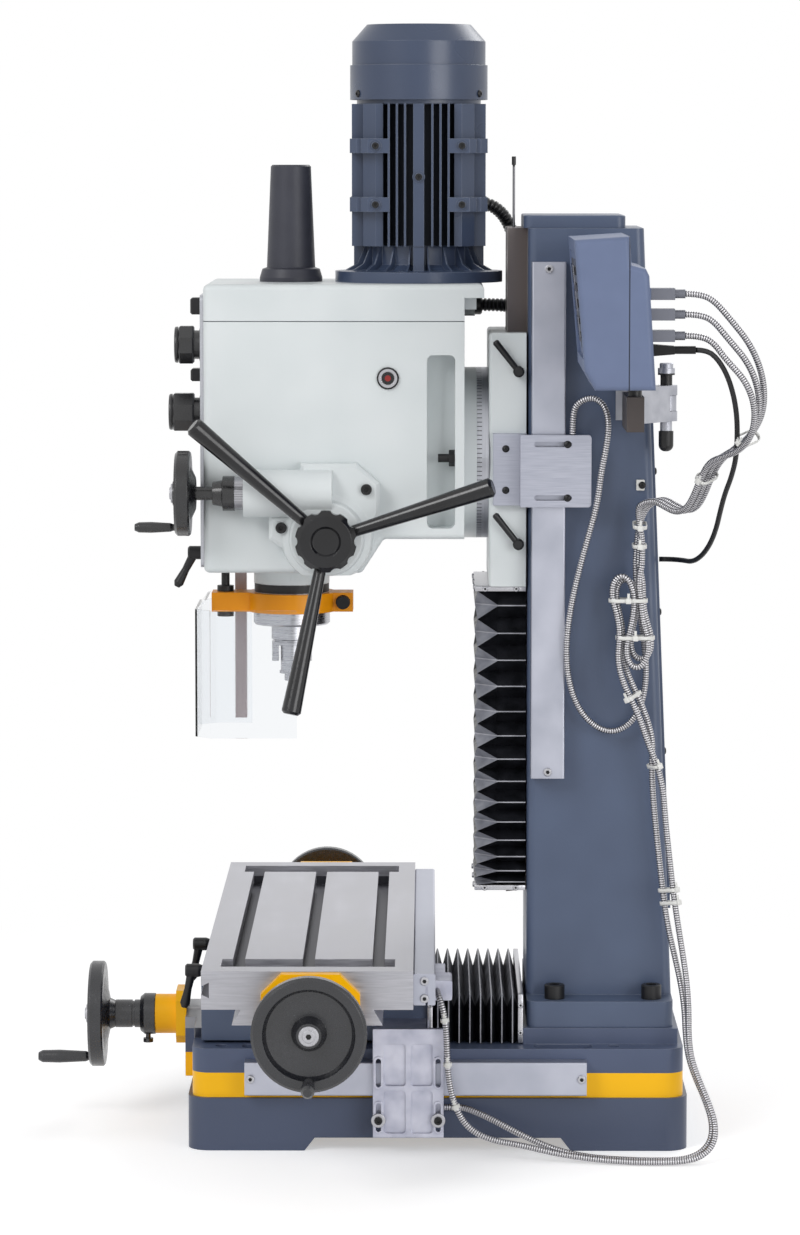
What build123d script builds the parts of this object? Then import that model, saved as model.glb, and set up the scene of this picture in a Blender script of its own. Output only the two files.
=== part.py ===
from build123d import *
import os
from math import cos, degrees, dist, pi, radians, sin, sqrt, tan

# A bench mill drill with a dovetail column, a geared tilting head, a compound table and a
# three-axis readout. Millimetres. The origin is on the floor at the centre of the four foot
# bolts, +X is the operator's right, +Y runs from the operator to the column and +Z is up.

# Clearances
RUN = 0.1
SLIDE = 0.3
AIR = 1.5

# Base casting
BASE_WIDTH = 380
BASE_FRONT = -271
BASE_REAR = 319
BASE_CORNER = 26
PLINTH_HEIGHT = 63
BAND_HEIGHT = 29
CROWN_HEIGHT = 29
CROWN_INSET = 5
ARCH_HEIGHT = 15.5
FOOT_LENGTH = 150
ARCH_SLOPE = 12
BASE_WALL = 24
DECK_WALL = 31
FOOT_BOLT_INSET = 24
FOOT_BOLT_Y = 464
FOOT_BOLT_R = 7
FOOT_BOSS_R = 20
POCKET_DEPTH = 8
POCKET_WIDTH = 24
POCKET_LENGTH = 70
POCKET_R = 9

# Cross ways on the base and the screw between them
WAY_WIDTH = 256
WAY_HEIGHT = 14
WAY_REAR = 118
DOVETAIL_ANGLE = 60
Y_CHANNEL_WIDTH = 64
Y_CHANNEL_DEPTH = 39
Y_SCREW_DROP = 7
SCREW_R = 11
SCREW_SHAFT_R = 9
FRONT_BOSS_WIDTH = 120
FRONT_BOSS_DEPTH = 9

# Column
PAD_HEIGHT = 19
PAD_MARGIN = 5
COLUMN_WIDTH = 206
COLUMN_FRONT = 130
COLUMN_DEPTH = 173
COLUMN_TOP_DEPTH = 136
COLUMN_HEIGHT = 912
COLUMN_WALL = 14
COLUMN_CORNER = 10
COLUMN_FOOT_WIDTH = 300
COLUMN_FOOT_THICKNESS = 31
COLUMN_FOOT_CORNER = 12
COLUMN_BOLT_X = 254
COLUMN_BOLT_Y = 115
COLUMN_BOLT_FRONT = 33
COLUMN_BOLT_R = 8
BOLT_HEAD_R = 12
BOLT_HEAD_HEIGHT = 17
BOLT_SOCKET_R = 7
CAP_WIDTH = 170
CAP_DEPTH = 120
CAP_HEIGHT = 15
COVER_WIDTH = 150
COVER_THICKNESS = 4
COVER_MARGIN = 100
COVER_OPENING_MARGIN = 20

# Vertical ways and their screw
Z_WAY_WIDTH = 136
Z_WAY_DEPTH = 24
Z_WAY_BOTTOM = 290
Z_SLOT_WIDTH = 44
Z_SCREW_Y = 176
Z_SCREW_R = 13
Z_SCREW_BOTTOM = 215
Z_CRANK_Z = 1035
BEVEL_R = 24
CRANK_LENGTH = 110
CRANK_STAND = 60
CRANK_BOSS_R = 17
CRANK_BOSS = 40

# Saddle
SADDLE_LENGTH = 300
SADDLE_FRONT = -256
SADDLE_REAR = 12
SADDLE_WEB = 54.4
SADDLE_CHANNEL_HALF = 40
SADDLE_CHANNEL_TOP = 166
SADDLE_SKIRT_GAP = 3
X_NUT_LENGTH = 44
X_NUT_WIDTH = 30
Y_NUT_LENGTH = 40
Y_NUT_WIDTH = 34

# Table
TABLE_LENGTH = 800
TABLE_WIDTH = 240
TABLE_Y = -124
TABLE_SLAB = 44
TABLE_DOVETAIL_HEIGHT = 18
TABLE_NECK = 150
X_SCREW_Y = -120
X_SCREW_RISE = 5
X_CHANNEL_WIDTH = 36
X_CHANNEL_RISE = 24
X_CHANNEL_DROP = 12
T_SLOT_PITCH = 80
T_SLOT_WIDTH = 14
T_SLOT_DEPTH = 24
T_SLOT_FOOT_WIDTH = 24
T_SLOT_FOOT_HEIGHT = 10
TROUGH_INSET = 30
TROUGH_WIDTH = 50
TROUGH_LENGTH = 198
STOP_GROOVE = 9
END_BRACKET_THICKNESS = 14
END_BRACKET_BOSS_R = 26
END_BRACKET_BOSS = 24
END_BRACKET_HALF = 56
END_BRACKET_TOP_HALF = 33

# Handwheels of the table
WHEEL_R = 65
WHEEL_HUB_R = 16
WHEEL_HUB_LENGTH = 34
WHEEL_RIM = 14
HANDLE_R = 8
HANDLE_LENGTH = 56
HANDLE_INSET = 12
DIAL_R = 25
DIAL_LENGTH = 18
SLEEVE_R = 17
SLEEVE_GROOVE = 1.5
SLEEVE_GROOVE_START = 7
Y_SLEEVE_LENGTH = 30
Y_BRACKET_FLANGE = 64
Y_BRACKET_FLANGE_THICKNESS = 13
Y_BRACKET_HOUSING_R = 24
Y_BRACKET_HOUSING = 26

# Vertical slide
SLIDE_WIDTH = 200
SLIDE_FRONT = 84
SLIDE_BOTTOM = 660
SLIDE_HEIGHT = 300
SLIDE_CORNER = 4
Z_NUT_HEIGHT = 60
Z_NUT_WIDTH = 40
LOCK_LEVER_Y = 119
LOCK_LEVER_OFFSET = 102
LOCK_LEVER_LENGTH = 46
LOCK_LEVER_R = 4
LOCK_LEVER_HUB_R = 6.5
LOCK_LEVER_ANGLE = 128
LOCK_STUD_R = 4
LOCK_STUD_DEPTH = 12

# Swivel between slide and head
SWIVEL_Z = 813
SWIVEL_R = 102.5
SWIVEL_RING_THICKNESS = 14
HEAD_FLANGE_THICKNESS = 15
SWIVEL_SPIGOT_R = 40
SWIVEL_SPIGOT = 9

# Head casting and lid
HEAD_WIDTH = 250
HEAD_FRONT = -252
HEAD_BOTTOM = 678
HEAD_STEP_Z = 718
HEAD_STEP_Y = -40
HEAD_SLOPE = 26
HEAD_SEAM = 974
HEAD_EDGE = 7
HEAD_WALL = 18
GEARBOX_FLOOR = 876
LID_SEAM = 1
LID_HEIGHT = 44
LID_OVERHANG = 23
LID_OVERHANG_THICKNESS = 16
LID_RIB = 14
LID_TOP_WALL = 14
SIDE_POCKET_Y = 27.5
SIDE_POCKET_WIDTH = 33
SIDE_POCKET_HEIGHT = 204
SIDE_POCKET_Z = 833
SIDE_POCKET_DEPTH = 35
COLLAR_R = 45.5
COLLAR_HEIGHT = 22
PANEL_THICKNESS = 4
PANEL_WIDTH = 236
PANEL_MARGIN = 6
SIGHT_Y = -35
SIGHT_Z = 908
SIGHT_R = 13
SIGHT_GLASS_R = 8
SIGHT_DEPTH = 4

# Quill, spindle and drive
SPINDLE_Y = -152
QUILL_R = 37.5
QUILL_TOP = 868
QUILL_BORE_R = 24
QUILL_NOSE_R = 46
QUILL_NOSE_Z = 606
CLAMP_SEAT_R = 44
CLAMP_Z = 622
CLAMP_HEIGHT = 23
QUILL_FLANGE_R = 45
SPINDLE_R = 20
SPINDLE_NOSE_R = 24.5
SPINDLE_NOSE = 19
SPLINE_R = 14
SPLINE_SLEEVE = 5
SPLINE_TOP = 1062
DRAWBAR_R = 8
DRAWBAR_TOP = 1096
GEAR_MODULE = 2
TOOTH_SHARE = 0.42
RACK_SHARE = 0.34
PINION_TEETH = 13
RACK_WIDTH = 28
MOTOR_PINION_TEETH = 22
COUNTER_GEAR_TEETH = 54
COUNTER_PINION_TEETH = 27
SPINDLE_GEAR_TEETH = 50
GEAR_WIDTH = 22
FIRST_STAGE_Z = 944
SECOND_STAGE_Z = 892
COUNTERSHAFT_R = 12
ARBOR_PILOT_R = 13.5
ARBOR_PILOT = 38
ARBOR_FLANGE = 6
ARBOR_KEY = 20
ARBOR_KEY_WIDTH = 10
ARBOR_SCREW_R = 9
ARBOR_SCREW = 12

# Quill clamp, depth stop and chip guard
CLAMP_RING_R = 54
CLAMP_FRONT_Y = -248
CLAMP_REAR_Y = -78
CLAMP_ARM_WIDTH = 40
CLAMP_SPLIT = 3
CLAMP_SCREW_R = 5
CLAMP_SCREW_Y = -90
STOP_ROD_Y = -232
STOP_ROD_R = 5
STOP_ROD_TOP = 830
STOP_NUT_R = 10
STOP_NUT_HEIGHT = 7
GUARD_BAR_X = -66
GUARD_BAR_Y = -216
GUARD_BAR_SIZE = 14
GUARD_BAR_BOTTOM = 484
GUARD_PIVOT_R = 6
GUARD_PIVOT = 20
GUARD_FRONT = -266
GUARD_WIDTH = 150
GUARD_SHEET = 3
GUARD_BOTTOM = 476
GUARD_HEIGHT = 153
GUARD_CORNER = 19
GUARD_NEAR_REAR = -144
GUARD_FAR_REAR = -203
GUARD_LIP = 14

# Motor
MOTOR_FLANGE_R = 100
MOTOR_FLANGE = 13
MOTOR_NECK_R = 62
MOTOR_NECK = 30
MOTOR_NECK_RIBS = 20
MOTOR_NECK_RIB = 2
MOTOR_BODY_R = 61
MOTOR_BODY = 168
MOTOR_FIN_REACH = 79.5
MOTOR_FIN = 2.6
MOTOR_FIN_PITCH = 9.6
MOTOR_FINS = 3
MOTOR_RIB = 13
MOTOR_CORNER_START = 42
MOTOR_CORNER = 66
MOTOR_CORNER_CUT = 15
MOTOR_BORE_R = 52
END_SHIELD_R = 74
END_SHIELD_RISE = 9
MOTOR_SHAFT_R = 13
ROTOR_R = 51
ROTOR_LENGTH = 120
FAN_R = 68
FAN_HEIGHT = 24
FAN_COVER_R = 82
FAN_COVER_SKIRT = 41
FAN_COVER_DOME = 48
FAN_COVER_TOP_R = 62
FAN_COVER_WALL = 2.5
PAD_START = 34
PAD_END = 68
PAD_CUT = 8
PAD_RISE = 17
PAD_PITCH = 69
TERMINAL_BOX = 90
TERMINAL_BOX_DEPTH = 42

# Drawbar cover on the lid
BONNET_FLANGE_R = 37.5
BONNET_BASE_R = 29
BONNET_TOP_R = 24
BONNET_HEIGHT = 139
BONNET_WALL = 3

# Quill feed on the near side of the head
PINION_Z = 722
FEED_PLATE = 25
FEED_BOSS_R = 43
FEED_BOSS = 18
FEED_RING_R = 53
# Outline of the quill feed's plate, as (y, z) from the pinion's axis
FEED_OUTLINE = [
    (-31, 87), (35, 87), (62, 64), (62, 28), (40, -20), (-40, -20), (-68, -2), (-68, 27), (-31, 27),
]
FEED_EDGE = 4
FEED_SHAFT_R = 12
WORM_X = 146
WORM_Z = 774
WORM_BOSS_R = 28
WORM_BOSS_FRONT = -204
WORM_BOSS_LENGTH = 104
WORM_SHAFT_R = 8
WORM_SHAFT_REAR = -140
FINE_WHEEL_R = 50
FINE_WHEEL_Y = -287
FINE_DIAL_R = 19.5
HUB_R = 36
HUB_BOSS_R = 30
HUB_BOSS = 18
HUB_KNOB = 20
HUB_LOBES = 10
LEVER_REACH = 208
LEVER_ROOT_R = 6.5
LEVER_TIP_R = 11.5
LEVER_TILT = 10
LEVER_ANGLE = 18.5

# Knobs and clamp levers on the head's front
KNOB_X = 45
KNOB_Z = (944, 864)
KNOB_LENGTH = (33, 40)
KNOB_R = 24
KNOB_CAP = 5
KNOB_CAP_R = 21.5
KNOB_GROOVE = 1.2
KNOB_COLLAR_R = 17
KNOB_COLLAR = 10
KNOB_SHAFT_R = 6
CLAMP_HUB_R = 8
CLAMP_HUB = 22
CLAMP_ARM = 46
QUILL_LOCK_X = 62
QUILL_LOCK_Z = 697
TABLE_LOCK_X = 92
TABLE_LOCK_DROP = 10

# Linear scales and their readers
SCALE_HEIGHT = 40
SCALE_DEPTH = 22
Z_SCALE_LENGTH = 610
Z_SCALE_BOTTOM = 434
Z_SCALE_Y = 134
Y_SCALE_LENGTH = 402
Y_SCALE_FRONT = -203
Y_SCALE_BOTTOM = 69
X_SCALE_LENGTH = 766
X_SCALE_WIDTH = 25
X_SCALE_HEIGHT = 36
X_SCALE_TOP = 246
READER_PLATE = 8
READER_LAND = 1.5
READER_SLOT = 34
READER_GAP = 4
Z_READER_BOTTOM = 757
Z_READER_HEIGHT = 85
Z_READER_REAR = 204
Y_READER_FRONT = -52
Y_READER_WIDTH = 83
Y_READER_BOTTOM = 22
Y_READER_TOP = 151
Y_READER_RIB = 4
Y_READER_HEAD = 22
X_READER_ARM = 60
X_READER_LENGTH = 55

# Bellows
Z_BELLOWS_BOTTOM = 296
Z_BELLOWS_PLEATS = 14
Z_BELLOWS_HALF = 97
Z_BELLOWS_FRONT = 68
Z_BELLOWS_FOLD = 18
Y_BELLOWS_PLEATS = 8
Y_BELLOWS_HALF = 157
Y_BELLOWS_TOP = 181
Y_BELLOWS_FOLD = 18
BELLOWS_WALL = 1.6
BELLOWS_PLATE = 6

# Readout console on its arm
PIVOT_X = 122
PIVOT_Y = 292
PIVOT_R = 7
PIVOT_KNOB_R = 10
PIVOT_GRIP_R = 8.7
PIVOT_GRIP = 24
MOUNT_BOTTOM = 858
MOUNT_HEIGHT = 42
ARM_TUBE_Y = 249
ARM_TUBE_WIDTH = 20
ARM_TUBE_HEIGHT = 40
ARM_TUBE_END = 280
ARM_TUBE_WALL = 2.5
CONSOLE_INNER_X = 152
CONSOLE_WIDTH = 235
CONSOLE_FRONT = 175
CONSOLE_BOTTOM = 907
CONSOLE_HEIGHT = 172
CONSOLE_SHELL = 62
CONSOLE_BACK = 92
CONSOLE_BACK_DROP = 36
CONSOLE_LEAN = 4
CONSOLE_EDGE = 6
SOCKET_X = 350
SOCKET_DROPS = (65, 88, 112)
POWER_DROP = 128
PLUG_LENGTH = 22
PLUG_HEIGHT = 13
PLUG_WIDTH = 26
FERRULE_R = 5
FERRULE_LENGTH = 12

# Leads and conduits
LEAD_R = 3.75
GAP_STEP = 2
POWER_R = 3
CONDUIT_R = 8
CONDUIT_BORE_R = 5.5
RIB_PITCH = 8
RIB_DEPTH = 1.3
RIB_FLANK = 1.6
RIB_CREST = 2.6
GLAND_R = 12
GLAND_LENGTH = 9
CONDUIT_BOSS_X = -95
JUNCTION_FRONT = 208
JUNCTION_WIDTH = 66
JUNCTION_DEPTH = 56
JUNCTION_BOTTOM = 690
JUNCTION_HEIGHT = 155
JUNCTION_GLANDS = (725, 800)
JUNCTION_MIDDLE = -131


# Derived levels and places
BASE_X = BASE_WIDTH / 2
FOOT_BOLT_X = BASE_WIDTH - 2 * FOOT_BOLT_INSET
CROWN_X = BASE_X - CROWN_INSET
DECK_Z = PLINTH_HEIGHT + BAND_HEIGHT + CROWN_HEIGHT
WAY_Z = DECK_Z + WAY_HEIGHT
COLUMN_FOOT_Z = DECK_Z + PAD_HEIGHT
COLUMN_Z = COLUMN_FOOT_Z + COLUMN_FOOT_THICKNESS
COLUMN_TOP = COLUMN_Z + COLUMN_HEIGHT
COLUMN_X = COLUMN_WIDTH / 2
Y_SCREW_Z = WAY_Z - Y_SCREW_DROP
TABLE_DOVETAIL_Z = WAY_Z + SLIDE + SADDLE_WEB + SLIDE
TABLE_SLAB_Z = TABLE_DOVETAIL_Z + TABLE_DOVETAIL_HEIGHT
TABLE_Z = TABLE_SLAB_Z + TABLE_SLAB
SADDLE_Z = TABLE_SLAB_Z - SLIDE
SADDLE_X = SADDLE_LENGTH / 2
X_SCREW_Z = TABLE_DOVETAIL_Z + X_SCREW_RISE
TABLE_END = TABLE_LENGTH / 2
TABLE_REAR = TABLE_Y + TABLE_WIDTH / 2
TABLE_LOCK_Z = SADDLE_Z - TABLE_LOCK_DROP
SLIDE_X = SLIDE_WIDTH / 2
SLIDE_TOP = SLIDE_BOTTOM + SLIDE_HEIGHT
Z_WAY_FRONT = COLUMN_FRONT - Z_WAY_DEPTH
RING_FRONT = SLIDE_FRONT - SWIVEL_RING_THICKNESS
HEAD_REAR = RING_FRONT - HEAD_FLANGE_THICKNESS
HEAD_X = HEAD_WIDTH / 2
LID_Z = HEAD_SEAM + LID_HEIGHT
LID_REAR = HEAD_REAR + LID_OVERHANG
PANEL_Y = HEAD_FRONT - PANEL_THICKNESS
PINION_R = GEAR_MODULE * PINION_TEETH / 2
RACK_PITCH = QUILL_R - 5
PINION_Y = SPINDLE_Y + RACK_PITCH + PINION_R
FEED_X = HEAD_X + FEED_PLATE
FEED_BOSS_X = FEED_X + FEED_BOSS
FIRST_CENTRES = GEAR_MODULE * (MOTOR_PINION_TEETH + COUNTER_GEAR_TEETH) / 2
SECOND_CENTRES = GEAR_MODULE * (COUNTER_PINION_TEETH + SPINDLE_GEAR_TEETH) / 2
COUNTER_Y = SPINDLE_Y + SECOND_CENTRES
MOTOR_Y = COUNTER_Y + FIRST_CENTRES
MOTOR_Z = LID_Z + MOTOR_FLANGE
MOTOR_BODY_Z = MOTOR_Z + MOTOR_NECK
MOTOR_BODY_TOP = MOTOR_BODY_Z + MOTOR_BODY
FAN_COVER_Z = MOTOR_BODY_TOP + 5
FAN_COVER_TOP = FAN_COVER_Z + FAN_COVER_SKIRT + FAN_COVER_DOME
Z_SCALE_X = COLUMN_X + SCALE_DEPTH
Y_SCALE_X = CROWN_X + SCALE_DEPTH
Z_PLATE_X = Z_SCALE_X + READER_GAP
Y_PLATE_X = Y_SCALE_X + READER_GAP
Y_READER_REAR = Y_READER_FRONT + Y_READER_WIDTH
Y_BRACKET_Y = BASE_FRONT - FRONT_BOSS_DEPTH
Y_HOUSING_FRONT = Y_BRACKET_Y - Y_BRACKET_FLANGE_THICKNESS - Y_BRACKET_HOUSING
Y_DIAL_FRONT = Y_HOUSING_FRONT - SLIDE - DIAL_LENGTH
Y_WHEEL_REAR = Y_DIAL_FRONT - Y_SLEEVE_LENGTH
CONSOLE_TOP = CONSOLE_BOTTOM + CONSOLE_HEIGHT


# Shapes placed by their limits
def both(half):
    return (-half, half)


def block(x, y, z):
    """A box between two limits on each axis."""
    middle = [(low + high) / 2 for low, high in (x, y, z)]
    size = [high - low for low, high in (x, y, z)]
    return Pos(*middle) * Box(*size)


def rod_x(radius, x, y, z):
    return Pos((x[0] + x[1]) / 2, y, z) * Rot(0, 90, 0) * Cylinder(radius, x[1] - x[0])


def rod_y(radius, x, y, z):
    return Pos(x, (y[0] + y[1]) / 2, z) * Rot(90, 0, 0) * Cylinder(radius, y[1] - y[0])


def rod_z(radius, x, y, z):
    return Pos(x, y, (z[0] + z[1]) / 2) * Cylinder(radius, z[1] - z[0])


def face_of(points):
    return make_face(Polyline(*points, close=True))


def prism_x(points, x):
    """A profile of (y, z) points drawn out along X."""
    return extrude(Plane.YZ.offset(x[0]) * face_of(points), x[1] - x[0])


def prism_y(points, y):
    """A profile of (x, z) points drawn out along Y."""
    return extrude(Plane.XZ.offset(-y[1]) * face_of(points), y[1] - y[0])


def prism_z(points, z):
    """A profile of (x, y) points drawn out along Z."""
    return extrude(Plane.XY.offset(z[0]) * face_of(points), z[1] - z[0])


def turned_x(points):
    """A profile of (x, radius) points turned about X."""
    return revolve(face_of(points), Axis.X)


def turned_z(points):
    """A profile of (radius, z) points turned about Z."""
    return revolve(Plane.XZ * face_of(points), Axis.Z)


def rounded_slab(x, y, z, corner):
    """A plate with its four upright edges rounded."""
    outline = RectangleRounded(x[1] - x[0], y[1] - y[0], corner)
    place = Pos((x[0] + x[1]) / 2, (y[0] + y[1]) / 2, z[0])
    return extrude(place * outline, z[1] - z[0])


def dovetail(half_top, height, z_top, spread=0):
    """Section of a male dovetail, wider at the top, as (across, z) points, grown by spread."""
    half_root = half_top - height / tan(radians(DOVETAIL_ANGLE))
    return [
        (-half_root - spread, z_top - height),
        (half_root + spread, z_top - height),
        (half_top + spread, z_top + spread),
        (-half_top - spread, z_top + spread),
    ]


def group(*solids):
    return Compound(children=list(solids))


def column_rear(z):
    """Where the column's sloping rear face stands at a height."""
    rise = (z - COLUMN_Z) / COLUMN_HEIGHT
    return COLUMN_FRONT + COLUMN_DEPTH + (COLUMN_TOP_DEPTH - COLUMN_DEPTH) * rise


# Base and column
def base_casting():
    length = (BASE_FRONT, BASE_REAR)
    crown_length = (BASE_FRONT + CROWN_INSET, BASE_REAR - CROWN_INSET)
    body = rounded_slab(both(BASE_X), length, (0, PLINTH_HEIGHT), BASE_CORNER)
    body += rounded_slab(both(CROWN_X), crown_length, (PLINTH_HEIGHT, DECK_Z), BASE_CORNER - CROWN_INSET)
    boss_z = (PLINTH_HEIGHT, WAY_Z)
    boss_y = (Y_BRACKET_Y, BASE_FRONT + BASE_WALL)
    body += block(both(FRONT_BOSS_WIDTH / 2), boss_y, boss_z)
    way_y = (BASE_FRONT + CROWN_INSET, WAY_REAR)
    body += prism_y(dovetail(WAY_WIDTH / 2, WAY_HEIGHT, WAY_Z), way_y)
    pad_half = COLUMN_FOOT_WIDTH / 2 + PAD_MARGIN
    pad_y = (COLUMN_FRONT - PAD_MARGIN, COLUMN_FRONT + COLUMN_DEPTH + PAD_MARGIN)
    body += block(both(pad_half), pad_y, (DECK_Z, COLUMN_FOOT_Z))
    arch = [
        (BASE_FRONT + FOOT_LENGTH - ARCH_SLOPE, 0),
        (BASE_REAR - FOOT_LENGTH + ARCH_SLOPE, 0),
        (BASE_REAR - FOOT_LENGTH, ARCH_HEIGHT),
        (BASE_FRONT + FOOT_LENGTH, ARCH_HEIGHT),
    ]
    body -= prism_x(arch, both(BASE_X))
    hollow_x = both(CROWN_X - BASE_WALL)
    hollow_y = (BASE_FRONT + CROWN_INSET + BASE_WALL, BASE_REAR - CROWN_INSET - BASE_WALL)
    hollow = block(hollow_x, hollow_y, (0, DECK_Z - DECK_WALL))
    channel_y = (BASE_FRONT + BASE_WALL, WAY_REAR)
    channel_z = (WAY_Z - Y_CHANNEL_DEPTH, WAY_Z)
    channel = block(both(Y_CHANNEL_WIDTH / 2), channel_y, channel_z)
    notch_r = SCREW_R + AIR
    notch = rod_y(notch_r, 0, boss_y, Y_SCREW_Z)
    notch += block(both(notch_r), boss_y, (Y_SCREW_Z, WAY_Z))
    for x in both(FOOT_BOLT_X / 2):
        for y in both(FOOT_BOLT_Y / 2):
            hollow -= rod_z(FOOT_BOSS_R, x, y, (0, DECK_Z))
    body -= [hollow, channel, notch]
    ledge = CROWN_X - POCKET_WIDTH / 2 - CROWN_INSET
    gap = POCKET_LENGTH / 2 + FOOT_BOSS_R + CROWN_INSET
    for x in both(FOOT_BOLT_X / 2):
        side = ledge if x > 0 else -ledge
        for y in both(FOOT_BOLT_Y / 2):
            body -= rod_z(FOOT_BOLT_R, x, y, (0, DECK_Z))
            inner = y - gap if y > 0 else y + gap
            pocket_x = (side - POCKET_WIDTH / 2, side + POCKET_WIDTH / 2)
            pocket_y = (inner - POCKET_LENGTH / 2, inner + POCKET_LENGTH / 2)
            body -= rounded_slab(pocket_x, pocket_y, (DECK_Z - POCKET_DEPTH, DECK_Z), POCKET_R)
    return body


def column_casting():
    side = [
        (COLUMN_FRONT, COLUMN_Z),
        (column_rear(COLUMN_Z), COLUMN_Z),
        (column_rear(COLUMN_TOP), COLUMN_TOP),
        (COLUMN_FRONT, COLUMN_TOP),
    ]
    body = prism_x(side, both(COLUMN_X))
    long_edges = [e for e in body.edges() if abs(e.tangent_at(0.5).Z) > 0.9]
    body = fillet(long_edges, COLUMN_CORNER)
    foot_y = (COLUMN_FRONT, COLUMN_FRONT + COLUMN_DEPTH)
    foot_x = both(COLUMN_FOOT_WIDTH / 2)
    body += rounded_slab(foot_x, foot_y, (COLUMN_FOOT_Z, COLUMN_Z), COLUMN_FOOT_CORNER)
    rail = dovetail(Z_WAY_WIDTH / 2, Z_WAY_DEPTH, -Z_WAY_FRONT)
    rail = [(x, -y) for x, y in rail]
    body += prism_z(rail, (Z_WAY_BOTTOM, COLUMN_TOP))
    hollow = [
        (COLUMN_FRONT + COLUMN_WALL, COLUMN_FOOT_Z),
        (column_rear(COLUMN_FOOT_Z) - COLUMN_WALL, COLUMN_FOOT_Z),
        (column_rear(COLUMN_TOP) - COLUMN_WALL, COLUMN_TOP - COLUMN_WALL),
        (COLUMN_FRONT + COLUMN_WALL, COLUMN_TOP - COLUMN_WALL),
    ]
    slot_z = (Z_WAY_BOTTOM + COLUMN_WALL, COLUMN_TOP)
    slot_y = (Z_WAY_FRONT, COLUMN_FRONT + COLUMN_WALL)
    margin = COVER_MARGIN + COVER_OPENING_MARGIN
    opening_z = (COLUMN_Z + margin, COLUMN_TOP - margin)
    opening_y = (COLUMN_FRONT + COLUMN_TOP_DEPTH - 2 * COLUMN_WALL, COLUMN_FRONT + COLUMN_DEPTH)
    crank_x = (-COLUMN_X, 0)
    body -= [
        prism_x(hollow, both(COLUMN_X - COLUMN_WALL)),
        block(both(Z_SLOT_WIDTH / 2), slot_y, slot_z),
        block(both(COVER_WIDTH / 2 - COVER_OPENING_MARGIN), opening_y, opening_z),
        rod_x(SCREW_SHAFT_R + RUN, crank_x, Z_SCREW_Y, Z_CRANK_Z),
    ]
    for x in both(COLUMN_BOLT_X / 2):
        for y in (COLUMN_FRONT + COLUMN_BOLT_FRONT, COLUMN_FRONT + COLUMN_BOLT_FRONT + COLUMN_BOLT_Y):
            body -= rod_z(COLUMN_BOLT_R + RUN, x, y, (COLUMN_FOOT_Z, COLUMN_Z))
    # A bearing shelf across the hollow carries the lower end of the vertical screw
    shelf_y = (COLUMN_FRONT + COLUMN_WALL, Z_SCREW_Y + 2 * Z_SCREW_R)
    shelf_z = (Z_SCREW_BOTTOM, Z_SCREW_BOTTOM + COLUMN_WALL)
    shelf = block(both(COLUMN_X - COLUMN_WALL), shelf_y, shelf_z)
    body += shelf - rod_z(SCREW_SHAFT_R + RUN, 0, Z_SCREW_Y, shelf_z)
    boss_x = (-COLUMN_X - CRANK_BOSS, -COLUMN_X)
    boss = rod_x(CRANK_BOSS_R, boss_x, Z_SCREW_Y, Z_CRANK_Z)
    return body + (boss - rod_x(SCREW_SHAFT_R + RUN, boss_x, Z_SCREW_Y, Z_CRANK_Z))


def column_cap():
    y = (COLUMN_FRONT - PAD_MARGIN, COLUMN_FRONT - PAD_MARGIN + CAP_DEPTH)
    cap = rounded_slab(both(CAP_WIDTH / 2), y, (COLUMN_TOP, COLUMN_TOP + CAP_HEIGHT), COLUMN_CORNER)
    return fillet(cap.faces().sort_by(Axis.Z)[-1].edges(), 2)


def stop_rod_top():
    """Thin upright rod with a rubber tip, screwed into the top of the vertical ways."""
    height = 84
    tip = 10
    x = Z_WAY_WIDTH / 4
    y = Z_WAY_FRONT + Z_WAY_DEPTH / 3
    rod = rod_z(1.5, x, y, (COLUMN_TOP, COLUMN_TOP + height))
    return rod + rod_z(2.5, x, y, (COLUMN_TOP + height - tip, COLUMN_TOP + height))


def column_rear_cover():
    low = COLUMN_Z + COVER_MARGIN
    high = COLUMN_TOP - COVER_MARGIN
    plate = [
        (column_rear(low), low),
        (column_rear(low) + COVER_THICKNESS, low),
        (column_rear(high) + COVER_THICKNESS, high),
        (column_rear(high), high),
    ]
    return prism_x(plate, both(COVER_WIDTH / 2))


def column_bolts():
    bolts = []
    for x in both(COLUMN_BOLT_X / 2):
        for y in (COLUMN_FRONT + COLUMN_BOLT_FRONT, COLUMN_FRONT + COLUMN_BOLT_FRONT + COLUMN_BOLT_Y):
            bolt = rod_z(COLUMN_BOLT_R, x, y, (COLUMN_FOOT_Z, COLUMN_Z))
            head = rod_z(BOLT_HEAD_R, x, y, (COLUMN_Z, COLUMN_Z + BOLT_HEAD_HEIGHT))
            head = chamfer(head.faces().sort_by(Axis.Z)[-1].edges(), 1.2)
            socket = Pos(x, y, COLUMN_Z + BOLT_HEAD_HEIGHT) * extrude(RegularPolygon(BOLT_SOCKET_R, 6), -8)
            bolts.append(bolt + head - socket)
    return group(*bolts)


def scale_section(width, height):
    """Section of a scale housing: a rounded back and a reader slit in the lower edge."""
    body = Pos(width / 2, height / 2) * RectangleRounded(width, height, 2)
    return body - Pos(width * 0.6, 0) * Rectangle(2.5, 2 * height * 0.6)


def frame_scales():
    """The scale housings of the column and of the base, on their near sides."""
    z_plane = Plane(origin=(COLUMN_X, Z_SCALE_Y, Z_SCALE_BOTTOM), x_dir=(1, 0, 0), z_dir=(0, 0, 1))
    z_scale = extrude(z_plane * scale_section(SCALE_DEPTH, SCALE_HEIGHT), Z_SCALE_LENGTH)
    y_plane = Plane(
        origin=(CROWN_X, Y_SCALE_FRONT + Y_SCALE_LENGTH, Y_SCALE_BOTTOM), x_dir=(1, 0, 0), z_dir=(0, -1, 0)
    )
    y_scale = extrude(y_plane * scale_section(SCALE_DEPTH, SCALE_HEIGHT), Y_SCALE_LENGTH)
    return group(z_scale, y_scale)


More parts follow.
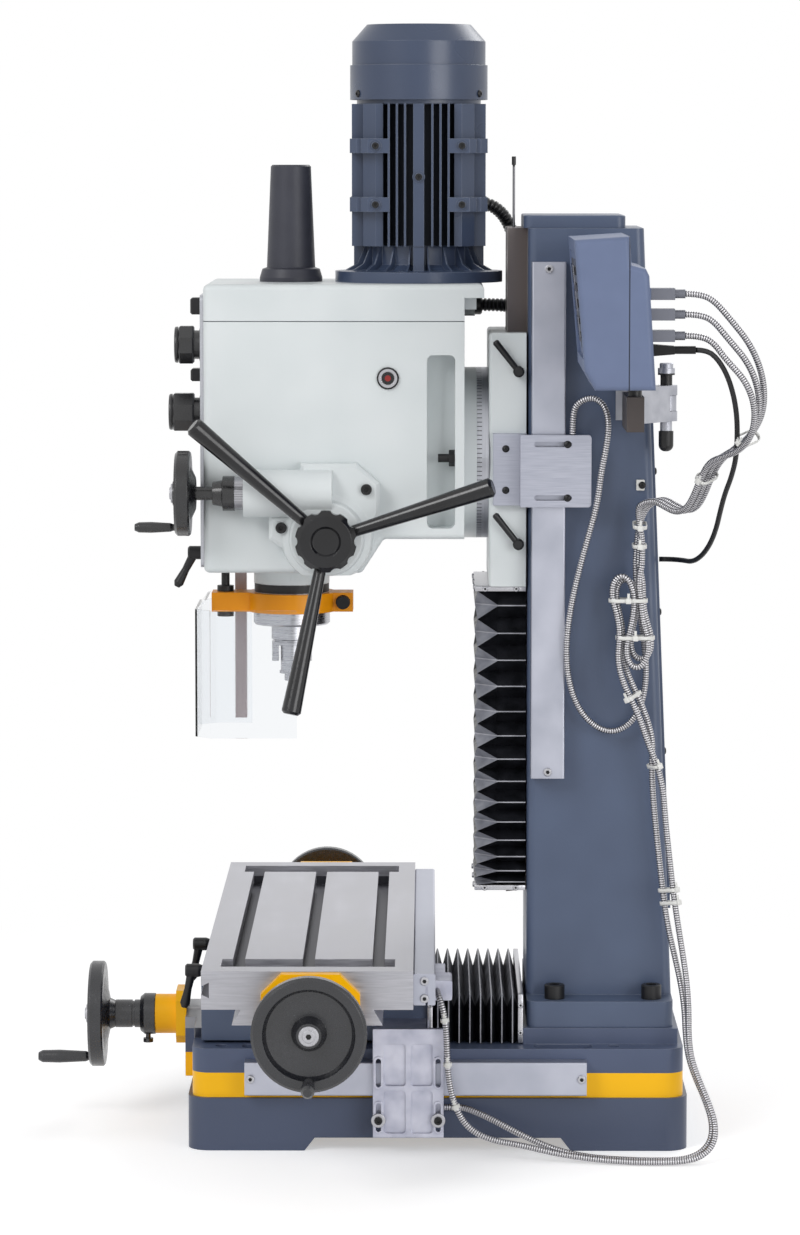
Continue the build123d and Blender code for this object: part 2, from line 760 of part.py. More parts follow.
def x_scale():
    place = Plane(
        origin=(-X_SCALE_LENGTH / 2, TABLE_REAR, X_SCALE_TOP - X_SCALE_HEIGHT),
        x_dir=(0, 1, 0),
        z_dir=(1, 0, 0),
    )
    return extrude(place * scale_section(X_SCALE_WIDTH, X_SCALE_HEIGHT), X_SCALE_LENGTH)


# Bellows, as pleated covers open towards the ways
def pleated(outline, inner, places, plane):
    """A ruled skin through outer and inner open outlines by turns, with an even wall."""
    sections = []
    for number, place in enumerate(places):
        fold = inner if number % 2 else 0
        section = outline(fold)
        sections.append(plane(place) * section)
    return loft(sections, ruled=True)


def z_bellows():
    top = SLIDE_BOTTOM - BELLOWS_PLATE
    low = Z_BELLOWS_BOTTOM + BELLOWS_PLATE
    rear = COLUMN_FRONT - AIR
    half_inner = Z_BELLOWS_HALF - Z_BELLOWS_FOLD - BELLOWS_WALL

    def outline(fold):
        half = Z_BELLOWS_HALF - fold
        front = Z_BELLOWS_FRONT + fold
        inner = half - BELLOWS_WALL
        return face_of([
            (-half, rear), (-half, front), (half, front), (half, rear),
            (inner, rear), (inner, front + BELLOWS_WALL), (-inner, front + BELLOWS_WALL), (-inner, rear),
        ])

    def plane(z):
        return Plane.XY.offset(z)

    steps = 2 * Z_BELLOWS_PLEATS
    # The folds lie closer together towards the bottom, where their own weight closes them
    places = [low + (top - low) * (n / steps) ** 1.35 for n in range(steps + 1)]
    skin = pleated(outline, Z_BELLOWS_FOLD, places, plane)
    plates = []
    for z in ((Z_BELLOWS_BOTTOM, low), (top, SLIDE_BOTTOM)):
        plate = block(both(Z_BELLOWS_HALF), (Z_BELLOWS_FRONT, rear), z)
        plates.append(plate - block(both(half_inner), (Z_WAY_FRONT - AIR, rear), z))
    return group(skin, *plates)


def y_bellows():
    front = SADDLE_REAR + BELLOWS_PLATE
    pad = COLUMN_FRONT - PAD_MARGIN
    rear = pad - BELLOWS_PLATE
    floor = DECK_Z + AIR

    def outline(fold):
        half = Y_BELLOWS_HALF - fold
        top = Y_BELLOWS_TOP - fold
        inner = half - BELLOWS_WALL
        roof = top - BELLOWS_WALL
        return face_of([
            (-half, floor), (-half, top), (half, top), (half, floor),
            (inner, floor), (inner, roof), (-inner, roof), (-inner, floor),
        ])

    def plane(y):
        return Plane(origin=(0, y, 0), x_dir=(1, 0, 0), z_dir=(0, -1, 0))

    steps = 2 * Y_BELLOWS_PLEATS
    places = [front + (rear - front) * n / steps for n in range(steps + 1)]
    skin = pleated(outline, Y_BELLOWS_FOLD, places, plane)
    plates = []
    inner = Y_BELLOWS_HALF - Y_BELLOWS_FOLD - BELLOWS_WALL
    opening = max(WAY_Z, Y_SCREW_Z + SCREW_R) + AIR
    for y in ((SADDLE_REAR, front), (rear, pad)):
        plate = block(both(Y_BELLOWS_HALF), y, (floor, Y_BELLOWS_TOP))
        plates.append(plate - block(both(inner), y, (floor, opening)))
    return group(skin, *plates)


# Saddle and table
def table_dovetail(spread=0):
    half = TABLE_NECK / 2 + TABLE_DOVETAIL_HEIGHT / tan(radians(DOVETAIL_ANGLE))
    neck = TABLE_NECK / 2
    low = TABLE_DOVETAIL_Z - spread
    return [
        (TABLE_Y - half - spread, low),
        (TABLE_Y + half + spread, low),
        (TABLE_Y + neck + spread, TABLE_SLAB_Z),
        (TABLE_Y - neck - spread, TABLE_SLAB_Z),
    ]


def saddle_casting():
    y = (SADDLE_FRONT, SADDLE_REAR)
    body = block(both(SADDLE_X), y, (DECK_Z + SADDLE_SKIRT_GAP, SADDLE_Z))
    ways = prism_y(dovetail(WAY_WIDTH / 2, WAY_HEIGHT, WAY_Z, SLIDE), y)
    channel = block(both(SADDLE_CHANNEL_HALF), y, (DECK_Z, SADDLE_CHANNEL_TOP))
    table_groove = prism_x(table_dovetail(SLIDE), both(SADDLE_X))
    screw_y = (X_SCREW_Y - X_NUT_WIDTH / 2 - AIR, X_SCREW_Y + X_NUT_WIDTH / 2 + AIR)
    screw_channel = block(both(SADDLE_X), screw_y, (TABLE_DOVETAIL_Z - X_CHANNEL_DROP, TABLE_SLAB_Z))
    body -= [ways, channel, table_groove, screw_channel]
    for x in both(TABLE_LOCK_X):
        body -= rod_y(LOCK_STUD_R + RUN, x, (SADDLE_FRONT, SADDLE_FRONT + LOCK_STUD_DEPTH), TABLE_LOCK_Z)
    return body


def feed_nuts():
    x_nut_y = (X_SCREW_Y - X_NUT_WIDTH / 2, X_SCREW_Y + X_NUT_WIDTH / 2)
    x_nut_z = (TABLE_DOVETAIL_Z - X_CHANNEL_DROP, X_SCREW_Z + SCREW_R + 4)
    x_nut = block(both(X_NUT_LENGTH / 2), x_nut_y, x_nut_z)
    x_nut -= rod_x(SCREW_R + RUN, both(X_NUT_LENGTH), X_SCREW_Y, X_SCREW_Z)
    y_nut_y = (TABLE_Y - Y_NUT_LENGTH / 2, TABLE_Y + Y_NUT_LENGTH / 2)
    y_nut = block(both(Y_NUT_WIDTH / 2), y_nut_y, (Y_SCREW_Z - Y_NUT_WIDTH / 2, SADDLE_CHANNEL_TOP))
    y_nut -= rod_y(SCREW_R + RUN, 0, y_nut_y, Y_SCREW_Z)
    return group(x_nut, y_nut)


def table_casting():
    x = both(TABLE_END)
    front = TABLE_Y - TABLE_WIDTH / 2
    body = block(x, (front, TABLE_REAR), (TABLE_SLAB_Z, TABLE_Z))
    body += prism_x(table_dovetail(), x)
    trough_outer = TABLE_END - TROUGH_INSET
    trough_inner = trough_outer - TROUGH_WIDTH
    slot_z = (TABLE_Z - T_SLOT_DEPTH, TABLE_Z)
    cuts = []
    for number in (-1, 0, 1):
        y = TABLE_Y + number * T_SLOT_PITCH
        cuts.append(block(both(trough_outer), (y - T_SLOT_WIDTH / 2, y + T_SLOT_WIDTH / 2), slot_z))
        foot_y = (y - T_SLOT_FOOT_WIDTH / 2, y + T_SLOT_FOOT_WIDTH / 2)
        foot_z = (slot_z[0], slot_z[0] + T_SLOT_FOOT_HEIGHT)
        cuts.append(block(both(trough_outer), foot_y, foot_z))
    trough_y = (TABLE_Y - TROUGH_LENGTH / 2, TABLE_Y + TROUGH_LENGTH / 2)
    for side in (1, -1):
        trough_x = sorted((side * trough_inner, side * trough_outer))
        cuts.append(block(trough_x, trough_y, slot_z))
    channel_y = (X_SCREW_Y - X_CHANNEL_WIDTH / 2, X_SCREW_Y + X_CHANNEL_WIDTH / 2)
    cuts.append(block(x, channel_y, (TABLE_DOVETAIL_Z, TABLE_DOVETAIL_Z + X_CHANNEL_RISE)))
    groove_z = TABLE_SLAB_Z + TABLE_SLAB / 2
    cuts.append(prism_x([
        (front, groove_z - STOP_GROOVE / 2),
        (front + STOP_GROOVE, groove_z - STOP_GROOVE),
        (front + STOP_GROOVE, groove_z + STOP_GROOVE),
        (front, groove_z + STOP_GROOVE / 2),
    ], x))
    return body - cuts


def end_bracket(side):
    """Eight-sided bearing plate with a boss for the table screw, at one end of the table."""
    top = TABLE_Z - X_SCREW_Z - 1
    shoulder = END_BRACKET_HALF - END_BRACKET_TOP_HALF
    outline = [
        (X_SCREW_Y - END_BRACKET_TOP_HALF, X_SCREW_Z - top),
        (X_SCREW_Y + END_BRACKET_TOP_HALF, X_SCREW_Z - top),
        (X_SCREW_Y + END_BRACKET_HALF, X_SCREW_Z - top + shoulder),
        (X_SCREW_Y + END_BRACKET_HALF, X_SCREW_Z + top - shoulder),
        (X_SCREW_Y + END_BRACKET_TOP_HALF, X_SCREW_Z + top),
        (X_SCREW_Y - END_BRACKET_TOP_HALF, X_SCREW_Z + top),
        (X_SCREW_Y - END_BRACKET_HALF, X_SCREW_Z + top - shoulder),
        (X_SCREW_Y - END_BRACKET_HALF, X_SCREW_Z - top + shoulder),
    ]
    plate_end = TABLE_END + END_BRACKET_THICKNESS
    boss_end = plate_end + END_BRACKET_BOSS
    plate = prism_x(outline, sorted((side * TABLE_END, side * plate_end)))
    plate += rod_x(END_BRACKET_BOSS_R, sorted((side * plate_end, side * boss_end)), X_SCREW_Y, X_SCREW_Z)
    bore = sorted((side * TABLE_END, side * boss_end))
    return plate - rod_x(SCREW_SHAFT_R + RUN, bore, X_SCREW_Y, X_SCREW_Z)


def table_end_brackets():
    return group(end_bracket(1), end_bracket(-1))


def handwheel(radius, bore, hub):
    """A dished plate wheel on X, with its hub's rear face at X = 0 and the rim forward."""
    rim_front = hub - 3
    rim_rear = rim_front - 18
    web = 6
    inner = radius - WHEEL_RIM
    return turned_x([
        (0, bore),
        (0, WHEEL_HUB_R),
        (rim_rear - web, WHEEL_HUB_R + 3),
        (rim_rear, inner - 4),
        (rim_rear, radius - 2),
        (rim_rear + 2, radius),
        (rim_front - 3, radius),
        (rim_front, radius - 3),
        (rim_front, inner + 1),
        (rim_front - 2, inner),
        (rim_rear + web + 2, inner - 3),
        (rim_rear + web - 2, WHEEL_HUB_R + 4),
        (hub, WHEEL_HUB_R - 2),
        (hub, bore),
    ])


def grip(length, radius):
    """A turned crank handle on X, standing on X = 0."""
    return turned_x([
        (0, 0),
        (0, radius * 0.62),
        (3, radius * 0.62),
        (6, radius * 0.8),
        (length * 0.6, radius),
        (length - 5, radius * 0.94),
        (length, radius * 0.6),
        (length, 0),
    ])


def graduated_dial(length):
    """A scale collar on X, with a chamfered rim."""
    return turned_x([
        (0, SCREW_SHAFT_R),
        (0, DIAL_R),
        (length - 5, DIAL_R),
        (length, DIAL_R - 4),
        (length, SCREW_SHAFT_R),
    ])


def x_wheel_set(side):
    """Wheel, handle and dial at one end of the table screw."""
    turn = Rot(0, 0, 0 if side > 0 else 180)
    start = TABLE_END + END_BRACKET_THICKNESS + END_BRACKET_BOSS + SLIDE
    rim = WHEEL_R - HANDLE_INSET
    wheel_x = start + DIAL_LENGTH
    wheel = Pos(wheel_x, 0, 0) * handwheel(WHEEL_R, SCREW_SHAFT_R, WHEEL_HUB_LENGTH)
    handle = Pos(wheel_x + WHEEL_HUB_LENGTH - 3, 0, -rim) * grip(HANDLE_LENGTH, HANDLE_R)
    dial = Pos(start, 0, 0) * graduated_dial(DIAL_LENGTH)
    place = Pos(0, X_SCREW_Y, X_SCREW_Z) * turn
    return [place * wheel, place * handle, place * dial]


def x_handwheels():
    return group(*x_wheel_set(1), *x_wheel_set(-1))


def x_leadscrew():
    end = TABLE_END + END_BRACKET_THICKNESS + END_BRACKET_BOSS + SLIDE + DIAL_LENGTH + WHEEL_HUB_LENGTH
    screw = rod_x(SCREW_R, both(TABLE_END - AIR), X_SCREW_Y, X_SCREW_Z)
    return screw + rod_x(SCREW_SHAFT_R, both(end), X_SCREW_Y, X_SCREW_Z)


def y_feed_bracket():
    half = Y_BRACKET_FLANGE / 2
    cut = half / 3
    outline = [
        (-half, Y_SCREW_Z - half + cut), (-half + cut, Y_SCREW_Z - half),
        (half - cut, Y_SCREW_Z - half), (half, Y_SCREW_Z - half + cut),
        (half, Y_SCREW_Z + half - cut), (half - cut, Y_SCREW_Z + half),
        (-half + cut, Y_SCREW_Z + half), (-half, Y_SCREW_Z + half - cut),
    ]
    flange_y = (Y_BRACKET_Y - Y_BRACKET_FLANGE_THICKNESS, Y_BRACKET_Y)
    body = prism_y(outline, flange_y)
    body += rod_y(Y_BRACKET_HOUSING_R, 0, (Y_HOUSING_FRONT, flange_y[0]), Y_SCREW_Z)
    return body - rod_y(SCREW_SHAFT_R + RUN, 0, (Y_HOUSING_FRONT, Y_BRACKET_Y), Y_SCREW_Z)


def y_leadscrew():
    thread_y = (BASE_FRONT + BASE_WALL, WAY_REAR - BASE_WALL)
    screw = rod_y(SCREW_R, 0, thread_y, Y_SCREW_Z)
    return screw + rod_y(SCREW_SHAFT_R, 0, (Y_WHEEL_REAR - WHEEL_HUB_LENGTH, thread_y[0]), Y_SCREW_Z)


def y_handwheel():
    turn = Pos(0, 0, Y_SCREW_Z) * Rot(0, 0, -90)
    wheel = Pos(-Y_WHEEL_REAR, 0, 0) * handwheel(WHEEL_R - 1, SCREW_SHAFT_R, WHEEL_HUB_LENGTH)
    start = -Y_DIAL_FRONT
    groove = start + SLEEVE_GROOVE_START
    sleeve = turned_x([
        (start, SCREW_SHAFT_R), (start, SLEEVE_R), (groove, SLEEVE_R), (groove, SLEEVE_R - SLEEVE_GROOVE),
        (groove + 2 * SLEEVE_GROOVE, SLEEVE_R - SLEEVE_GROOVE), (groove + 2 * SLEEVE_GROOVE, SLEEVE_R),
        (-Y_WHEEL_REAR, SLEEVE_R), (-Y_WHEEL_REAR, SCREW_SHAFT_R),
    ])
    handle_x = -Y_WHEEL_REAR + WHEEL_HUB_LENGTH - 3
    handle = Pos(handle_x, 0, HANDLE_INSET - WHEEL_R) * grip(HANDLE_LENGTH + 8, HANDLE_R)
    dial = Pos(-Y_HOUSING_FRONT + SLIDE, 0, 0) * graduated_dial(DIAL_LENGTH)
    screw_y = Y_HOUSING_FRONT - SLIDE - DIAL_LENGTH / 2
    thumb = rod_z(3, 0, screw_y, (Y_SCREW_Z - DIAL_R - 6, Y_SCREW_Z - DIAL_R + 6))
    thumb += rod_z(6, 0, screw_y, (Y_SCREW_Z - DIAL_R - 10, Y_SCREW_Z - DIAL_R - 5))
    return group(turn * wheel, turn * sleeve, turn * handle, turn * dial + thumb)


def clamp_lever(lean):
    """An adjustable clamp lever. Its stud runs along +Y from the hub, and its arm hangs down."""
    hub = turned_x([
        (-LOCK_STUD_DEPTH, 0), (-LOCK_STUD_DEPTH, LOCK_STUD_R), (0, LOCK_STUD_R), (0, CLAMP_HUB_R - 2),
        (6, CLAMP_HUB_R), (CLAMP_HUB - 2, CLAMP_HUB_R), (CLAMP_HUB, CLAMP_HUB_R - 2), (CLAMP_HUB, 0),
    ])
    hub = Rot(0, 0, -90) * hub
    arm = Pos(0, -CLAMP_HUB + CLAMP_HUB_R, 0) * Rot(-lean, 0, 0) * Rot(0, 90, 0) * turned_x([
        (0, 0), (0, CLAMP_HUB_R * 0.7), (CLAMP_ARM * 0.5, CLAMP_HUB_R * 0.55),
        (CLAMP_ARM - 5, CLAMP_HUB_R * 0.75), (CLAMP_ARM, CLAMP_HUB_R * 0.4), (CLAMP_ARM, 0),
    ])
    return hub + arm


def table_lock_lever(x):
    return Pos(x, SADDLE_FRONT, TABLE_LOCK_Z) * clamp_lever(12)


def x_reader():
    """Reading head under the table's scale, on an arm behind the saddle."""
    under = X_SCALE_TOP - X_SCALE_HEIGHT - READER_GAP
    rear = TABLE_REAR + X_SCALE_WIDTH + READER_GAP + READER_PLATE
    low = Y_BELLOWS_TOP + AIR
    arm = block((SADDLE_X - X_READER_ARM, SADDLE_X), (SADDLE_REAR, rear), (low, under))
    head_y = (TABLE_REAR + READER_GAP, rear + READER_PLATE)
    head = block((SADDLE_X, SADDLE_X + X_READER_LENGTH), head_y, (low, under))
    head = fillet(head.edges().filter_by(Axis.X), 3)
    return arm + head


def y_reader_bracket():
    """Cast plate with crossing ribs and slots, hung on the near side of the saddle."""
    y = (Y_READER_FRONT, Y_READER_REAR)
    rim = 9
    plate_x = (Y_PLATE_X, Y_PLATE_X + READER_PLATE)
    body = block(plate_x, y, (Y_READER_BOTTOM, Y_READER_TOP))
    body += block((SADDLE_X, Y_PLATE_X), (y[0], SADDLE_REAR - AIR), (Y_READER_TOP - 12, Y_READER_TOP))
    middle_y = (y[0] + y[1]) / 2
    middle_z = (Y_READER_BOTTOM + Y_READER_TOP - 12) / 2
    cell_x = (plate_x[1] - Y_READER_RIB, plate_x[1])
    slot_half = 3
    for side in (-1, 1):
        cell_y = sorted((middle_y + side * 3, middle_y + side * (Y_READER_WIDTH / 2 - rim - 4)))
        for cell_z in ((Y_READER_BOTTOM + 5, middle_z - 3), (middle_z + 3, Y_READER_TOP - 18)):
            cell = block(cell_x, cell_y, cell_z)
            body -= fillet(cell.edges().filter_by(Axis.X), 4)
        slot_y = middle_y + side * (Y_READER_WIDTH / 2 - rim / 2 - 2)
        for slot_z in (Y_READER_BOTTOM + 24, Y_READER_TOP - 52):
            place = Plane.YZ.offset(plate_x[0]) * Pos(slot_y, slot_z)
            land = SlotOverall(READER_SLOT + 5, 4 * slot_half - 1, rotation=90)
            slot = SlotOverall(READER_SLOT, 2 * slot_half, rotation=90)
            body += extrude(place * land, READER_PLATE + READER_LAND)
            body -= extrude(place * slot, READER_PLATE + READER_LAND)
    head_z = (Y_SCALE_BOTTOM - READER_GAP - Y_READER_HEAD, Y_SCALE_BOTTOM - READER_GAP)
    return body + block((BASE_X + AIR, Y_PLATE_X), y, head_z)


def reader_brackets():
    return group(x_reader(), y_reader_bracket())


# Vertical slide
def z_slide_casting():
    z = (SLIDE_BOTTOM, SLIDE_TOP)
    rear = COLUMN_FRONT - AIR
    body = block(both(SLIDE_X), (SLIDE_FRONT, rear), z)
    body = fillet([e for e in body.edges() if e.center().Y < SLIDE_FRONT + 1], SLIDE_CORNER)
    rail = dovetail(Z_WAY_WIDTH / 2, Z_WAY_DEPTH, -Z_WAY_FRONT, SLIDE)
    body -= prism_z([(x, -y) for x, y in rail], z)
    nut_z = (SWIVEL_Z - Z_NUT_HEIGHT / 2, SWIVEL_Z + Z_NUT_HEIGHT / 2)
    nut_y = (Z_WAY_FRONT - SLIDE, Z_SCREW_Y + Z_SCREW_R + 8)
    nut = block(both(Z_NUT_WIDTH / 2), nut_y, nut_z)
    body += nut - rod_z(Z_SCREW_R + RUN, 0, Z_SCREW_Y, nut_z)
    body -= rod_y(SWIVEL_SPIGOT_R, 0, (SLIDE_FRONT, SLIDE_FRONT + SWIVEL_SPIGOT + AIR), SWIVEL_Z)
    for z_lever in (SWIVEL_Z - LOCK_LEVER_OFFSET, SWIVEL_Z + LOCK_LEVER_OFFSET):
        body -= rod_x(LOCK_STUD_R + RUN, (SLIDE_X - LOCK_STUD_DEPTH, SLIDE_X), LOCK_LEVER_Y, z_lever)
    return body


def swivel_ring():
    ring = rod_y(SWIVEL_R, 0, (RING_FRONT, SLIDE_FRONT), SWIVEL_Z)
    return ring - rod_y(SWIVEL_SPIGOT_R, 0, (RING_FRONT, SLIDE_FRONT), SWIVEL_Z)


def z_reader_bracket():
    z = (Z_READER_BOTTOM, Z_READER_BOTTOM + Z_READER_HEIGHT)
    step = COLUMN_FRONT - AIR
    foot = block((SLIDE_X, SLIDE_X + READER_PLATE), (SLIDE_FRONT + 5, step), z)
    web = block((SLIDE_X, Z_PLATE_X), (step - READER_PLATE, step), z)
    plate = block((Z_PLATE_X, Z_PLATE_X + READER_PLATE), (step - READER_PLATE, Z_READER_REAR), z)
    plate = fillet([e for e in plate.edges().filter_by(Axis.X) if e.center().Y > step], 4)
    bracket = foot + web + plate
    for z_slot in (z[0] + 11, z[1] - 11):
        slot = Pos(Z_READER_REAR - 45, z_slot) * SlotOverall(44, 6)
        bracket -= extrude(Plane.YZ.offset(Z_PLATE_X) * slot, READER_PLATE)
    return bracket


def z_lock_lever(z):
    hub = rod_x(LOCK_LEVER_HUB_R, (SLIDE_X, SLIDE_X + 16), LOCK_LEVER_Y, z)
    hub = chamfer(hub.edges().sort_by(Axis.X)[-1], 2)
    stud = rod_x(LOCK_STUD_R, (SLIDE_X - LOCK_STUD_DEPTH, SLIDE_X), LOCK_LEVER_Y, z)
    arm = turned_x([
        (0, 0), (0, LOCK_LEVER_R * 0.85), (LOCK_LEVER_LENGTH - 2, LOCK_LEVER_R),
        (LOCK_LEVER_LENGTH, LOCK_LEVER_R - 1.5), (LOCK_LEVER_LENGTH, 0),
    ])
    place = Pos(SLIDE_X + 10, LOCK_LEVER_Y, z) * Rot(LOCK_LEVER_ANGLE, 0, 0) * Rot(0, 0, 86)
    return hub + stud + place * arm


# Head
def head_casting():
    outline = [
        (HEAD_FRONT, HEAD_BOTTOM),
        (HEAD_STEP_Y - HEAD_SLOPE, HEAD_BOTTOM),
        (HEAD_STEP_Y, HEAD_STEP_Z),
        (HEAD_REAR, HEAD_STEP_Z),
        (HEAD_REAR, HEAD_SEAM),
        (HEAD_FRONT, HEAD_SEAM),
    ]
    body = prism_x(outline, both(HEAD_X))
    rounded = [e for e in body.edges() if e.center().Z < HEAD_SEAM - 1 and e.center().Y < HEAD_REAR - 1]
    body = fillet(rounded, HEAD_EDGE)
    body += rod_y(SWIVEL_R, 0, (HEAD_REAR, RING_FRONT), SWIVEL_Z)
    body += rod_y(SWIVEL_SPIGOT_R - SLIDE, 0, (RING_FRONT, SLIDE_FRONT + SWIVEL_SPIGOT), SWIVEL_Z)
    collar_z = (HEAD_BOTTOM - COLLAR_HEIGHT, HEAD_BOTTOM)
    body += rod_z(COLLAR_R, 0, SPINDLE_Y, collar_z)
    # The gearbox narrows between the two side pockets
    gearbox_y = (HEAD_FRONT + HEAD_WALL, HEAD_REAR - HEAD_WALL)
    pocket_y = (SIDE_POCKET_Y - SIDE_POCKET_WIDTH / 2, SIDE_POCKET_Y + SIDE_POCKET_WIDTH / 2)
    knob_y = (HEAD_FRONT, HEAD_FRONT + HEAD_WALL)
    pinion_x = (-2 * RACK_WIDTH, HEAD_X)
    bar_z = (HEAD_BOTTOM, HEAD_BOTTOM + GUARD_PIVOT + AIR)
    lock_y = (HEAD_FRONT, HEAD_FRONT + LOCK_STUD_DEPTH)
    cuts = [
        block(both(HEAD_X - HEAD_WALL), (gearbox_y[0], pocket_y[0] - HEAD_WALL), (GEARBOX_FLOOR, HEAD_SEAM)),
        block(both(HEAD_X - SIDE_POCKET_DEPTH - HEAD_WALL), gearbox_y, (GEARBOX_FLOOR, HEAD_SEAM)),
        rod_z(QUILL_R + RUN, 0, SPINDLE_Y, (collar_z[0], GEARBOX_FLOOR)),
        rod_x(PINION_R + GEAR_MODULE + AIR, pinion_x, PINION_Y, PINION_Z),
        rod_z(STOP_ROD_R + SLIDE, 0, STOP_ROD_Y, (HEAD_BOTTOM, STOP_ROD_TOP + AIR)),
        rod_z(GUARD_PIVOT_R + SLIDE, GUARD_BAR_X, GUARD_BAR_Y, bar_z),
        rod_y(LOCK_STUD_R + RUN, QUILL_LOCK_X, lock_y, QUILL_LOCK_Z),
        rod_z(COUNTERSHAFT_R + RUN, 0, COUNTER_Y, (GEARBOX_FLOOR - 16, GEARBOX_FLOOR)),
    ]
    for z in KNOB_Z:
        cuts.append(rod_y(KNOB_SHAFT_R + RUN, KNOB_X, knob_y, z))
    for side in (1, -1):
        pocket_x = sorted((side * (HEAD_X - SIDE_POCKET_DEPTH), side * HEAD_X))
        pocket_z = (SIDE_POCKET_Z - SIDE_POCKET_HEIGHT / 2, SIDE_POCKET_Z + SIDE_POCKET_HEIGHT / 2)
        pocket = block(pocket_x, pocket_y, pocket_z)
        cuts.append(fillet(pocket.edges().filter_by(Axis.X), HEAD_EDGE))
    return body - cuts


def head_lid():
    body = block(both(HEAD_X), (HEAD_FRONT, HEAD_REAR), (HEAD_SEAM, LID_Z))
    body += block(both(HEAD_X), (HEAD_REAR, LID_REAR), (LID_Z - LID_OVERHANG_THICKNESS, LID_Z))
    edges = [e for e in body.edges() if e.center().Z > LID_Z - 1]
    edges += [e for e in body.edges().filter_by(Axis.Z) if e.center().Y < HEAD_FRONT + 1]
    body = fillet(edges, HEAD_EDGE)
    seam = [e for e in body.edges() if e.center().Z < HEAD_SEAM + 0.1 and e.center().Y < HEAD_REAR - 1]
    body = chamfer(seam, LID_SEAM)
    rib_z = (LID_Z - LID_OVERHANG_THICKNESS - LID_RIB, LID_Z - LID_OVERHANG_THICKNESS)
    body += block(both(HEAD_X - HEAD_WALL), (HEAD_REAR, HEAD_REAR + LID_RIB), rib_z)
    boss_x = (CONDUIT_BOSS_X - GLAND_R - 4, CONDUIT_BOSS_X + GLAND_R + 4)
    body += block(boss_x, (HEAD_REAR, HEAD_REAR + LID_RIB), (HEAD_SEAM, rib_z[1]))
    inside_y = (HEAD_FRONT + HEAD_WALL, HEAD_REAR - HEAD_WALL)
    inside = block(both(HEAD_X - HEAD_WALL), inside_y, (HEAD_SEAM, LID_Z - LID_TOP_WALL))
    roof = (LID_Z - LID_TOP_WALL, LID_Z)
    shaft_hole = rod_z(MOTOR_SHAFT_R + 3 * AIR, 0, MOTOR_Y, roof)
    spindle_hole = rod_z(SPLINE_R + 2 * AIR, 0, SPINDLE_Y, roof)
    # The lid's web carries the countershaft's upper end
    web_z = (LID_Z - LID_TOP_WALL - 10, LID_Z - LID_TOP_WALL)
    boss = rod_z(2 * COUNTERSHAFT_R, 0, COUNTER_Y, web_z)
    bearing = rod_z(COUNTERSHAFT_R + RUN, 0, COUNTER_Y, web_z)
    return body - inside + boss - [shaft_hole, spindle_hole, bearing]


def front_panel():
    z = (HEAD_BOTTOM + PANEL_MARGIN, LID_Z - PANEL_MARGIN - HEAD_EDGE)
    y = (PANEL_Y, HEAD_FRONT)
    plate = block(both(PANEL_WIDTH / 2), y, z)
    plate = fillet(plate.edges().filter_by(Axis.Y), HEAD_EDGE)
    for z_knob in KNOB_Z:
        plate -= rod_y(KNOB_SHAFT_R + RUN, KNOB_X, y, z_knob)
    plate -= rod_y(CLAMP_HUB_R + AIR, QUILL_LOCK_X, y, QUILL_LOCK_Z)
    switches = []
    for z_switch, height in ((987, 20), (904, 15)):
        switch = block((-62, -34), (PANEL_Y - 19, PANEL_Y), (z_switch - height / 2, z_switch + height / 2))
        switches.append(chamfer(switch.faces().sort_by(Axis.Y)[0].edges(), 2))
    return group(plate, *switches)


def sight_glass():
    bezel = turned_x([
        (HEAD_X, SIGHT_GLASS_R), (HEAD_X, SIGHT_R), (HEAD_X + SIGHT_DEPTH - 1.5, SIGHT_R),
        (HEAD_X + SIGHT_DEPTH, SIGHT_R - 1.5), (HEAD_X + SIGHT_DEPTH, SIGHT_GLASS_R),
    ])
    glass = rod_x(SIGHT_GLASS_R, (HEAD_X, HEAD_X + SIGHT_DEPTH - 1.5), 0, 0)
    place = Pos(0, SIGHT_Y, SIGHT_Z)
    return group(place * bezel, place * glass)


def feed_cover():
    """Housing of the quill feed: a plate with two screw lands, a stepped round boss and the worm's barrel."""
    plate = prism_x([(PINION_Y + y, PINION_Z + z) for y, z in FEED_OUTLINE], (HEAD_X, FEED_X))
    plate = chamfer(plate.faces().sort_by(Axis.X)[-1].edges(), FEED_EDGE)
    boss = turned_x([
        (HEAD_X, 0), (HEAD_X, FEED_RING_R + 2), (FEED_X, FEED_RING_R - 1), (FEED_X + 4, FEED_BOSS_R + 2),
        (FEED_BOSS_X - 2, FEED_BOSS_R), (FEED_BOSS_X, FEED_BOSS_R - 2), (FEED_BOSS_X, 0),
    ])
    body = plate + Pos(0, PINION_Y, PINION_Z) * boss
    worm_y = (WORM_BOSS_FRONT, WORM_BOSS_FRONT + WORM_BOSS_LENGTH)
    barrel = rod_y(WORM_BOSS_R, WORM_X, worm_y, WORM_Z)
    width = 2 * WORM_BOSS_R
    inside = block((WORM_X - width, HEAD_X), worm_y, (WORM_Z - width, WORM_Z + width))
    body += barrel - inside
    body -= rod_x(FEED_SHAFT_R + RUN, (HEAD_X, FEED_BOSS_X), PINION_Y, PINION_Z)
    body -= rod_y(WORM_SHAFT_R + RUN, WORM_X, (worm_y[0], WORM_SHAFT_REAR + AIR), WORM_Z)
    below_z = (HEAD_BOTTOM - 2 * FEED_BOSS_R, HEAD_BOTTOM)
    below = block((HEAD_X, FEED_BOSS_X), (HEAD_FRONT, HEAD_REAR), below_z)
    return body - below


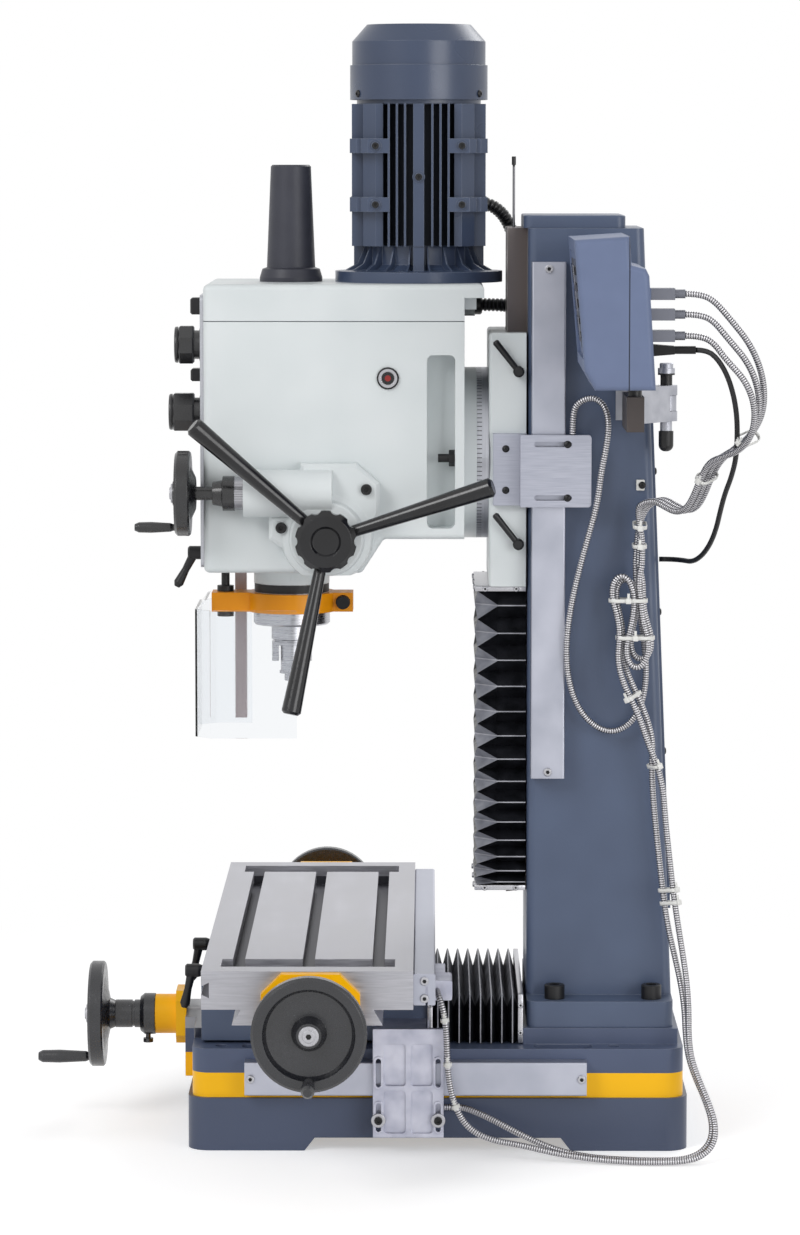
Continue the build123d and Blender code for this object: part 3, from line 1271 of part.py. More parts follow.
def fine_feed_wheel():
    """Fine feed handwheel with its worm shaft, graduated collar and locking ring."""
    turn = Pos(WORM_X, 0, WORM_Z) * Rot(0, 0, -90)
    shaft = turned_x([
        (-WORM_SHAFT_REAR, 0), (-WORM_SHAFT_REAR, WORM_SHAFT_R),
        (-FINE_WHEEL_Y, WORM_SHAFT_R), (-FINE_WHEEL_Y, 0),
    ])
    hub = 26
    start = -FINE_WHEEL_Y - hub
    wheel = Pos(start, 0, 0) * handwheel(FINE_WHEEL_R, WORM_SHAFT_R, hub)
    handle = Pos(start + hub - 3, 0, 10 - FINE_WHEEL_R) * grip(48, 6.5)
    dial_start = -WORM_BOSS_FRONT + SLIDE
    dial = turned_x([
        (dial_start, WORM_SHAFT_R), (dial_start, FINE_DIAL_R),
        (dial_start + 10, FINE_DIAL_R), (dial_start + 10, FINE_DIAL_R + 1),
        (dial_start + 24, FINE_DIAL_R + 1), (dial_start + 25, FINE_DIAL_R - 4),
        (dial_start + 36, FINE_DIAL_R - 6),
        (dial_start + 36, WORM_SHAFT_R),
    ])
    return group(turn * shaft, turn * wheel, turn * handle, turn * dial)


def gear(teeth, width, turn, share=TOOTH_SHARE):
    """A straight-flanked spur gear standing on Z = 0, with a tooth at the angle turn."""
    pitch = GEAR_MODULE * teeth / 2
    tip = pitch + 0.9 * GEAR_MODULE
    root = pitch - 1.2 * GEAR_MODULE
    half = 180 / teeth * share
    points = []
    for tooth in range(teeth):
        middle = turn + tooth * 360 / teeth
        for radius, side in ((root, -1), (tip, -1), (tip, 1), (root, 1)):
            lean = degrees((pitch - radius) * tan(radians(20)) / radius)
            angle = radians(middle + side * (half + lean))
            points.append((radius * cos(angle), radius * sin(angle)))
    return prism_z(points, (0, width))


def lever_solid(angle):
    """One feed lever, tapering out from the hub and leaning away from the head."""
    start = HUB_BOSS_R * 0.5
    profile = turned_x([
        (start, 0), (start, LEVER_ROOT_R), (LEVER_REACH - 3, LEVER_TIP_R),
        (LEVER_REACH, LEVER_TIP_R - 3), (LEVER_REACH, 0),
    ])
    place = Pos(FEED_BOSS_X + AIR + HUB_BOSS / 2, PINION_Y, PINION_Z)
    return place * Rot(angle, 0, 0) * Rot(0, 0, 90 - LEVER_TILT) * profile


def capstan_levers():
    return group(*[lever_solid(LEVER_ANGLE + 120 * n) for n in range(3)])


def capstan_hub():
    """Lobed hub with its shaft and the pinion that drives the quill's rack."""
    boss_x = FEED_BOSS_X + AIR
    knob_x = boss_x + HUB_BOSS
    end_x = knob_x + HUB_KNOB
    body = turned_x([
        (-RACK_WIDTH, 0), (-RACK_WIDTH, FEED_SHAFT_R - 2), (RACK_WIDTH, FEED_SHAFT_R - 2),
        (RACK_WIDTH, FEED_SHAFT_R), (boss_x, FEED_SHAFT_R),
        (boss_x, HUB_BOSS_R), (knob_x, HUB_BOSS_R), (knob_x, HUB_R - 3), (knob_x + 4, HUB_R),
        (end_x - 5, HUB_R), (end_x, HUB_R - 6), (end_x, HUB_R * 0.5),
        (end_x - 3, HUB_R * 0.42), (end_x - 3, 0),
    ])
    scallops = []
    for lobe in range(HUB_LOBES):
        angle = radians(lobe * 360 / HUB_LOBES)
        scallops.append(rod_x(8, (knob_x, end_x), (HUB_R + 5) * cos(angle), (HUB_R + 5) * sin(angle)))
    body -= scallops
    pinion = Rot(0, 90, 0) * gear(PINION_TEETH, RACK_WIDTH, 0, RACK_SHARE)
    pinion = Rot(-90, 0, 0) * Pos(-RACK_WIDTH / 2, 0, 0) * pinion
    body += pinion
    body = Pos(0, PINION_Y, PINION_Z) * body
    return body - [lever_solid(LEVER_ANGLE + 120 * n) for n in range(3)]


def speed_knob(z, length):
    """Gear selector knob: an eight-sided grip with a round cap, on a stepped collar and a shaft."""
    foot = PANEL_Y - SLIDE
    collar_end = foot - KNOB_COLLAR
    knob = rod_y(KNOB_SHAFT_R, KNOB_X, (collar_end, HEAD_FRONT + HEAD_WALL - 2), z)
    knob += rod_y(KNOB_COLLAR_R, KNOB_X, (collar_end, foot), z)
    knob += rod_y(KNOB_COLLAR_R + 3, KNOB_X, (foot - KNOB_COLLAR / 3, foot), z)
    front = foot - length
    cap_end = front + KNOB_CAP
    grip_y = (cap_end, collar_end)
    section = Plane.XZ.offset(-grip_y[1]) * Pos(KNOB_X, z) * RegularPolygon(KNOB_R, 8, rotation=22.5)
    grip = extrude(section, grip_y[1] - grip_y[0])
    grip = chamfer(grip.edges().filter_by(Axis.Y, reverse=True), 1.6)
    cap = rod_y(KNOB_CAP_R, KNOB_X, (front, cap_end - KNOB_GROOVE), z)
    cap = fillet(cap.edges().sort_by(Axis.Y)[0], 2)
    cap += rod_y(KNOB_CAP_R - 3, KNOB_X, (cap_end - KNOB_GROOVE, cap_end), z)
    return knob + grip + cap


def quill_lock_lever():
    return Pos(QUILL_LOCK_X, HEAD_FRONT, QUILL_LOCK_Z) * clamp_lever(28)


# Spindle group
def quill():
    body = turned_z([
        (QUILL_BORE_R, QUILL_NOSE_Z), (QUILL_NOSE_R - 2, QUILL_NOSE_Z), (QUILL_NOSE_R, QUILL_NOSE_Z + 2),
        (QUILL_NOSE_R, CLAMP_Z), (CLAMP_SEAT_R, CLAMP_Z), (CLAMP_SEAT_R, CLAMP_Z + CLAMP_HEIGHT),
        (QUILL_FLANGE_R, CLAMP_Z + CLAMP_HEIGHT), (QUILL_FLANGE_R, HEAD_BOTTOM - COLLAR_HEIGHT - SLIDE),
        (QUILL_R, HEAD_BOTTOM - COLLAR_HEIGHT - SLIDE), (QUILL_R, QUILL_TOP), (QUILL_BORE_R, QUILL_TOP),
    ])
    pitch = pi * GEAR_MODULE
    root = RACK_PITCH - 1.2 * GEAR_MODULE
    tip = RACK_PITCH + 0.9 * GEAR_MODULE
    low = PINION_Z - 3 * pitch
    count = int((QUILL_TOP - low) / pitch)
    slot_z = (low, low + count * pitch)
    body -= block(both(RACK_WIDTH / 2 + AIR), (root, QUILL_R), slot_z)
    teeth = []
    half = pitch / 2 * RACK_SHARE
    for n in range(count):
        middle = low + (n + 0.5) * pitch
        slope = GEAR_MODULE * tan(radians(20))
        teeth.append(prism_x([
            (root, middle - half - slope), (tip, middle - half + slope),
            (tip, middle + half - slope), (root, middle + half + slope),
        ], both(RACK_WIDTH / 2)))
    return Pos(0, SPINDLE_Y, 0) * (body + teeth)


def quill_clamp():
    z = (CLAMP_Z, CLAMP_Z + CLAMP_HEIGHT)
    body = rod_z(CLAMP_RING_R, 0, SPINDLE_Y, z)
    front = block(both(CLAMP_ARM_WIDTH / 2), (CLAMP_FRONT_Y, SPINDLE_Y), z)
    rear = block(both(CLAMP_ARM_WIDTH / 2), (SPINDLE_Y, CLAMP_REAR_Y), z)
    body += [front, rear]
    body -= rod_z(CLAMP_SEAT_R, 0, SPINDLE_Y, z)
    body -= block(both(CLAMP_SPLIT / 2), (SPINDLE_Y, CLAMP_REAR_Y), z)
    middle = CLAMP_Z + CLAMP_HEIGHT / 2
    body -= rod_x(CLAMP_SCREW_R, both(CLAMP_ARM_WIDTH / 2), CLAMP_SCREW_Y, middle)
    body -= rod_z(STOP_ROD_R, 0, STOP_ROD_Y, z)
    screw = rod_x(CLAMP_SCREW_R, both(CLAMP_ARM_WIDTH / 2), CLAMP_SCREW_Y, middle)
    head_x = (CLAMP_ARM_WIDTH / 2, CLAMP_ARM_WIDTH / 2 + 8)
    screw += rod_x(CLAMP_SCREW_R * 1.6, head_x, CLAMP_SCREW_Y, middle)
    return group(body, screw)


def depth_stop():
    low = CLAMP_Z - STOP_NUT_HEIGHT
    high = CLAMP_Z + CLAMP_HEIGHT
    rod = rod_z(STOP_ROD_R, 0, STOP_ROD_Y, (low, STOP_ROD_TOP))
    rod += rod_z(STOP_NUT_R, 0, STOP_ROD_Y, (low, CLAMP_Z))
    return rod + rod_z(STOP_NUT_R, 0, STOP_ROD_Y, (high, high + STOP_NUT_HEIGHT))


def spindle():
    nose = QUILL_NOSE_Z - SPINDLE_NOSE
    body = turned_z([
        (0, nose), (SPINDLE_NOSE_R - 1, nose), (SPINDLE_NOSE_R, nose + 1),
        (SPINDLE_NOSE_R, QUILL_NOSE_Z - SLIDE),
        (QUILL_BORE_R - RUN, QUILL_NOSE_Z - SLIDE), (QUILL_BORE_R - RUN, QUILL_NOSE_Z + 40),
        (SPINDLE_R, QUILL_NOSE_Z + 44), (SPINDLE_R, QUILL_TOP - 40), (QUILL_BORE_R - RUN, QUILL_TOP - 36),
        (QUILL_BORE_R - RUN, QUILL_TOP), (SPLINE_R, QUILL_TOP), (SPLINE_R, SPLINE_TOP),
        (DRAWBAR_R, SPLINE_TOP), (DRAWBAR_R, DRAWBAR_TOP), (0, DRAWBAR_TOP),
    ])
    return Pos(0, SPINDLE_Y, 0) * body


def shell_mill_arbor():
    """Arbor for a shell mill: flange, two drive keys, pilot and retaining screw."""
    top = QUILL_NOSE_Z - SPINDLE_NOSE
    flange = top - ARBOR_FLANGE
    end = top - ARBOR_PILOT
    body = turned_z([
        (0, end - ARBOR_SCREW), (ARBOR_SCREW_R, end - ARBOR_SCREW), (ARBOR_SCREW_R, end - 3),
        (ARBOR_PILOT_R + 1.5, end - 3), (ARBOR_PILOT_R + 1.5, end), (ARBOR_PILOT_R, end),
        (ARBOR_PILOT_R, flange), (SPINDLE_NOSE_R - 0.5, flange), (SPINDLE_NOSE_R - 0.5, top - 2),
        (SPINDLE_NOSE_R - 4, top - 2), (SPINDLE_NOSE_R - 4, top), (0, top),
    ])
    keys = rod_z(SPINDLE_NOSE_R - 0.5, 0, 0, (flange - ARBOR_KEY, flange))
    keys -= rod_z(ARBOR_PILOT_R + 3, 0, 0, (flange - ARBOR_KEY, flange))
    keys &= block(both(ARBOR_KEY_WIDTH / 2), both(SPINDLE_NOSE_R), (flange - ARBOR_KEY, flange))
    return Pos(0, SPINDLE_Y, 0) * (body + keys)


def guard_bar():
    half = GUARD_BAR_SIZE / 2
    top = HEAD_BOTTOM - SLIDE
    bar_x = (GUARD_BAR_X - half, GUARD_BAR_X + half)
    bar_y = (GUARD_BAR_Y - half, GUARD_BAR_Y + half)
    bar = block(bar_x, bar_y, (GUARD_BAR_BOTTOM, top))
    return bar + rod_z(GUARD_PIVOT_R, GUARD_BAR_X, GUARD_BAR_Y, (top, HEAD_BOTTOM + GUARD_PIVOT))


def guard_shield():
    """Clear folded sheet: front, two cut corners, a long near side and a short far side."""
    far = GUARD_BAR_X - GUARD_BAR_SIZE / 2
    near = far + GUARD_WIDTH
    cut = GUARD_CORNER

    def fold(inset):
        return [
            (far - GUARD_SHEET + inset, GUARD_FAR_REAR), (far - GUARD_SHEET + inset, GUARD_FRONT + cut),
            (far - GUARD_SHEET + cut, GUARD_FRONT + inset), (near + GUARD_SHEET - cut, GUARD_FRONT + inset),
            (near + GUARD_SHEET - inset, GUARD_FRONT + cut), (near + GUARD_SHEET - inset, GUARD_NEAR_REAR),
        ]

    z = (GUARD_BOTTOM, GUARD_BOTTOM + GUARD_HEIGHT)
    shell = prism_z(fold(0) + fold(GUARD_SHEET)[::-1], z)
    lip_z = z[1] - GUARD_SHEET
    lip = prism_x([
        (GUARD_FRONT, lip_z), (GUARD_FRONT + GUARD_SHEET, lip_z),
        (GUARD_FRONT + GUARD_LIP, z[1] + GUARD_LIP - GUARD_SHEET),
        (GUARD_FRONT + GUARD_LIP - GUARD_SHEET, z[1] + GUARD_LIP - GUARD_SHEET),
    ], (far - GUARD_SHEET + cut, near + GUARD_SHEET - cut))
    return shell + lip


# Drive
def motor_section():
    """Plan of the finned body: a round core, parallel fins beside a rib on each face, and solid corners."""
    low, high, cut = MOTOR_CORNER_START, MOTOR_CORNER, MOTOR_CORNER_CUT
    corner = face_of([(low, low), (high, low), (high, high - cut), (high - cut, high), (low, high)])
    start = MOTOR_BODY_R - MOTOR_FIN_PITCH
    length = MOTOR_FIN_REACH - start
    strips = [Pos(start + length / 2, 0) * Rectangle(length, MOTOR_RIB)]
    for number in range(MOTOR_FINS):
        for side in (-1, 1):
            y = side * (MOTOR_RIB / 2 + (number + 1) * MOTOR_FIN_PITCH)
            reach = MOTOR_FIN_REACH - sqrt(start ** 2 - y ** 2)
            strips.append(Pos(MOTOR_FIN_REACH - reach / 2, y) * Rectangle(reach, MOTOR_FIN))
    plan = Sketch() + Circle(MOTOR_BODY_R)
    for quarter in range(4):
        plan += [Rot(0, 0, 90 * quarter) * piece for piece in strips + [corner]]
    return plan - Circle(MOTOR_BORE_R)


def motor_pads():
    """Feet lands at the corners of three faces, two high on each side."""
    middle = (MOTOR_BODY_Z + MOTOR_BODY_TOP) / 2
    reach = MOTOR_FIN_REACH + 2
    pads = []
    for quarter in (-90, 0, 90):
        for side in (-1, 1):
            outline = [
                (MOTOR_CORNER_START, side * PAD_START), (reach, side * PAD_START),
                (reach, side * (PAD_END - PAD_CUT)), (reach - PAD_CUT, side * PAD_END),
                (MOTOR_CORNER_START, side * PAD_END),
            ]
            for z in (middle - PAD_PITCH / 2, middle + PAD_PITCH / 2):
                pads.append(Rot(0, 0, quarter) * prism_z(outline, (z - PAD_RISE / 2, z + PAD_RISE / 2)))
    return pads


def motor_housing():
    shield_top = MOTOR_BODY_TOP + END_SHIELD_RISE
    shaft = MOTOR_SHAFT_R + RUN
    body = turned_z([
        (shaft, LID_Z), (MOTOR_FLANGE_R, LID_Z), (MOTOR_FLANGE_R, MOTOR_Z),
        (MOTOR_NECK_R + 8, MOTOR_Z + 2), (MOTOR_NECK_R, MOTOR_Z + 8), (MOTOR_NECK_R, MOTOR_BODY_Z),
        (MOTOR_BODY_R, MOTOR_BODY_Z), (MOTOR_BODY_R, MOTOR_BODY_TOP), (END_SHIELD_R, MOTOR_BODY_TOP),
        (END_SHIELD_R, shield_top), (shaft, shield_top), (shaft, MOTOR_BODY_TOP - 12),
        (MOTOR_BORE_R, MOTOR_BODY_TOP - 12), (MOTOR_BORE_R, MOTOR_BODY_Z + 4), (shaft, MOTOR_BODY_Z + 4),
    ])
    body += extrude(Plane.XY.offset(MOTOR_BODY_Z) * motor_section(), MOTOR_BODY)
    rib = [
        (MOTOR_NECK_R - 2, MOTOR_Z), (MOTOR_FLANGE_R - 10, MOTOR_Z), (MOTOR_NECK_R + 12, MOTOR_Z + 9),
        (MOTOR_NECK_R + 3, MOTOR_BODY_Z), (MOTOR_NECK_R - 2, MOTOR_BODY_Z),
    ]
    ribs = []
    for number in range(MOTOR_NECK_RIBS):
        plate = extrude(Plane.XZ.offset(-MOTOR_NECK_RIB / 2) * face_of(rib), MOTOR_NECK_RIB)
        ribs.append(Rot(0, 0, (number + 0.5) * 360 / MOTOR_NECK_RIBS) * plate)
    for quarter in range(4):
        foot = block((MOTOR_NECK_R - 2, MOTOR_FIN_REACH - 2), both(MOTOR_RIB / 2), (MOTOR_Z, MOTOR_BODY_Z))
        ribs.append(Rot(0, 0, 90 * quarter) * foot)
    body += ribs + motor_pads()
    middle = (MOTOR_BODY_Z + MOTOR_BODY_TOP) / 2
    body -= rod_z(MOTOR_BORE_R, 0, 0, (MOTOR_BODY_Z + 4, MOTOR_BODY_TOP - 12))
    half = TERMINAL_BOX / 2
    box_x = (-MOTOR_FIN_REACH - TERMINAL_BOX_DEPTH, -MOTOR_FIN_REACH)
    box = block(box_x, both(half), (middle - half, middle + half))
    box = fillet(box.edges().filter_by(Axis.X), 8)
    place = Pos(0, MOTOR_Y, 0)
    return group(place * body, place * box, box_gland())


def motor_fan_cover():
    top = FAN_COVER_TOP
    step = FAN_COVER_Z + FAN_COVER_SKIRT
    shoulder = top - 20
    wall = FAN_COVER_WALL
    body = turned_z([
        (FAN_COVER_R - wall, FAN_COVER_Z), (FAN_COVER_R, FAN_COVER_Z), (FAN_COVER_R, step),
        (FAN_COVER_R - wall, step), (FAN_COVER_R - wall, shoulder), (FAN_COVER_TOP_R, top),
        (0, top), (0, top - wall), (FAN_COVER_TOP_R - wall, top - wall),
        (FAN_COVER_R - 2 * wall, shoulder - wall), (FAN_COVER_R - 2 * wall, step - wall),
        (FAN_COVER_R - wall, step - wall),
    ])
    slots = []
    for radius, count in ((24, 8), (38, 12), (52, 16)):
        for number in range(count):
            slot = SlotOverall(0.72 * 2 * pi * radius / count, 5, rotation=90)
            cut = extrude(Plane.XY.offset(top - 2 * wall) * Pos(radius, 0) * slot, 3 * wall)
            slots.append(Rot(0, 0, number * 360 / count) * cut)
    body -= slots
    # Feet that seat the cover on the motor's end shield
    seat = MOTOR_BODY_TOP + END_SHIELD_RISE
    for number in range(4):
        foot = block((END_SHIELD_R - 8, FAN_COVER_R - wall), both(5), (seat, seat + 6))
        body += Rot(0, 0, 45 + 90 * number) * foot
    return Pos(0, MOTOR_Y, 0) * body


def motor_rotor():
    """Rotor, fan and driving pinion on one shaft."""
    core_z = (MOTOR_BODY_Z + 18, MOTOR_BODY_Z + 18 + ROTOR_LENGTH)
    fan_z = (FAN_COVER_Z + 14, FAN_COVER_Z + 14 + FAN_HEIGHT)
    shaft = rod_z(MOTOR_SHAFT_R, 0, 0, (FIRST_STAGE_Z, fan_z[1] + 6))
    core = rod_z(ROTOR_R, 0, 0, core_z)
    fan = rod_z(MOTOR_SHAFT_R + 10, 0, 0, fan_z)
    blades = []
    for number in range(8):
        blade = block((MOTOR_SHAFT_R + 6, FAN_R), both(1.5), fan_z)
        blades.append(Rot(0, 0, 45 * number) * blade)
    pinion = Pos(0, 0, FIRST_STAGE_Z) * gear(MOTOR_PINION_TEETH, GEAR_WIDTH, -90)
    return Pos(0, MOTOR_Y, 0) * (shaft + [core, fan, pinion] + blades)


def countershaft():
    gap_turn = 90 + 180 / COUNTER_GEAR_TEETH
    big = Pos(0, 0, FIRST_STAGE_Z) * gear(COUNTER_GEAR_TEETH, GEAR_WIDTH, gap_turn)
    small = Pos(0, 0, SECOND_STAGE_Z) * gear(COUNTER_PINION_TEETH, GEAR_WIDTH, -90)
    shaft = rod_z(COUNTERSHAFT_R, 0, 0, (GEARBOX_FLOOR - 15, LID_Z - LID_TOP_WALL - SLIDE))
    return Pos(0, COUNTER_Y, 0) * (shaft + [big, small])


def spindle_gear():
    """Driven gear whose sleeve turns on the gearbox floor and passes the spindle's spline."""
    gap_turn = 90 + 180 / SPINDLE_GEAR_TEETH
    body = Pos(0, 0, SECOND_STAGE_Z) * gear(SPINDLE_GEAR_TEETH, GEAR_WIDTH, gap_turn)
    sleeve_z = (GEARBOX_FLOOR + SLIDE, LID_Z - LID_TOP_WALL - SLIDE)
    body += rod_z(SPLINE_R + SPLINE_SLEEVE, 0, 0, sleeve_z)
    body += rod_z(QUILL_R + 8, 0, 0, (sleeve_z[0], SECOND_STAGE_Z))
    body -= rod_z(SPLINE_R + RUN, 0, 0, sleeve_z)
    return Pos(0, SPINDLE_Y, 0) * body


def drawbar_cover():
    """Tapered bonnet over the top of the spindle."""
    top = LID_Z + BONNET_HEIGHT
    body = turned_z([
        (BONNET_BASE_R - BONNET_WALL, LID_Z), (BONNET_FLANGE_R, LID_Z), (BONNET_FLANGE_R, LID_Z + 5),
        (BONNET_FLANGE_R - 3, LID_Z + 15), (BONNET_BASE_R, LID_Z + 17),
        (BONNET_TOP_R, top - 2), (BONNET_TOP_R - 2, top),
        (0, top), (0, top - BONNET_WALL), (BONNET_TOP_R - BONNET_WALL, top - BONNET_WALL),
    ])
    return Pos(0, SPINDLE_Y, 0) * body


def z_leadscrew():
    shelf = Z_SCREW_BOTTOM + COLUMN_WALL
    body = turned_z([
        (0, Z_SCREW_BOTTOM), (SCREW_SHAFT_R, Z_SCREW_BOTTOM),
        (SCREW_SHAFT_R, shelf + SLIDE), (Z_SCREW_R, shelf + SLIDE),
        (Z_SCREW_R, Z_CRANK_Z - BEVEL_R - 12), (BEVEL_R, Z_CRANK_Z - BEVEL_R - 8),
        (BEVEL_R - 8, Z_CRANK_Z - BEVEL_R + 2), (0, Z_CRANK_Z - BEVEL_R + 2),
    ])
    return Pos(0, Z_SCREW_Y, 0) * body


def z_crank():
    """Crank on the far side of the column, with the bevel that turns the vertical screw."""
    outer = COLUMN_X + CRANK_STAND
    shaft = turned_x([
        (BEVEL_R - 2, 0), (BEVEL_R - 2, BEVEL_R - 8), (BEVEL_R + 8, BEVEL_R), (BEVEL_R + 12, SCREW_SHAFT_R),
        (outer, SCREW_SHAFT_R), (outer, 0),
    ])
    arm = block((outer - 12, outer), both(10), (-CRANK_LENGTH, 12))
    arm = fillet(arm.edges().filter_by(Axis.X), 8)
    handle = Pos(outer, 0, 12 - CRANK_LENGTH) * grip(70, 10)
    return Pos(0, Z_SCREW_Y, Z_CRANK_Z) * Rot(0, 0, 180) * (shaft + [arm, handle])


# Readout console
def dro_mount():
    """Bracket on the rear of the column, with the pivot pin of the console's arm and its two knobs."""
    z = (MOUNT_BOTTOM, MOUNT_BOTTOM + MOUNT_HEIGHT)
    plate_y = (column_rear(z[1]) - 40, column_rear(z[1]))
    plate = block((COLUMN_X, COLUMN_X + 6), plate_y, z)
    ear_z = (z[0] + 12, z[1] - 12)
    ear = block((COLUMN_X + 6, PIVOT_X), (plate_y[1] - 14, plate_y[1]), ear_z)
    ear += block((COLUMN_X + 6, PIVOT_X), (plate_y[1] - 14, PIVOT_Y), ear_z)
    ear += rod_z(12, PIVOT_X, PIVOT_Y, ear_z)
    pin_z = (z[0] - 12, z[1] + 12)
    pin = rod_z(PIVOT_R, PIVOT_X, PIVOT_Y, pin_z)
    nut = rod_z(PIVOT_KNOB_R, PIVOT_X, PIVOT_Y, (pin_z[1], pin_z[1] + 8))
    nut += rod_z(PIVOT_KNOB_R - 2, PIVOT_X, PIVOT_Y, (pin_z[1] + 8, pin_z[1] + 14))
    nut = chamfer(nut.edges().sort_by(Axis.Z)[-1], 1)
    grip = rod_z(PIVOT_GRIP_R, PIVOT_X, PIVOT_Y, (pin_z[0] - PIVOT_GRIP, pin_z[0]))
    grip = fillet(grip.edges().filter_by(GeomType.CIRCLE).sort_by(Axis.Z)[0], PIVOT_GRIP_R - 1)
    return group(plate + ear + pin, nut, grip)


def dro_arm():
    """Forked casting on the pivot, and the square tube that carries the console."""
    z = (MOUNT_BOTTOM, MOUNT_BOTTOM + MOUNT_HEIGHT)
    ear_z = (z[0] + 12 - SLIDE, z[1] - 12 + SLIDE)
    tube_z = (z[0] - 4, z[0] - 4 + ARM_TUBE_HEIGHT)
    tube_x = (PIVOT_X + 34, ARM_TUBE_END)
    tube_y = (ARM_TUBE_Y - ARM_TUBE_WIDTH / 2, ARM_TUBE_Y + ARM_TUBE_WIDTH / 2)
    inner = ARM_TUBE_WALL
    tube = block(tube_x, tube_y, tube_z)
    bore_x = (tube_x[0], tube_x[1] - inner)
    tube -= block(bore_x, (tube_y[0] + inner, tube_y[1] - inner), (tube_z[0] + inner, tube_z[1] - inner))
    plan = [
        (PIVOT_X - 4, PIVOT_Y + 10), (PIVOT_X + 10, PIVOT_Y + 8), (tube_x[0] + 30, tube_y[1]),
        (tube_x[0] + 4, tube_y[1]), (PIVOT_X + 4, PIVOT_Y - 12),
    ]
    casting = prism_z(plan, z) + rod_z(13, PIVOT_X, PIVOT_Y, z)
    casting -= rod_z(16, PIVOT_X, PIVOT_Y, ear_z)
    casting -= block((COLUMN_X, PIVOT_X + 2), (PIVOT_Y - 40, PIVOT_Y + 2), ear_z)
    casting -= rod_z(PIVOT_R + RUN, PIVOT_X, PIVOT_Y, z)
    neck_z = (tube_z[1], CONSOLE_BOTTOM)
    neck = rod_z(8, ARM_TUBE_END - 20, ARM_TUBE_Y, neck_z)
    return group(casting, tube, neck)


def console_outline():
    """Side of the console as (y, z): a front shell that leans forward and a smaller back cover."""
    front = CONSOLE_FRONT
    lean = CONSOLE_HEIGHT * tan(radians(CONSOLE_LEAN))
    return [
        (front + lean + 12, CONSOLE_BOTTOM),
        (front + CONSOLE_BACK, CONSOLE_BOTTOM),
        (front + CONSOLE_BACK - 8, CONSOLE_TOP - CONSOLE_BACK_DROP - 8),
        (front + CONSOLE_BACK - 12, CONSOLE_TOP - CONSOLE_BACK_DROP),
        (front + CONSOLE_SHELL + 2, CONSOLE_TOP - CONSOLE_BACK_DROP + 4),
        (front + CONSOLE_SHELL, CONSOLE_TOP),
        (front, CONSOLE_TOP - 4),
        (front + lean, CONSOLE_BOTTOM + 22),
    ]


def dro_console():
    x = (CONSOLE_INNER_X, CONSOLE_INNER_X + CONSOLE_WIDTH)
    body = prism_x(console_outline(), x)
    body = fillet([e for e in body.edges() if e.center().X in x], CONSOLE_EDGE)
    lean = CONSOLE_HEIGHT * tan(radians(CONSOLE_LEAN))
    low = CONSOLE_BOTTOM + 34
    high = CONSOLE_TOP - 18
    depth = 3
    window = [
        (CONSOLE_FRONT - 2, low), (CONSOLE_FRONT + lean + depth, low),
        (CONSOLE_FRONT + depth, high), (CONSOLE_FRONT - 2, high),
    ]
    body -= prism_x(window, (x[0] + 14, x[1] - 14))
    plugs = []
    for drop in SOCKET_DROPS:
        plugs.append(console_plug(CONSOLE_TOP - drop))
    return group(body, *plugs, power_plug())


def console_back(z):
    """Where the back cover's sloping face stands at a height."""
    top = CONSOLE_TOP - CONSOLE_BACK_DROP - 8
    return CONSOLE_FRONT + CONSOLE_BACK - 8 * (z - CONSOLE_BOTTOM) / (top - CONSOLE_BOTTOM)


def console_plug(z):
    """Metal-shelled plug of one scale lead, with its ferrule."""
    low, high = z - PLUG_HEIGHT / 2, z + PLUG_HEIGHT / 2
    end = CONSOLE_FRONT + CONSOLE_BACK + PLUG_LENGTH
    shell = [(console_back(low), low), (end, low), (end, high), (console_back(high), high)]
    body = prism_x(shell, (SOCKET_X - PLUG_WIDTH / 2, SOCKET_X + PLUG_WIDTH / 2))
    return body + rod_y(FERRULE_R, SOCKET_X, (end, end + FERRULE_LENGTH), z)


def power_plug():
    z = CONSOLE_TOP - POWER_DROP
    low, high = z - PLUG_HEIGHT / 2, z + PLUG_HEIGHT / 2
    end = CONSOLE_FRONT + CONSOLE_BACK + PLUG_LENGTH
    shell = [(console_back(low), low), (end, low + 2), (end, high - 2), (console_back(high), high)]
    body = prism_x(shell, (SOCKET_X - 12, SOCKET_X + 12))
    return body + rod_y(POWER_R + 1.5, SOCKET_X, (end, end + 2 * FERRULE_LENGTH), z)


# Leads and conduits: straight runs joined by arcs as large as the runs allow
def rounded_path(route, name):
    points = [Vector(*p) for p in route]
    runs = [b - a for a, b in zip(points, points[1:])]
    radii = []
    for before, after in zip(runs, runs[1:]):
        half_turn = radians(before.get_angle(after)) / 2
        radii.append(0.45 * min(before.length, after.length) / tan(half_turn))
    path = FilletPolyline(*points, radius=radii)
    print(name, "length", round(path.length), "tightest radius", round(min(radii), 1))
    return path


def swept(path, radius):
    return sweep(Plane(origin=path @ 0, z_dir=path % 0) * Circle(radius), path=path)


def least_gap(path, radius):
    """The smallest gap between two stretches of one lead, measured on points along its middle."""
    count = round(path.length / GAP_STEP)
    places = [path.length * step / count for step in range(count + 1)]
    points = [tuple(path.position_at(place, position_mode=PositionMode.LENGTH)) for place in places]
    apart = round(2 * pi * radius / GAP_STEP)
    spans = [dist(a, b) for step, a in enumerate(points) for b in points[step + apart:]]
    return min(spans) - 2 * radius


def tube(route, radius, name):
    path = rounded_path(route, name)
    print(name, "least gap to itself", round(least_gap(path, radius), 1))
    return swept(path, radius)


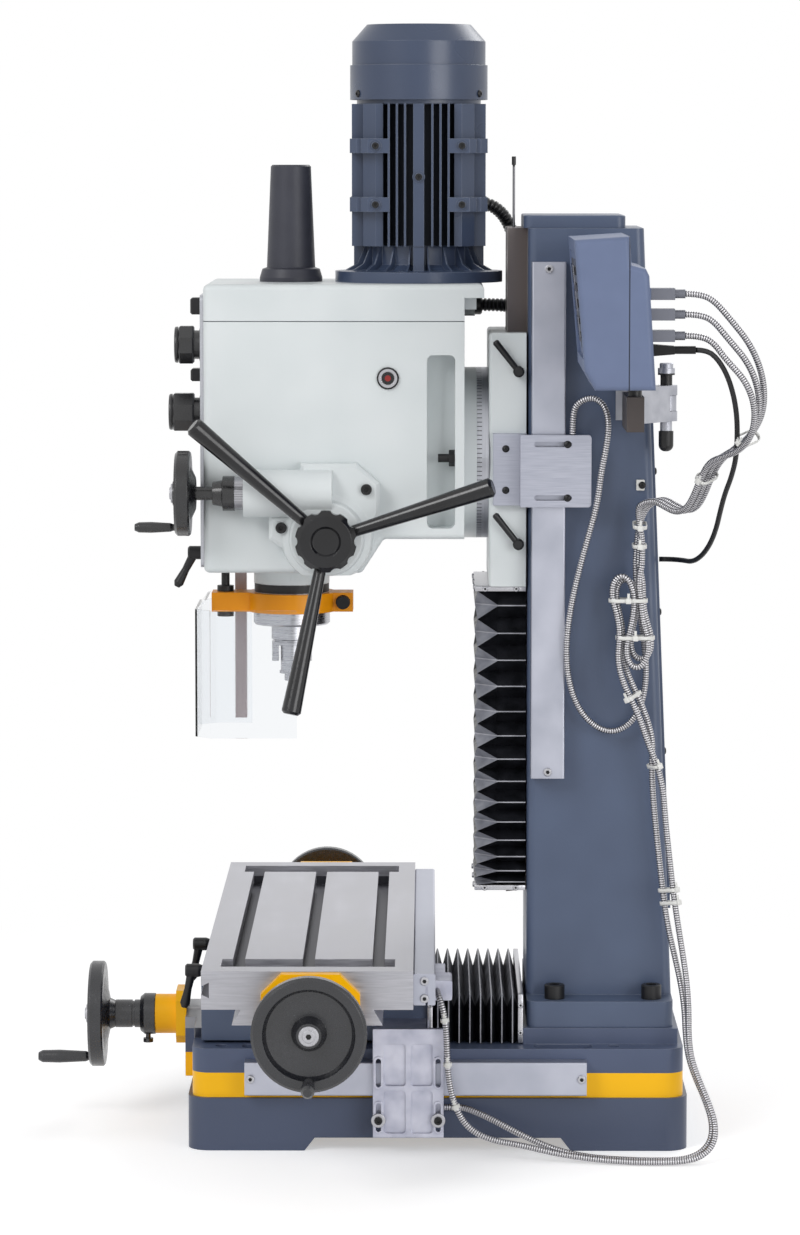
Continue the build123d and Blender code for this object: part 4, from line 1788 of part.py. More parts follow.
def corrugated(route, name):
    """A ribbed hose: each rib is lofted through four circles, round a plain bore."""
    path = rounded_path(route, name)
    valley = CONDUIT_R - RIB_DEPTH
    crest_end = RIB_FLANK + RIB_CREST
    profile = ((0, valley), (RIB_FLANK, CONDUIT_R), (crest_end, CONDUIT_R), (crest_end + RIB_FLANK, valley))
    count = round(path.length / RIB_PITCH)
    stretch = path.length / count
    places = [(rib * stretch + place, radius) for rib in range(count) for place, radius in profile]
    across = Vector(1, 0, 0)
    sections = []
    for place, radius in places + [(path.length, valley)]:
        origin = path.position_at(place, position_mode=PositionMode.LENGTH)
        along = path.tangent_at(place, position_mode=PositionMode.LENGTH)
        across = (across - along * across.dot(along)).normalized()
        sections.append(Plane(origin=origin, x_dir=across, z_dir=along) * Circle(radius))
    return loft(sections, ruled=True) - swept(path, CONDUIT_BORE_R)


def shifted(route, by):
    return [(x + by[0], y + by[1], z + by[2]) for x, y, z in route]


PLUG_END = CONSOLE_FRONT + CONSOLE_BACK + PLUG_LENGTH + FERRULE_LENGTH
LEAD_PITCH = 11
TIE = (126, 257, 690)
UPPER_TURN = [
    (346, 350, 988), (338, 377, 955), (322, 392, 917), (300, 394, 879), (277, 382, 851), (254, 364, 834),
    (234, 349, 819), (217, 340, 799), (203, 333, 777), (190, 325, 761), (176, 314, 756), (162, 301, 762),
    (153, 292, 767), (143, 283, 766), (135, 273, 761), (130, 266, 751), (127, 261, 736), (126, 258, 715),
]


def tie_point(number, side):
    """Where one lead passes the tie on the column, just above or below it."""
    return (TIE[0] + number * LEAD_PITCH, TIE[1] + 3 * number, TIE[2] + side * SLIDE / 2)


def upper_lead(number):
    """One console lead: the outer loop's route, moved sideways and drawn in for the lower sockets."""
    z = CONSOLE_TOP - SOCKET_DROPS[number]
    drop = SOCKET_DROPS[number] - SOCKET_DROPS[0]
    route = [
        (SOCKET_X, PLUG_END + SLIDE, z), (SOCKET_X, PLUG_END + 14, z), (SOCKET_X - 2, PLUG_END + 31, z - 6),
    ]
    for step, (x, y, z) in enumerate(UPPER_TURN):
        share = min(1, (step + 1) / 4)
        fall = max(0, 1 - step / 6)
        spread = max(0, 1 - max(0, step - 14) / 3)
        route.append((
            x + number * (LEAD_PITCH + spread) * share,
            y + number * (3 - 10 * spread) * share,
            z - drop * fall,
        ))
    return route + [tie_point(number, 1)]


def console_leads():
    """Three armoured leads from the console's back to the tie on the column, and its power lead."""
    leads = [tube(upper_lead(number), LEAD_R, f"console lead {number}") for number in range(3)]
    z = CONSOLE_TOP - POWER_DROP
    start = PLUG_END + FERRULE_LENGTH
    gland = 690
    wall = column_rear(gland) + COVER_THICKNESS + AIR
    power = [
        (SOCKET_X, start + SLIDE, z), (SOCKET_X, start + 13, z), (348, 338, 941),
        (343, 349, 923), (333, 357, 900),
        (317, 362, 876), (298, 364, 850), (279, 364, 824), (259, 360, 801), (240, 354, 781), (221, 350, 759),
        (201, 347, 738), (179, 342, 719), (156, 335, 704),
        (133, 328, 695), (112, 322, 691), (90, 317, gland + 0.3),
        (74, 308, gland), (68, 298, gland), (68, wall, gland),
    ]
    leads.append(tube(power, POWER_R, "power lead"))
    return group(*leads)


# Spare length of the table's two leads, folded to and fro below the tie, as (y, z)
X_FOLD = [
    (263, 674), (264.5, 657), (267, 640), (270, 623), (276, 608),
    (279, 593), (275, 578), (265, 569), (253, 570), (245, 580),
    (244, 595), (249, 611), (254, 628), (256, 645), (254, 661),
    (247, 673), (236, 678), (226, 673), (221, 662), (223, 647),
    (229, 632), (233, 616), (233, 600), (231, 584), (233, 568),
    (239, 552), (248, 537), (258, 521), (268, 504), (276, 485),
]
Y_FOLD = [
    (260, 672), (260.5, 654), (262, 637), (267, 621), (273, 607),
    (274, 592), (268, 581), (257, 577), (246, 582), (241, 594),
    (243, 609), (248, 625), (250, 641), (249, 656), (243, 668),
    (233, 673), (223, 669), (218, 658), (220, 643), (225, 628),
    (229, 613), (229, 597), (230, 581), (235, 565), (243, 550),
    (253, 534), (263, 517), (271, 499), (277, 480),
]
FALL = [
    (132, 286, 435), (131, 290, 386), (131, 295, 341), (132, 300, 298),
    (135, 306, 258), (141, 312, 222), (151, 316, 191),
    (165, 317, 164), (181, 316, 140), (197, 318, 116), (212, 326, 93), (226, 337, 69), (238, 345, 45),
    (247, 343, 24), (254, 330, 11),
]


def x_lead():
    tie = tie_point(2, -1)
    route = [tie] + [(tie[0], y, z) for y, z in X_FOLD] + shifted(FALL, (LEAD_PITCH, 3, 0))
    route += [
        (270, 313, 5.5), (272, 279, 4.3), (269, 239, 4.6), (263, 199, 7), (257, 159, 12), (251, 122, 20),
        (246, 92, 30), (241, 69, 44), (237, 54, 64), (236, 46, 91), (236, 44, 122), (237, 41, 152),
        (236, 34, 174), (231, 28, 187), (SADDLE_X + X_READER_LENGTH + 16, 24, 194),
        (SADDLE_X + X_READER_LENGTH + SLIDE, 24, 194),
    ]
    return tube(route, LEAD_R, "x lead")


def y_lead():
    tie = tie_point(1, -1)
    route = [tie] + [(tie[0], y, z) for y, z in Y_FOLD] + FALL
    route += [
        (260, 310, 5), (261, 277, 4.2), (257, 238, 4.5), (251, 200, 6), (244, 165, 12), (236, 136, 22),
        (227, 111, 33), (218, 89, 43), (209, 70, 50),
        (202, 57, 53.5), (199, 46, 54), (199, Y_READER_REAR + SLIDE, 54),
    ]
    return tube(route, LEAD_R, "y lead")


def z_lead():
    plate = Z_PLATE_X + READER_PLATE / 2
    top = Z_READER_BOTTOM + Z_READER_HEIGHT
    route = [
        (plate, 182, top + SLIDE), (plate, 182, top + 15), (plate, 184, 873),
        (135, 192, 888), (138, 206, 896),
        (141, 221, 893), (144, 231, 880), (145, 234, 859), (145, 229, 830), (144, 221, 798), (144, 211, 762),
        (143, 200, 722), (141, 189, 680), (138, 180, 638), (135, 175, 596), (132, 177, 557), (128, 187, 523),
        (124, 205, 499), (120, 228, 488), (117, 250, 496), (116, 265, 519), (116, 271, 554), (118, 268, 595),
        (122, 262, 632), (126, 257.5, 662), tie_point(0, -1),
    ]
    return tube(route, LEAD_R, "z lead")


def gland(place):
    """Threaded gland round a conduit, standing on the plane's face."""
    ring = turned_z([
        (CONDUIT_R + RUN, 0), (GLAND_R, 0), (GLAND_R, GLAND_LENGTH - 2), (GLAND_R - 2, GLAND_LENGTH),
        (CONDUIT_R + RUN, GLAND_LENGTH),
    ])
    return place * ring


def box_gland():
    return gland(Plane(origin=MOTOR_CONDUIT_START, z_dir=(0, 1, 0)))


def lid_gland():
    return gland(Plane(origin=HEAD_CONDUIT_START, z_dir=(0, 1, 0)))


MOTOR_MIDDLE = (MOTOR_BODY_Z + MOTOR_BODY_TOP) / 2
TERMINAL_X = -MOTOR_FIN_REACH - TERMINAL_BOX_DEPTH / 2
MOTOR_CONDUIT_START = (TERMINAL_X, MOTOR_Y + TERMINAL_BOX / 2, MOTOR_MIDDLE - 33)
HEAD_CONDUIT_START = (CONDUIT_BOSS_X, HEAD_REAR + LID_RIB, LID_Z - LID_OVERHANG_THICKNESS - 15)
CONDUIT_ENDS = [(JUNCTION_MIDDLE, JUNCTION_FRONT, z) for z in JUNCTION_GLANDS]


def junction_box():
    """Terminal box on the far side of the column, with a lid and the two conduit glands."""
    x = (-COLUMN_X - JUNCTION_DEPTH, -COLUMN_X)
    y = (JUNCTION_FRONT, JUNCTION_FRONT + JUNCTION_WIDTH)
    z = (JUNCTION_BOTTOM, JUNCTION_BOTTOM + JUNCTION_HEIGHT)
    box = block(x, y, z)
    box = fillet(box.edges().filter_by(Axis.X), 5)
    lid = block((x[0] - 3, x[0]), (y[0] - 2, y[1] + 2), (z[0] - 2, z[1] + 2))
    lid = fillet(lid.edges().filter_by(Axis.X), 5)
    glands = [gland(Plane(origin=end, z_dir=(0, -1, 0))) for end in CONDUIT_ENDS]
    return [box, lid] + glands


def conduits():
    """Corrugated conduits from the motor and the head, hanging to the box on the column."""
    x, y, z = MOTOR_CONDUIT_START
    end = CONDUIT_ENDS[0]
    motor_run = [
        (x, y + SLIDE, z), (x, y + 31, z), (-103, 97, z - 8),
        (-110, 111, z - 26), (-118, 119, z - 52), (-125, 121, z - 86),
        (-130, 119, z - 126), (-133, 116, z - 170), (-134, 112, z - 216),
        (-134, 109, z - 262), (-133, 108, z - 304),
        (-132, 113, end[2] + 48), (end[0], 134, end[2] + 15),
        (end[0], end[1] - 40, end[2]), (end[0], end[1] - SLIDE, end[2]),
    ]
    x, y, z = HEAD_CONDUIT_START
    end = CONDUIT_ENDS[1]
    head_run = [
        (x, y + SLIDE, z), (x, y + 29, z), (-101, 114, z - 2),
        (-112, 128, z - 10), (-122, 138, z - 27), (-128, 143, z - 50),
        (-131, 144, z - 77), (-132, 141, z - 106), (-132, 138, z - 132),
        (-131, 140, end[2] + 31), (end[0], 154, end[2] + 9),
        (end[0], end[1] - 30, end[2]), (end[0], end[1] - SLIDE, end[2]),
    ]
    return group(corrugated(motor_run, "motor conduit"), corrugated(head_run, "head conduit"))


NODES = {
    "base_casting": base_casting,
    "column_casting": column_casting,
    "column_cap": lambda: group(column_cap(), stop_rod_top()),
    "column_covers": lambda: group(column_rear_cover(), *junction_box()),
    "column_bolts": column_bolts,
    "frame_scales": frame_scales,
    "z_bellows": z_bellows,
    "y_bellows": y_bellows,
    "y_feed_bracket": y_feed_bracket,
    "dro_mount": dro_mount,
    "console_leads": console_leads,
    "x_lead": x_lead,
    "y_lead": y_lead,
    "z_lead": z_lead,
    "z_leadscrew": z_leadscrew,
    "z_crank": z_crank,
    "saddle_casting": saddle_casting,
    "feed_nuts": feed_nuts,
    "reader_brackets": reader_brackets,
    "table_lock_lever_near": lambda: table_lock_lever(TABLE_LOCK_X),
    "table_lock_lever_far": lambda: table_lock_lever(-TABLE_LOCK_X),
    "table_casting": table_casting,
    "table_end_brackets": table_end_brackets,
    "x_scale": x_scale,
    "x_leadscrew": x_leadscrew,
    "x_handwheels": x_handwheels,
    "y_leadscrew": y_leadscrew,
    "y_handwheel": y_handwheel,
    "z_slide_casting": z_slide_casting,
    "swivel_ring": swivel_ring,
    "z_reader_bracket": z_reader_bracket,
    "z_lock_lever_upper": lambda: z_lock_lever(SWIVEL_Z + LOCK_LEVER_OFFSET),
    "z_lock_lever_lower": lambda: z_lock_lever(SWIVEL_Z - LOCK_LEVER_OFFSET),
    "conduits": conduits,
    "head_casting": head_casting,
    "head_lid": lambda: group(head_lid(), lid_gland()),
    "front_panel": front_panel,
    "sight_glass": sight_glass,
    "feed_cover": feed_cover,
    "drawbar_cover": drawbar_cover,
    "motor_housing": motor_housing,
    "motor_fan_cover": motor_fan_cover,
    "motor_rotor": motor_rotor,
    "countershaft": countershaft,
    "spindle_gear": spindle_gear,
    "speed_knob_upper": lambda: speed_knob(KNOB_Z[0], KNOB_LENGTH[0]),
    "speed_knob_lower": lambda: speed_knob(KNOB_Z[1], KNOB_LENGTH[1]),
    "quill_lock_lever": quill_lock_lever,
    "fine_feed_wheel": fine_feed_wheel,
    "capstan_hub": capstan_hub,
    "capstan_levers": capstan_levers,
    "quill": quill,
    "quill_clamp": quill_clamp,
    "depth_stop": depth_stop,
    "spindle": spindle,
    "shell_mill_arbor": shell_mill_arbor,
    "guard_bar": guard_bar,
    "guard_shield": guard_shield,
    "dro_arm": dro_arm,
    "dro_console": dro_console,
}

os.makedirs("parts", exist_ok=True)
for node, make in NODES.items():
    export_step(make(), f"parts/{node}.step")
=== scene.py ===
from math import cos, pi, radians, sin

import bpy
from mathutils import Matrix, Vector


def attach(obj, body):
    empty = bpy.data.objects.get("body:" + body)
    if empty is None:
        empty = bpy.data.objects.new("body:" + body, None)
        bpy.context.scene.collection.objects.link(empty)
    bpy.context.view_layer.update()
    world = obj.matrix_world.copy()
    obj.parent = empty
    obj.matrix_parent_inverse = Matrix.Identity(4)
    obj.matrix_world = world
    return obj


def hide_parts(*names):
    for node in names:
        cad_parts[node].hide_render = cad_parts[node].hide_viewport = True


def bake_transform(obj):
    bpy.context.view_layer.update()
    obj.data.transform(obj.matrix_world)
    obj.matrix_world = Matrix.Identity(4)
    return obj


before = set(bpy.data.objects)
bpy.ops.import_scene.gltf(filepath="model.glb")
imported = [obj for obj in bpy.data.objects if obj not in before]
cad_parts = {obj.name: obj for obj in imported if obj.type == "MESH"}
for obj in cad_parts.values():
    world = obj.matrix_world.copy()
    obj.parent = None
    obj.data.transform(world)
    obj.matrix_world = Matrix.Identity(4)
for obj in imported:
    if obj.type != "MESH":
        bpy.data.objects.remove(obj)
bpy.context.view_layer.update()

# A bench mill drill. Sizes are millimetres unless a comment says metres;
# the mesh and the shaders work in metres.
MM = 0.001

# Camera, read from the photograph
CAMERA_AT = (5530, 12.4, 1176)
CAMERA_AIM = (0, -21.5, 613)
FOCAL = 134.2
SENSOR = 36
CAMERA_REACH = 100000

# Soft boxes: place, aim and width in metres, power in watts
LAMPS = {
    "key": ((4.2, -3.6, 4.2), (0, 0, 0.6), 2.6, 150),
    "fill": ((4.7, 3.4, 1.4), (0, 0, 0.5), 3.0, 100),
    "back": ((-3.5, 2.0, 4.0), (0, 0, 0.7), 2.5, 70),
}
# Shares of white, and the distances in metres over which the floor fades to white
ROOM_LIGHT = 0.5
FLOOR_LIFT = 0.42
FLOOR_FADE = (0.55, 1.5)
FLOOR_SIZE = 60
PLAIN_WHITE = (1.0, 1.0, 1.0, 1.0)

# Directions
NEAR, FAR, FRONT, REAR, UP = (1, 0, 0), (-1, 0, 0), (0, -1, 0), (0, 1, 0), (0, 0, 1)

# Places that more than one part needs
MOTOR_Y = 1
SWIVEL_Z = 813
FINE_AXIS = (146, 0, 774)


# Materials
def linear(code):
    """Linear colour, as a shader takes it, from an sRGB hex value."""
    shares = [int(code[place:place + 2], 16) / 255 for place in (1, 3, 5)]
    return tuple(s / 12.92 if s <= 0.04045 else ((s + 0.055) / 1.055) ** 2.4 for s in shares) + (1.0,)


def add(tree, kind, inputs=None, **settings):
    """One node with its settings; each input holds a plain value or is linked to an output."""
    node = tree.nodes.new(kind)
    for name, value in settings.items():
        setattr(node, name, value)
    for socket, value in (inputs or {}).items():
        if isinstance(value, bpy.types.NodeSocket):
            tree.links.new(value, node.inputs[socket])
        else:
            node.inputs[socket].default_value = value
    return node.outputs


def start_finish(name, code, metallic, roughness, **sockets):
    """A material whose plain numbers sit on its shader, with its tree, shader and place on the piece."""
    material = bpy.data.materials.new(name)
    material.use_nodes = True
    tree = material.node_tree
    shader = tree.nodes["Principled BSDF"]
    shader.inputs["Base Color"].default_value = linear(code)
    shader.inputs["Metallic"].default_value = metallic
    shader.inputs["Roughness"].default_value = roughness
    for socket, value in sockets.items():
        shader.inputs[socket.replace("_", " ")].default_value = value
    place = add(tree, "ShaderNodeTexCoord")["Object"]
    return material, tree, shader, place


def lay_on(tree, shader, colour, pattern, smooth, rough):
    """Links a colour to the shader, and a roughness that follows a pattern between two values."""
    limits = {"Value": pattern, "To Min": smooth, "To Max": rough}
    tree.links.new(colour, shader.inputs["Base Color"])
    tree.links.new(add(tree, "ShaderNodeMapRange", limits)[0], shader.inputs["Roughness"])


def grain(tree, place, size, detail=2.0, stretch=None):
    """Noise from 0 to 1 with parts of one size in millimetres, or stretched to a size for each axis."""
    if stretch:
        scale = tuple(size / length for length in stretch)
        place = add(tree, "ShaderNodeMapping", {"Vector": place, "Scale": scale})[0]
    inputs = {"Vector": place, "Scale": 1 / (size * MM), "Detail": detail}
    noise = add(tree, "ShaderNodeTexNoise", inputs)["Fac"]
    return add(tree, "ShaderNodeMapRange", {"Value": noise, "From Min": 0.3, "From Max": 0.7})[0]


def edge_mask(tree, radius, most):
    """Rises on edges and corners, where a rounded normal turns off the face's own, and is 0 on open faces."""
    rounded = add(tree, "ShaderNodeBevel", {"Radius": radius * MM}, samples=4)["Normal"]
    flat = add(tree, "ShaderNodeNewGeometry")["Normal"]
    turn = add(tree, "ShaderNodeVectorMath", {0: rounded, 1: flat}, operation="DOT_PRODUCT")["Value"]
    limits = {"Value": turn, "From Min": 0.97, "From Max": 0.75, "To Max": most}
    return add(tree, "ShaderNodeMapRange", limits)[0]


def raise_surface(tree, shader, layers, edge=0.0):
    """Bump from layers of (height, depth in millimetres), over edges rounded by a radius."""
    normal = None
    if edge:
        normal = add(tree, "ShaderNodeBevel", {"Radius": edge * MM}, samples=4)["Normal"]
    for height, depth in layers:
        inputs = {"Height": height, "Distance": depth * MM, "Strength": 1.0}
        if normal:
            inputs["Normal"] = normal
        normal = add(tree, "ShaderNodeBump", inputs)["Normal"]
    tree.links.new(normal, shader.inputs["Normal"])


def joined(tree, masks, operation):
    """Several masks made one: MULTIPLY where all of them are 1, MAXIMUM where any is."""
    whole = masks[0]
    for mask in masks[1:]:
        whole = add(tree, "ShaderNodeMath", {0: whole, 1: mask}, operation=operation)[0]
    return whole


def middle_and_half(low, high):
    """A range's middle and half width in metres, as COMPARE takes them."""
    return (low + high) / 2 * MM, (high - low) / 2 * MM


# Masks for patched: each is a function of a material's tree and its place on the piece
def inside(low, high):
    """1 inside a box of two corners, else 0; None leaves an axis open."""
    def make(tree, place):
        axes = add(tree, "ShaderNodeSeparateXYZ", {0: place})
        parts = []
        for axis in range(3):
            if low[axis] is not None:
                middle, half = middle_and_half(low[axis], high[axis])
                inputs = {0: axes[axis], 1: middle, 2: half}
                parts.append(add(tree, "ShaderNodeMath", inputs, operation="COMPARE")[0])
        return joined(tree, parts, "MULTIPLY")
    return make


def layer(low, high):
    """1 between two heights, else 0."""
    return inside((None, None, low), (None, None, high))


def round_part(axis, centre, inner, outer, low=None, high=None):
    """1 between two radii about an axis (0, 1 or 2) through a point, and in a box where one is given."""
    def make(tree, place):
        flat = [1.0, 1.0, 1.0]
        flat[axis] = 0.0
        spot = [c * MM * share for c, share in zip(centre, flat)]
        flattened = add(tree, "ShaderNodeVectorMath", {0: place, 1: flat}, operation="MULTIPLY")[0]
        away = add(tree, "ShaderNodeVectorMath", {0: flattened, 1: spot}, operation="DISTANCE")["Value"]
        middle, half = middle_and_half(inner, outer)
        parts = [add(tree, "ShaderNodeMath", {0: away, 1: middle, 2: half}, operation="COMPARE")[0]]
        if low:
            parts.append(inside(low, high)(tree, place))
        return joined(tree, parts, "MULTIPLY")
    return make


def marks(centre, count, width, low, high):
    """1 on a dial's marks in a box: radial about a centre, so many a turn and so many degrees wide."""
    def make(tree, place):
        middle = [c * MM for c in centre]
        spot = add(tree, "ShaderNodeVectorMath", {0: place, 1: middle}, operation="SUBTRACT")[0]
        parts = add(tree, "ShaderNodeSeparateXYZ", {0: spot})
        angle = add(tree, "ShaderNodeMath", {0: parts[0], 1: parts[2]}, operation="ARCTAN2")[0]
        steps = add(tree, "ShaderNodeMath", {0: angle, 1: count / (2 * pi)}, operation="MULTIPLY")[0]
        off = add(tree, "ShaderNodeMath", {0: steps, 1: 0.5}, operation="PINGPONG")[0]
        mark = add(tree, "ShaderNodeMath", {0: off, 1: width / 360 * count / 2}, operation="LESS_THAN")[0]
        return joined(tree, [mark, inside(low, high)(tree, place)], "MULTIPLY")
    return make


def patched(material, *coats):
    """Other finishes over a piece's own, and on some pieces painted shade, each where any of its masks is 1.
    A coat is a list of masks and a finish of colour, metallic and roughness."""
    tree = material.node_tree
    shader = tree.nodes["Principled BSDF"]
    place = tree.nodes["Texture Coordinate"].outputs["Object"]
    for masks, (code, metallic, roughness) in coats:
        mask = joined(tree, [make(tree, place) for make in masks], "MAXIMUM")
        values = {"Base Color": linear(code), "Metallic": metallic, "Roughness": roughness}
        for socket, value in values.items():
            target = shader.inputs[socket]
            before = target.links[0].from_socket if target.links else target.default_value
            if socket == "Base Color":
                mixed = add(tree, "ShaderNodeMix", {0: mask, 6: before, 7: value}, data_type="RGBA")[2]
            else:
                mixed = add(tree, "ShaderNodeMix", {0: mask, 2: before, 3: value}, data_type="FLOAT")[0]
            tree.links.new(mixed, target)
    return material


# Finishes
def cast_enamel(name, code, shade, gloss=0.36, edge="#C9CED4", edge_share=0.22, shine=0.5):
    """Enamel sprayed over a filled casting: fine orange peel, slow waves and edges that catch light."""
    material, tree, shader, place = start_finish(name, code, 0.0, gloss, Specular_IOR_Level=shine)
    wave = grain(tree, place, size=70, detail=1.0)
    peel = grain(tree, place, size=2.6)
    colour = add(tree, "ShaderNodeMix", {0: wave, 6: linear(code), 7: linear(shade)}, data_type="RGBA")[2]
    # Edges and corners are painted paler, towards the edge colour: painted highlight, with some wear.
    wear_and_highlight = edge_mask(tree, radius=1.4, most=edge_share)
    colour = add(tree, "ShaderNodeMix", {0: wear_and_highlight, 6: colour, 7: linear(edge)}, data_type="RGBA")[2]
    lay_on(tree, shader, colour, wave, gloss - 0.05, gloss + 0.07)
    raise_surface(tree, shader, [(wave, 0.3), (peel, 0.03)], edge=1.2)
    return material


def worked_metal(name, low, high, roughness, lines, depth=0.02):
    """Metal with the lines of a grinder, brush or lathe, as wide and long as a size for each axis says:
    fine streaks in colour, gloss and height. They are drawn coarser than real ones, so that they show."""
    material, tree, shader, place = start_finish(name, low, 1.0, roughness)
    streak = grain(tree, place, size=min(lines), detail=3.0, stretch=lines)
    cloud = grain(tree, place, size=60)
    colour = add(tree, "ShaderNodeMix", {0: streak, 6: linear(low), 7: linear(high)}, data_type="RGBA")[2]
    stain = add(tree, "ShaderNodeMapRange", {"Value": cloud, "To Max": 0.25})[0]
    colour = add(tree, "ShaderNodeMix", {0: stain, 6: colour, 7: linear(low)}, data_type="RGBA")[2]
    lay_on(tree, shader, colour, streak, roughness - 0.06, roughness + 0.08)
    raise_surface(tree, shader, [(streak, depth)], edge=0.6)
    return material


def blasted_metal(name, low, high, roughness, grit, depth):
    """Cast or blasted metal: a close grain of small pits with a soft, even shine."""
    material, tree, shader, place = start_finish(name, low, 1.0, roughness)
    pits = grain(tree, place, size=grit, detail=3.0)
    cloud = grain(tree, place, size=25)
    colour = add(tree, "ShaderNodeMix", {0: cloud, 6: linear(low), 7: linear(high)}, data_type="RGBA")[2]
    lay_on(tree, shader, colour, pits, roughness - 0.08, roughness + 0.1)
    raise_surface(tree, shader, [(cloud, 0.3), (pits, depth)], edge=0.8)
    return material


def moulded(name, code, wear_and_highlight, roughness, size, depth, shine=0.5):
    """Moulded plastic or gloss black paint: an even skin with a fine grain, some dust, and edges paled by
    wear and painted highlight.
    """
    material, tree, shader, place = start_finish(name, code, 0.0, roughness, Specular_IOR_Level=shine)
    skin = grain(tree, place, size=size)
    cloud = grain(tree, place, size=40)
    dust = add(tree, "ShaderNodeMapRange", {"Value": cloud, "To Max": 0.3})[0]
    colour = add(tree, "ShaderNodeMix", {0: dust, 6: linear(code), 7: linear(wear_and_highlight)}, data_type="RGBA")[2]
    # Edges are painted towards the paler colour: partly wear, partly painted highlight.
    rubbed_and_highlit = edge_mask(tree, radius=0.8, most=0.35)
    colour = add(tree, "ShaderNodeMix", {0: rubbed_and_highlit, 6: colour, 7: linear(wear_and_highlight)}, data_type="RGBA")[2]
    lay_on(tree, shader, colour, skin, roughness - 0.05, roughness + 0.07)
    raise_surface(tree, shader, [(skin, depth)], edge=0.7)
    return material


def coated_cloth(name, low, high, roughness):
    """Bellows cloth coated on both sides: a faint weave under a smooth skin that shines along its folds."""
    material, tree, shader, place = start_finish(name, low, 0.0, roughness, Specular_IOR_Level=0.2)
    weave = grain(tree, place, size=1.6, detail=1.0)
    dust = grain(tree, place, size=18, detail=3.0)
    colour = add(tree, "ShaderNodeMix", {0: dust, 6: linear(low), 7: linear(high)}, data_type="RGBA")[2]
    lay_on(tree, shader, colour, dust, roughness - 0.06, roughness + 0.12)
    raise_surface(tree, shader, [(dust, 0.3), (weave, 0.05)])
    return material


def clear_sheet(name, code, roughness):
    """Polycarbonate sheet: clear, with a grey cast and fine wipe marks in its gloss."""
    sockets = {"IOR": 1.3, "Transmission_Weight": 1.0}
    material, tree, shader, place = start_finish(name, code, 0.0, roughness, **sockets)
    wipe = grain(tree, place, size=6.0, detail=3.0, stretch=(60, 60, 4))
    limits = {"Value": wipe, "To Min": roughness, "To Max": roughness + 0.06}
    tree.links.new(add(tree, "ShaderNodeMapRange", limits)[0], shader.inputs["Roughness"])
    return material


# Enamels as a colour and the shade that it drifts to; finishes of patches as colour, metallic and roughness
GREY = ("#4E5B74", "#48546C")
WHITE = ("#DADFE0", "#D3D9DA")
# WHITE_EDGE and MOTOR_EDGE are paler tints that enamels take on their edges: painted highlight.
WHITE_EDGE = "#F4F6F6"
YELLOW = ("#FFC000", "#FFB600")
MOTOR_EDGE = "#9AA3B2"
SCRAPED = ("#8F8F93", 1.0, 0.34)
BLACK = ("#0D0D0F", 0.0, 0.4)
BLACK_NYLON = ("#0E0E10", 0.0, 0.4)
GLAND = ("#151517", 0.0, 0.4)

# Where a piece shows a second finish or painted shade: boxes of two corners, or heights
BAND = (63, 92.2)
BASE_WAYS = ((-129, -290, 121.4), (129, 119, 136))
COLUMN_WAY = ((-70, 100, 288), (70, 130.2, 1084))
STOP_ROD = ((30, 110, 1083), (38, 118, 1155))
STOP_TIP = ((30, 110, 1155), (38, 118, 1172))
# Round the motor housing within FIN_ROOT_R, between the fins, the enamel is painted near black: painted
# shade.
FIN_ROOTS = ((None, None, 1062), (None, None, 1228))
FIN_ROOT_R = 66
MOTOR_GLAND = ((-114, 46.2, 1098), (-87, 60, 1126))
LID_GLAND = ((-108, 69.2, 974), (-82, 79, 1000))
LID_SEAM = (973.5, 975)
SLIDE_WAYS = (((-70, 104, 650), (70, 200, 970)), ((-101, 128, 650), (101, 131, 970)))
SADDLE_WAYS = (((-151, -247, 181), (151, 10, 209)), ((-129, -260, 120), (129, 14, 140)))
CLAMP_SCREW = ((19.5, -99, 624), (30, -81, 643))
CLAMP_SCREW_AXIS = (0, -90, 633.5)
CLAMP_SCREW_R = 8.7
# The T-slots' insides, below the table's top, are painted dark grey: painted shade in the slots.
SLOT_Y = (-204, -124, -44)
SLOT_HALF = 14
SLOT_END = 372
SLOT_HEIGHTS = (223, 238.5)
SWITCHES = ((-70, -276, 680), (-20, -256.2, 1010))
# A band of the quill just below the head, painted near black
QUILL_DARK_BAND = (645.5, 655.5)
RING_EDGE = ((None, 69, None), (None, 76, None))
RING_MARKS = (120, 0.55)
MOUNT_KNOB_AXIS = (122, 292, 0)
MOUNT_KNOB_R = 11
MOUNT_KNOBS = ((800, 846.5), (898, 914))
ARM_TUBE = ((155, 238, 853), (281, 259.2, 895))
ARM_KNOB = ((250, 240, 894.2), (270, 258, 909))
FINE_DIAL = ((120, -214.4, 740), (180, -203.8, 806))
FINE_DIAL_R = (9, 40)
FINE_MARKS = (60, 1.6)
SIGHT = (0, -35, 908)
SIGHT_RIM = (7.6, 11)
FLOAT_R = 3.6
CONSOLE_GAP = ((150, 236.3, 900), (390, 237.7, 1082))
PLUGS = ((336, 262, 958.5), (364, 303, 1022))
POWER_PLUG = ((336, 264, 940), (364, 315, 958.5))

